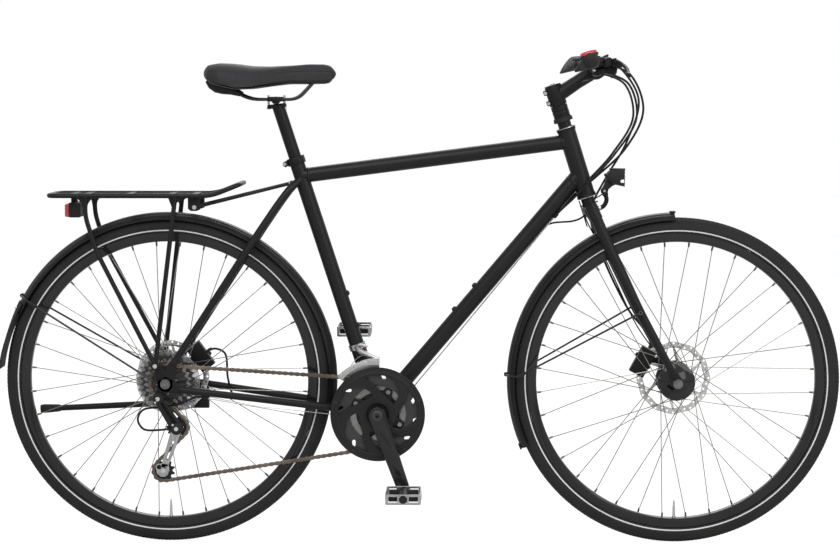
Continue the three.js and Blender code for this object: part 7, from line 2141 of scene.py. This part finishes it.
@dataclass
class Carrier:
    """The rear carrier with its straps, struts, gussets and rear light."""

    height: float = 750.0
    rear: float = -246.0
    front: float = 99.0
    tip: float = 159.0
    rise: float = 24.0
    half: float = 62.0
    foot_y: float = 79.1
    rod_radius: float = 5.0
    thin_rod_radius: float = 3.2
    strut_radius: float = 3.5
    bend: float = 22.0
    middle_rod_y: float = 22.0
    strut_y: float = 42.0
    light_x: float = -200.0

    def build(self) -> None:
        """Builds the carrier, its bolts and the light under it."""
        h, w = self.height, self.half
        rail = [(self.rear, 0, h), (self.rear, w, h), (self.front, w, h), (self.tip, w, h + self.rise),
                (self.tip, 0, h + self.rise)]
        runs = [even(rounded_route([(x, side * y, z) for x, y, z in rail], bend=self.bend, steps=8),
                     self.rod_radius) for side in (LEFT_SIDE, DRIVE_SIDE)]
        for y in (-self.middle_rod_y, self.middle_rod_y):
            runs.append(even([(self.rear + 2, y, h), (self.front - 6, y, h),
                              (self.tip - 2, y, h + self.rise - 1)], self.thin_rod_radius))
        for side in BOTH_SIDES:
            foot = (-20, side * self.foot_y, AXLE_HEIGHT + 40)
            rear_leg = [(-165, side * w, h), (-168, side * w, h - 40), (-144, side * w, h - 118), foot]
            runs.append(even(rounded_route(rear_leg, bend=self.bend, steps=8), self.rod_radius))
            runs.append(even([(24, side * w, h), foot], self.rod_radius))
            runs.append(stepped(foot, (0, side, 0), ((-4, 9), (4, 9))))
            runs.append(even([(60, side * self.strut_y, h - 26), self.strut_end(side)], self.strut_radius))
        shapes = [tubing("rods", runs, WHOLE, sides=20)]
        for x in (self.rear + 76, self.rear + 166, self.rear + 255, self.front - 3.5, 60, self.light_x):
            shapes.append(block("strap", (x, 0, h + 1.2), (13, 2 * w, 3.4), WHOLE, edge=0.9))
        for side in BOTH_SIDES:
            gusset = [(-186, h - 2), (-150, h - 2), (-160, h - 16), (-166, h - 34), (-171, h - 34),
                      (-174, h - 16)]
            shapes.append(plate("gusset", [gusset], thickness=2, place=placed((0, side * w, 0)), edge=0.3))
            front = [(8, h - 2), (44, h - 2), (28, h - 14), (22, h - 26), (17, h - 26)]
            shapes.append(plate("gusset", [front], thickness=2, place=placed((0, side * w, 0)), edge=0.3))
            strut = [(48, h), (74, h), (74, h - 30), (66, h - 33), (54, h - 33), (48, h - 28)]
            shapes.append(plate("strut_plate", [strut], thickness=2.6,
                                place=placed((0, side * self.strut_y, 0)), edge=0.6))
        shapes.append(block("light_plate", (self.light_x, 0, h - 9), (12, 18, 20), WHOLE, edge=1))
        hand_over(weld("carrier_frame", shapes), FRAME_BLACK, "frame", "carrier")
        bolts = []
        for side in BOTH_SIDES:
            bolts.append(even([(62, side * 43, h - 25), (62, side * 47, h - 25)], 4.6))
            bolts.append(stepped((-20, side * self.foot_y, AXLE_HEIGHT + 40), (0, side, 0),
                                 ((-8, 3), (4, 3), (4.1, 5), (7.6, 4.6))))
            end = self.strut_end(side)
            bolts.append([(end, 5.6), ((end[0] + 5, end[1], end[2]), 5.6)])
        hand_over(tubing("carrier_bolts", bolts, WHOLE, sides=14), STEEL, "frame")
        self.light()

    def strut_end(self, side: int) -> Point:
        """Where a strut meets its boss on the seat stay."""
        x, y, z = Frame().carrier_boss(side)
        return (x - 13.3, y, z)

    def light(self) -> None:
        """The rear light: a black case with a ribbed red lens and a clear middle."""
        top = self.height - 16
        case = block("rear_light_case", (self.light_x + 4, 0, top - 16), (26, 60, 32), WHOLE, edge=4)
        hand_over(case, PLASTIC_BLACK, "frame", "rear_light")
        lens = block("rear_light_lens", (self.light_x - 11, 0, top - 17), (11, 57, 28), WHOLE, edge=3.6)
        hand_over(lens, RED_LENS, "frame")
        glass = block("rear_light_reflector", (self.light_x - 16, 0, top - 22), (2.4, 30, 12), WHOLE,
                      edge=0.8)
        hand_over(glass, CLEAR_LENS, "frame")
        ribs = [block("rib", (self.light_x - 11, 0, top - 7 - 5 * k), (11.8, 57.6, 0.8), WHOLE, edge=0.2)
                for k in range(5)]
        hand_over(weld("rear_light_ribs", ribs), RED_LENS, "frame")


@dataclass
class Headlamp:
    """The front lamp on its stalk."""

    def build(self) -> None:
        """Builds the stalk and the lamp."""
        stalk = rounded_route([(17, 0, 403.4), (28, 0, 403.4), (39, 0, 414.4), (39, 0, 427)], bend=8, steps=6)
        shapes = [tubing("stalk", [even(stalk, 4.8)], STEERED, sides=20)]
        shapes += [block("ear", (39, side * 5.6, 433), (12, 2, 16), STEERED, edge=0.9) for side in BOTH_SIDES]
        hand_over(weld("lamp_stalk", shapes), ALLOY_BLACK, "steering", "headlight_bracket")
        screw = tubing("lamp_stalk_screw", [even([(16, 0, 403.4), (21.5, 0, 403.4)], 5.5),
                                            even([(39, -8, 435.4), (39, 8, 435.4)], 2.6)], STEERED,
                       sides=14)
        hand_over(screw, STEEL, "steering")
        pivot = placed(on_steering(39, 0, 435.4))
        hood = plate("hood", [[(6, 22), (16, 14), (24, 13), (43, 9), (44, 48), (13, 46), (7, 40), (2, 35),
                               (2, 27)]], thickness=32, place=pivot, edge=7)
        brow = block("brow", (27, 0, 46), (32, 22, 4), pivot, edge=1.6, turn=0.02)
        neck = plate("neck", [[(-7, -5), (7, -5), (9, 3), (17, 10), (28, 15), (18, 24), (4, 26), (-1, 13),
                               (-6, 4)]], thickness=11, place=pivot, edge=3)
        heel = block("heel", (2.5, 0, 34), (6, 12, 6), pivot, edge=2)
        knuckle = tubing("knuckle", [even([(0, -4, 0), (0, 4, 0)], 7.5)], pivot, sides=24)
        hand_over(weld("headlamp_case", [hood, brow, neck, heel, knuckle]), PLASTIC_BLACK, "headlight",
                  "headlight")
        glass = block("headlamp_lens", (43.4, 0, 30), (1.6, 27, 28), pivot, edge=0.7)
        hand_over(glass, CLEAR_LENS, "headlight")
        band = block("headlamp_reflector", (37, 0, 21), (9, 32.6, 8), pivot, edge=2)
        hand_over(band, CLEAR_LENS, "headlight")


@dataclass
class Brakes:
    """The two disc brake calipers."""

    def build(self) -> None:
        """Builds both calipers with their bolts and pads."""
        front = on_steering(FORK_OFFSET, 0, 0)
        self.caliper("front", (front[0], front[2]), FRONT_CALIPER_ANGLE + STEER_TILT, "steering")
        self.caliper("rear", (0.0, AXLE_HEIGHT), REAR_CALIPER_ANGLE, "frame")

    def caliper(self, end: str, axle: Flat, angle: float, body: str) -> None:
        """One caliper: the CAD body with rounded castings, its bolts, and the cap of its piston.

        Args:
            end: Front or rear.
            axle: Its wheel's middle.
            angle: Its place round the wheel.
            body: The body that holds it.
        """
        node = f"{end}_brake_caliper"
        hand_over(copy_of(node, f"{end}_caliper_body", edge=1.6, segments=3), ALLOY_BLACK, body, node)
        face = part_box(node)[1].y / MM
        runs = []
        for out in (58.0, 92.0):
            x, _, z = on_circle(out, angle + (0.1 if out < 70 else -0.08))
            runs.append(stepped((axle[0] + x, face, axle[1] + z), TO_LEFT,
                                ((-4, 4.6), (1.6, 4.6), (1.7, 2.6), (2.6, 2.4))))
        x, _, z = on_circle(CALIPER_RADIUS, angle)
        runs.append(stepped((axle[0] + x, face, axle[1] + z), TO_LEFT, ((-2, 11), (1.2, 10.4))))
        hand_over(tubing(f"{end}_caliper_bolts", runs, WHOLE, sides=20), DARK_STEEL, body)


@dataclass
class Kickstand:
    """The kickstand: its bracket on the chain stay, and the folded leg."""

    pivot: Point = (58.0, 76.0, 292.0)

    def build(self) -> None:
        """Builds the bracket and the leg."""
        hand_over(copy_of("kickstand_bracket", "stand_bracket", edge=1.5, segments=3), ALLOY_BLACK, "frame",
                  "kickstand_bracket")
        x, y, z = self.pivot
        lean = math.radians(25)
        axis = Vector((0, math.cos(lean), math.sin(lean)))
        near, far = (Vector(self.pivot) - axis * 7, Vector(self.pivot) + axis * 7)
        leg_end = (x - 352, y, z - 17)
        foot_start = between(self.pivot, leg_end, 0.9)
        runs = [[(tuple(near), 10.4), (tuple(near.lerp(far, 0.12)), 11), (tuple(near.lerp(far, 0.88)), 11),
                 (tuple(far), 10.4)], [(self.pivot, 8), (between(self.pivot, leg_end, 0.08), 7),
                                       (foot_start, 6.4)]]
        hand_over(tubing("stand_leg", runs, WHOLE, sides=28), ALLOY_BLACK, "kickstand", "kickstand_leg")
        foot = [(between(self.pivot, leg_end, 0.88), 7.6), (between(self.pivot, leg_end, 0.9), 8.4),
                (between(self.pivot, leg_end, 0.975), 9.8), (leg_end, 9)]
        hand_over(tubing("stand_foot", [foot], WHOLE, sides=24), GRIP_BLACK, "kickstand")
        bolt = [(tuple(far - axis), 4.6), (tuple(far + axis * 2.4), 4.6)]
        hand_over(tubing("stand_bolt", [bolt], WHOLE, sides=12), STEEL, "kickstand")


DOWN_TUBE_LENGTH = 727.0
HOSE_Y = 49.0


@dataclass(frozen=True)
class Run:
    """A cord's route, thickness and what it rides on."""

    name: str
    route: tuple[Point, ...]
    radius: float
    finish: Finish
    body: str
    nodes: tuple[str, ...] = ()
    bends: bool = False
    near: Point = (880.0, 0.0, 756.0)
    far: Point = (985.0, 0.0, 950.0)

    def build(self) -> bpy.types.Object:
        points = list(self.route)
        tube = tubing(self.name, [even(points, self.radius)], WHOLE, sides=12)
        if self.bends:
            dress(tube, self.finish, *self.nodes)
            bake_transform(tube)
        else:
            hand_over(tube, self.finish, self.body, *self.nodes)
        return tube


@dataclass
class Cables:
    """Gear cables, brake hoses and the lighting cable."""

    hose_radius: float = 2.4
    wire_radius: float = 0.8

    def build(self) -> None:
        """Builds every cord, then the ends that they are held by."""
        frame = Frame()
        for side, hand in ((DRIVE_SIDE, "rear"), (LEFT_SIDE, "front")):
            nodes = (f"{hand}_shift_cable",)
            Run(f"{hand}_shift_housing", self.shift_loop(frame, side), self.hose_radius, SHEATH_BLACK,
                "steering", nodes, True).build()
        stop, far = (frame.down_tube(share, STOP_DROP, -STOP_Y) for share in (frame.stop_share, 0.82))
        rear_wire = [stop, far, (484, -9, 285), (459, -10, 258), (430, -15, 259), (398, -25, 273),
                     (343, -38, 283), (200, -53, 300), (98, -62, 321), (92, -62, 322)]
        self.wire("rear_shift_wire", rear_wire)
        stop, far = (frame.down_tube(share, STOP_DROP, STOP_Y) for share in (frame.stop_share, 0.82))
        front_wire = [stop, far, (484, 9, 285), (461, 8, 259), (438, 3, 259), (420, -4, 292),
                      (398, -9, 340), (391, -20, 385), (409, -27, 405), (421, -28, 408)]
        self.wire("front_shift_wire", front_wire)
        rear_end = [(79.7, -62, 322), (64, -62, 322), (30, -63, 308), (-8, -56, 300), (-50, -64, 294),
                    (-60, -68, 274), (-48, -68, 254), (-12, -66, 252), (10.7, -66, 255)]
        Run("rear_shift_end", tuple(smooth_route(rear_end, steps=10)), self.hose_radius, SHEATH_BLACK,
            "frame").build()
        self.hoses()
        self.lighting()

    def shift_loop(self, frame: "Frame", side: int) -> tuple[Point, ...]:
        """The housing from a shifter to its stop on the down tube.

        Args:
            frame: The frame, for its down tube.
            side: Which of the two cables it is.
        Returns:
            The route, from the shifter.
        """
        mouth = on_steering(98.5, side * 92.7, 681.9)
        loop = [mouth, (922, side * 82, 1010), (978, side * 52, 985), (996, side * 42, 915),
                (952, side * 30, 838), (902, side * 27, 782), (864, side * 22, 742),
                *(frame.down_tube(frame.stop_share + ahead / DOWN_TUBE_LENGTH, STOP_DROP, side * STOP_Y)
                  for ahead in (20.3, 6.3))]
        return tuple(smooth_route(loop, steps=10))

    def wire(self, name: str, points: Sequence[Point]) -> None:
        """One bare inner wire under tension.

        Args:
            name: The piece's name.
            points: Its route.
        """
        hand_over(tubing(name, [even(rounded_route(points, bend=8, steps=6), self.wire_radius)], WHOLE,
                         sides=10), STEEL, "frame")

    def hoses(self) -> None:
        """The two brake hoses, with their nuts."""
        port, ahead = (on_circle(CALIPER_RADIUS + out, REAR_CALIPER_ANGLE, HOSE_Y) for out in (17.3, 33.3))
        rear_start, rear_next = ((x, y, AXLE_HEIGHT + z) for x, y, z in (port, ahead))
        rear = [on_steering(111.5, -96.7, 697.9), (928, -84, 1028), (983, -48, 1003), (1012, -20, 930),
                (978, 18, 848), (916, 34, 786), (870, 33, 748), (826, 21, 713), (640, 20, 493),
                (487, 20, 308), (464, 20, 261), (428, 24, 258), (398, 29, 270), (343, 40, 282),
                (200, 54, 299), (134, 49, 310), (121, 45, 347), (114, 50, 402), (92, 50, 412), rear_start]
        Run("rear_brake_line", tuple(smooth_route(rear, steps=10)), self.hose_radius, SHEATH_BLACK,
            "steering", ("rear_brake_hose",), True, (880, 0, 756), (1000, 0, 990)).build()
        ear, up = on_circle(CALIPER_RADIUS, FRONT_CALIPER_ANGLE), on_circle(1, math.radians(44))
        ends = [(FORK_OFFSET + ear[0] + up[0] * k, 37.5, ear[2] + up[2] * k) for k in (45.3, 31.3)]
        front = [(111.5, 96.7, 697.9), (116, 82, 698), (144, 60, 686), (170, 48, 600), (120, 46, 520),
                 (52, 62, 455), (14, 68, 415), (-3, 68, 380), (-4, 64, 310), (17, 64, 168), (36, 54, 118),
                 (40, 40, 88), ends[-1]]
        Run("front_brake_line", tuple(on_steering(*p) for p in smooth_route(front, steps=10)),
            self.hose_radius, SHEATH_BLACK, "steering", ("front_brake_hose",)).build()
        nuts = []
        for start, second in ((on_steering(*front[0]), on_steering(*front[1])),
                              (on_steering(*front[-1]), on_steering(*front[-2])), (rear[0], rear[1])):
            nuts.append([(start, 4.2), (between(start, second, 0.5), 4.2),
                         (between(start, second, 0.55), 3.4), (between(start, second, 0.8), 3.1)])
        hand_over(tubing("hose_nuts", nuts, WHOLE, sides=6), GLOSS_BLACK, "steering")
        end_nut = [(rear_start, 4.2), (between(rear_start, rear_next, 0.5), 4.2),
                   (between(rear_start, rear_next, 0.55), 3.4), (between(rear_start, rear_next, 0.8), 3.1)]
        hand_over(tubing("rear_hose_nut", [end_nut], WHOLE, sides=6), GLOSS_BLACK, "frame")
        clips = [[(frame_point, 4.6), (between(frame_point, other, 0.05), 4.6)] for frame_point,
                 other in (((640, 20, 493), (487, 20, 308)), ((760, 20, 634), (487, 20, 308)),
                           ((560, 20, 396), (487, 20, 308)))]
        hand_over(tubing("hose_clips", clips, WHOLE, sides=12), PLASTIC_BLACK, "frame")

    def lighting(self) -> None:
        """The lamp's cable from the hub, along the fork blade, and the thin one to the rear light."""
        blade = [(57, 66, 22), (46, 68, 60), (24, 68, 130), (8, 64, 240), (-4, 58, 330), (-14, 38, 392),
                 (-6, 24, 424), (20, 8, 426), (34, 3, 430)]
        Run("lamp_cable", tuple(on_steering(*p) for p in smooth_route(blade, steps=10)), 1.4, SHEATH_BLACK,
            "steering").build()
        rear = [on_steering(-12, 36, 396), (882, 37, 696), (864, 34, 691), (845, 28, 690), (827, 20, 689),
                (810, 13, 685)]
        Run("rear_lamp_cable", tuple(smooth_route(rear, steps=10)), 2.0, SHEATH_BLACK, "steering", (), True,
            (842, 0, 690), (893, 0, 705)).build()


ASSEMBLIES = (Wheels, Frame, Seat, Cranks, Cassette, Chain, Changers, Fork, Cockpit, Mudguards, Carrier,
              Headlamp, Brakes, Kickstand, Cables)


def larger(owner: bpy.types.Material | bpy.types.World, first: bpy.types.NodeSocket,
           second: bpy.types.NodeSocket) -> bpy.types.NodeSocket:
    """Adds a node that passes on the larger of two values.

    Args:
        owner: The material or world that gets the node.
        first: One value.
        second: The other value.
    Returns:
        The node's result.
    """
    node = owner.node_tree.nodes.new("ShaderNodeMath")
    node.operation = "MAXIMUM"
    owner.node_tree.links.new(first, node.inputs[0])
    owner.node_tree.links.new(second, node.inputs[1])
    return node.outputs[0]


@dataclass
class Studio:
    """The floor, the lights and the camera."""

    eye: Point = (598.4, -4500.0, 983.1)
    yaw: float = -0.0131
    pitch: float = 0.0922
    focal_pixels: float = 2109.0
    picture_width: float = 840.0
    sensor: float = 36.0
    floor_size: float = 60.0
    floor_drop: float = 0.0005
    floor_grey: float = 0.16
    floor_glow: float = 0.93
    bounce_grey: float = 0.8
    sky_glow: float = 0.55

    def build(self) -> None:
        """Sets up everything that is not the bicycle."""
        bpy.context.scene.view_settings.view_transform = "Standard"
        self.camera()
        self.floor()
        self.sky()
        self.lamp("key", (-0.8, -3.2, 3.6), 2.6, 120)
        self.lamp("fill", (2.4, -2.6, 2.2), 2.2, 60)
        self.lamp("rear", (0.2, 3.0, 3.2), 2.6, 80)

    def camera(self) -> None:
        """The camera at the photograph's place and angle."""
        bpy.ops.object.camera_add(location=spot(self.eye))
        camera = bpy.context.object
        forward = Vector((math.sin(self.yaw) * math.cos(self.pitch),
                          math.cos(self.yaw) * math.cos(self.pitch), -math.sin(self.pitch)))
        camera.rotation_euler = forward.to_track_quat("-Z", "Y").to_euler()
        camera.data.sensor_width = self.sensor
        camera.data.lens = self.focal_pixels * self.sensor / self.picture_width
        camera.data.clip_end = 100
        bpy.context.scene.camera = camera

    def floor(self) -> None:
        """A pale floor that keeps a faint shadow."""
        bpy.ops.object.select_all(action="DESELECT")
        bpy.ops.mesh.primitive_plane_add(size=self.floor_size, location=(0, 0, -self.floor_drop))
        floor = bpy.context.object
        floor.name = "floor"
        material = bpy.data.materials.new("pale_floor")
        material.use_nodes = True
        nodes, wires = material.node_tree.nodes, material.node_tree.links
        paint = nodes["Principled BSDF"]
        paint.inputs["Base Color"].default_value = (*(self.floor_grey,) * 3, 1)
        paint.inputs["Roughness"].default_value = 0.9
        paint.inputs["Specular IOR Level"].default_value = 0.0
        seen = nodes.new("ShaderNodeLightPath")
        light = nodes.new("ShaderNodeEmission")
        light.inputs["Strength"].default_value = self.floor_glow
        both = nodes.new("ShaderNodeAddShader")
        choose = nodes.new("ShaderNodeMixShader")
        wires.new(paint.outputs[0], both.inputs[0])
        wires.new(light.outputs[0], both.inputs[1])
        direct = larger(material, seen.outputs["Is Camera Ray"], seen.outputs["Is Transmission Ray"])
        pale = nodes.new("ShaderNodeBsdfDiffuse")
        pale.inputs["Color"].default_value = (*(self.bounce_grey,) * 3, 1)
        wires.new(direct, choose.inputs["Fac"])
        wires.new(pale.outputs[0], choose.inputs[1])
        wires.new(both.outputs[0], choose.inputs[2])
        wires.new(choose.outputs[0], nodes["Material Output"].inputs["Surface"])
        floor.data.materials.append(material)

    def sky(self) -> None:
        """Soft light from all round, white where the camera sees it."""
        world = bpy.data.worlds.new("studio")
        bpy.context.scene.world = world
        world.use_nodes = True
        nodes, wires = world.node_tree.nodes, world.node_tree.links
        soft = nodes["Background"]
        soft.inputs["Color"].default_value = (1, 1, 1, 1)
        soft.inputs["Strength"].default_value = self.sky_glow
        white = nodes.new("ShaderNodeBackground")
        white.inputs["Strength"].default_value = 1.0
        white.inputs["Color"].default_value = (1, 1, 1, 1)
        path = nodes.new("ShaderNodeLightPath")
        direct = larger(world, path.outputs["Is Camera Ray"], path.outputs["Is Transmission Ray"])
        bright = larger(world, direct, path.outputs["Is Glossy Ray"])
        choose = nodes.new("ShaderNodeMixShader")
        wires.new(bright, choose.inputs["Fac"])
        wires.new(soft.outputs[0], choose.inputs[1])
        wires.new(white.outputs[0], choose.inputs[2])
        wires.new(choose.outputs[0], nodes["World Output"].inputs["Surface"])

    def lamp(self, name: str, place: Point, size: float, power: float) -> None:
        """One soft lamp aimed at the bicycle.

        Args:
            name: The lamp's name.
            place: Its place in metres.
            size: Its side in metres.
            power: Its power in watts.
        """
        bpy.ops.object.light_add(type="AREA", location=place)
        lamp = bpy.context.object
        lamp.name = f"{name}_lamp"
        lamp.data.size, lamp.data.energy = size, power
        lamp.rotation_euler = (Vector((0, 0, 0.5)) - Vector(place)).to_track_quat("-Z", "Y").to_euler()


def dress_kept_nodes() -> None:
    """Gives every CAD node that still shows the finish of its slot."""
    slots = {part["node"]: part["material_slot"] for part in frame["record"]["subparts"]}
    for name, node in frame["nodes"].items():
        if not node.hide_render:
            node.data.materials.clear()
            node.data.materials.append(SLOT_OF[slots[name]][0].material())
            LOG.info("%s keeps its CAD form", name)


def main() -> None:
    """Builds the bicycle in order and dresses what is left."""
    logging.basicConfig(level=logging.INFO, format="%(message)s")
    Studio().build()
    for assembly in ASSEMBLIES:
        LOG.info("building %s", assembly.__name__)
        assembly().build()
    dress_kept_nodes()


if __name__ == "__main__":
    main()
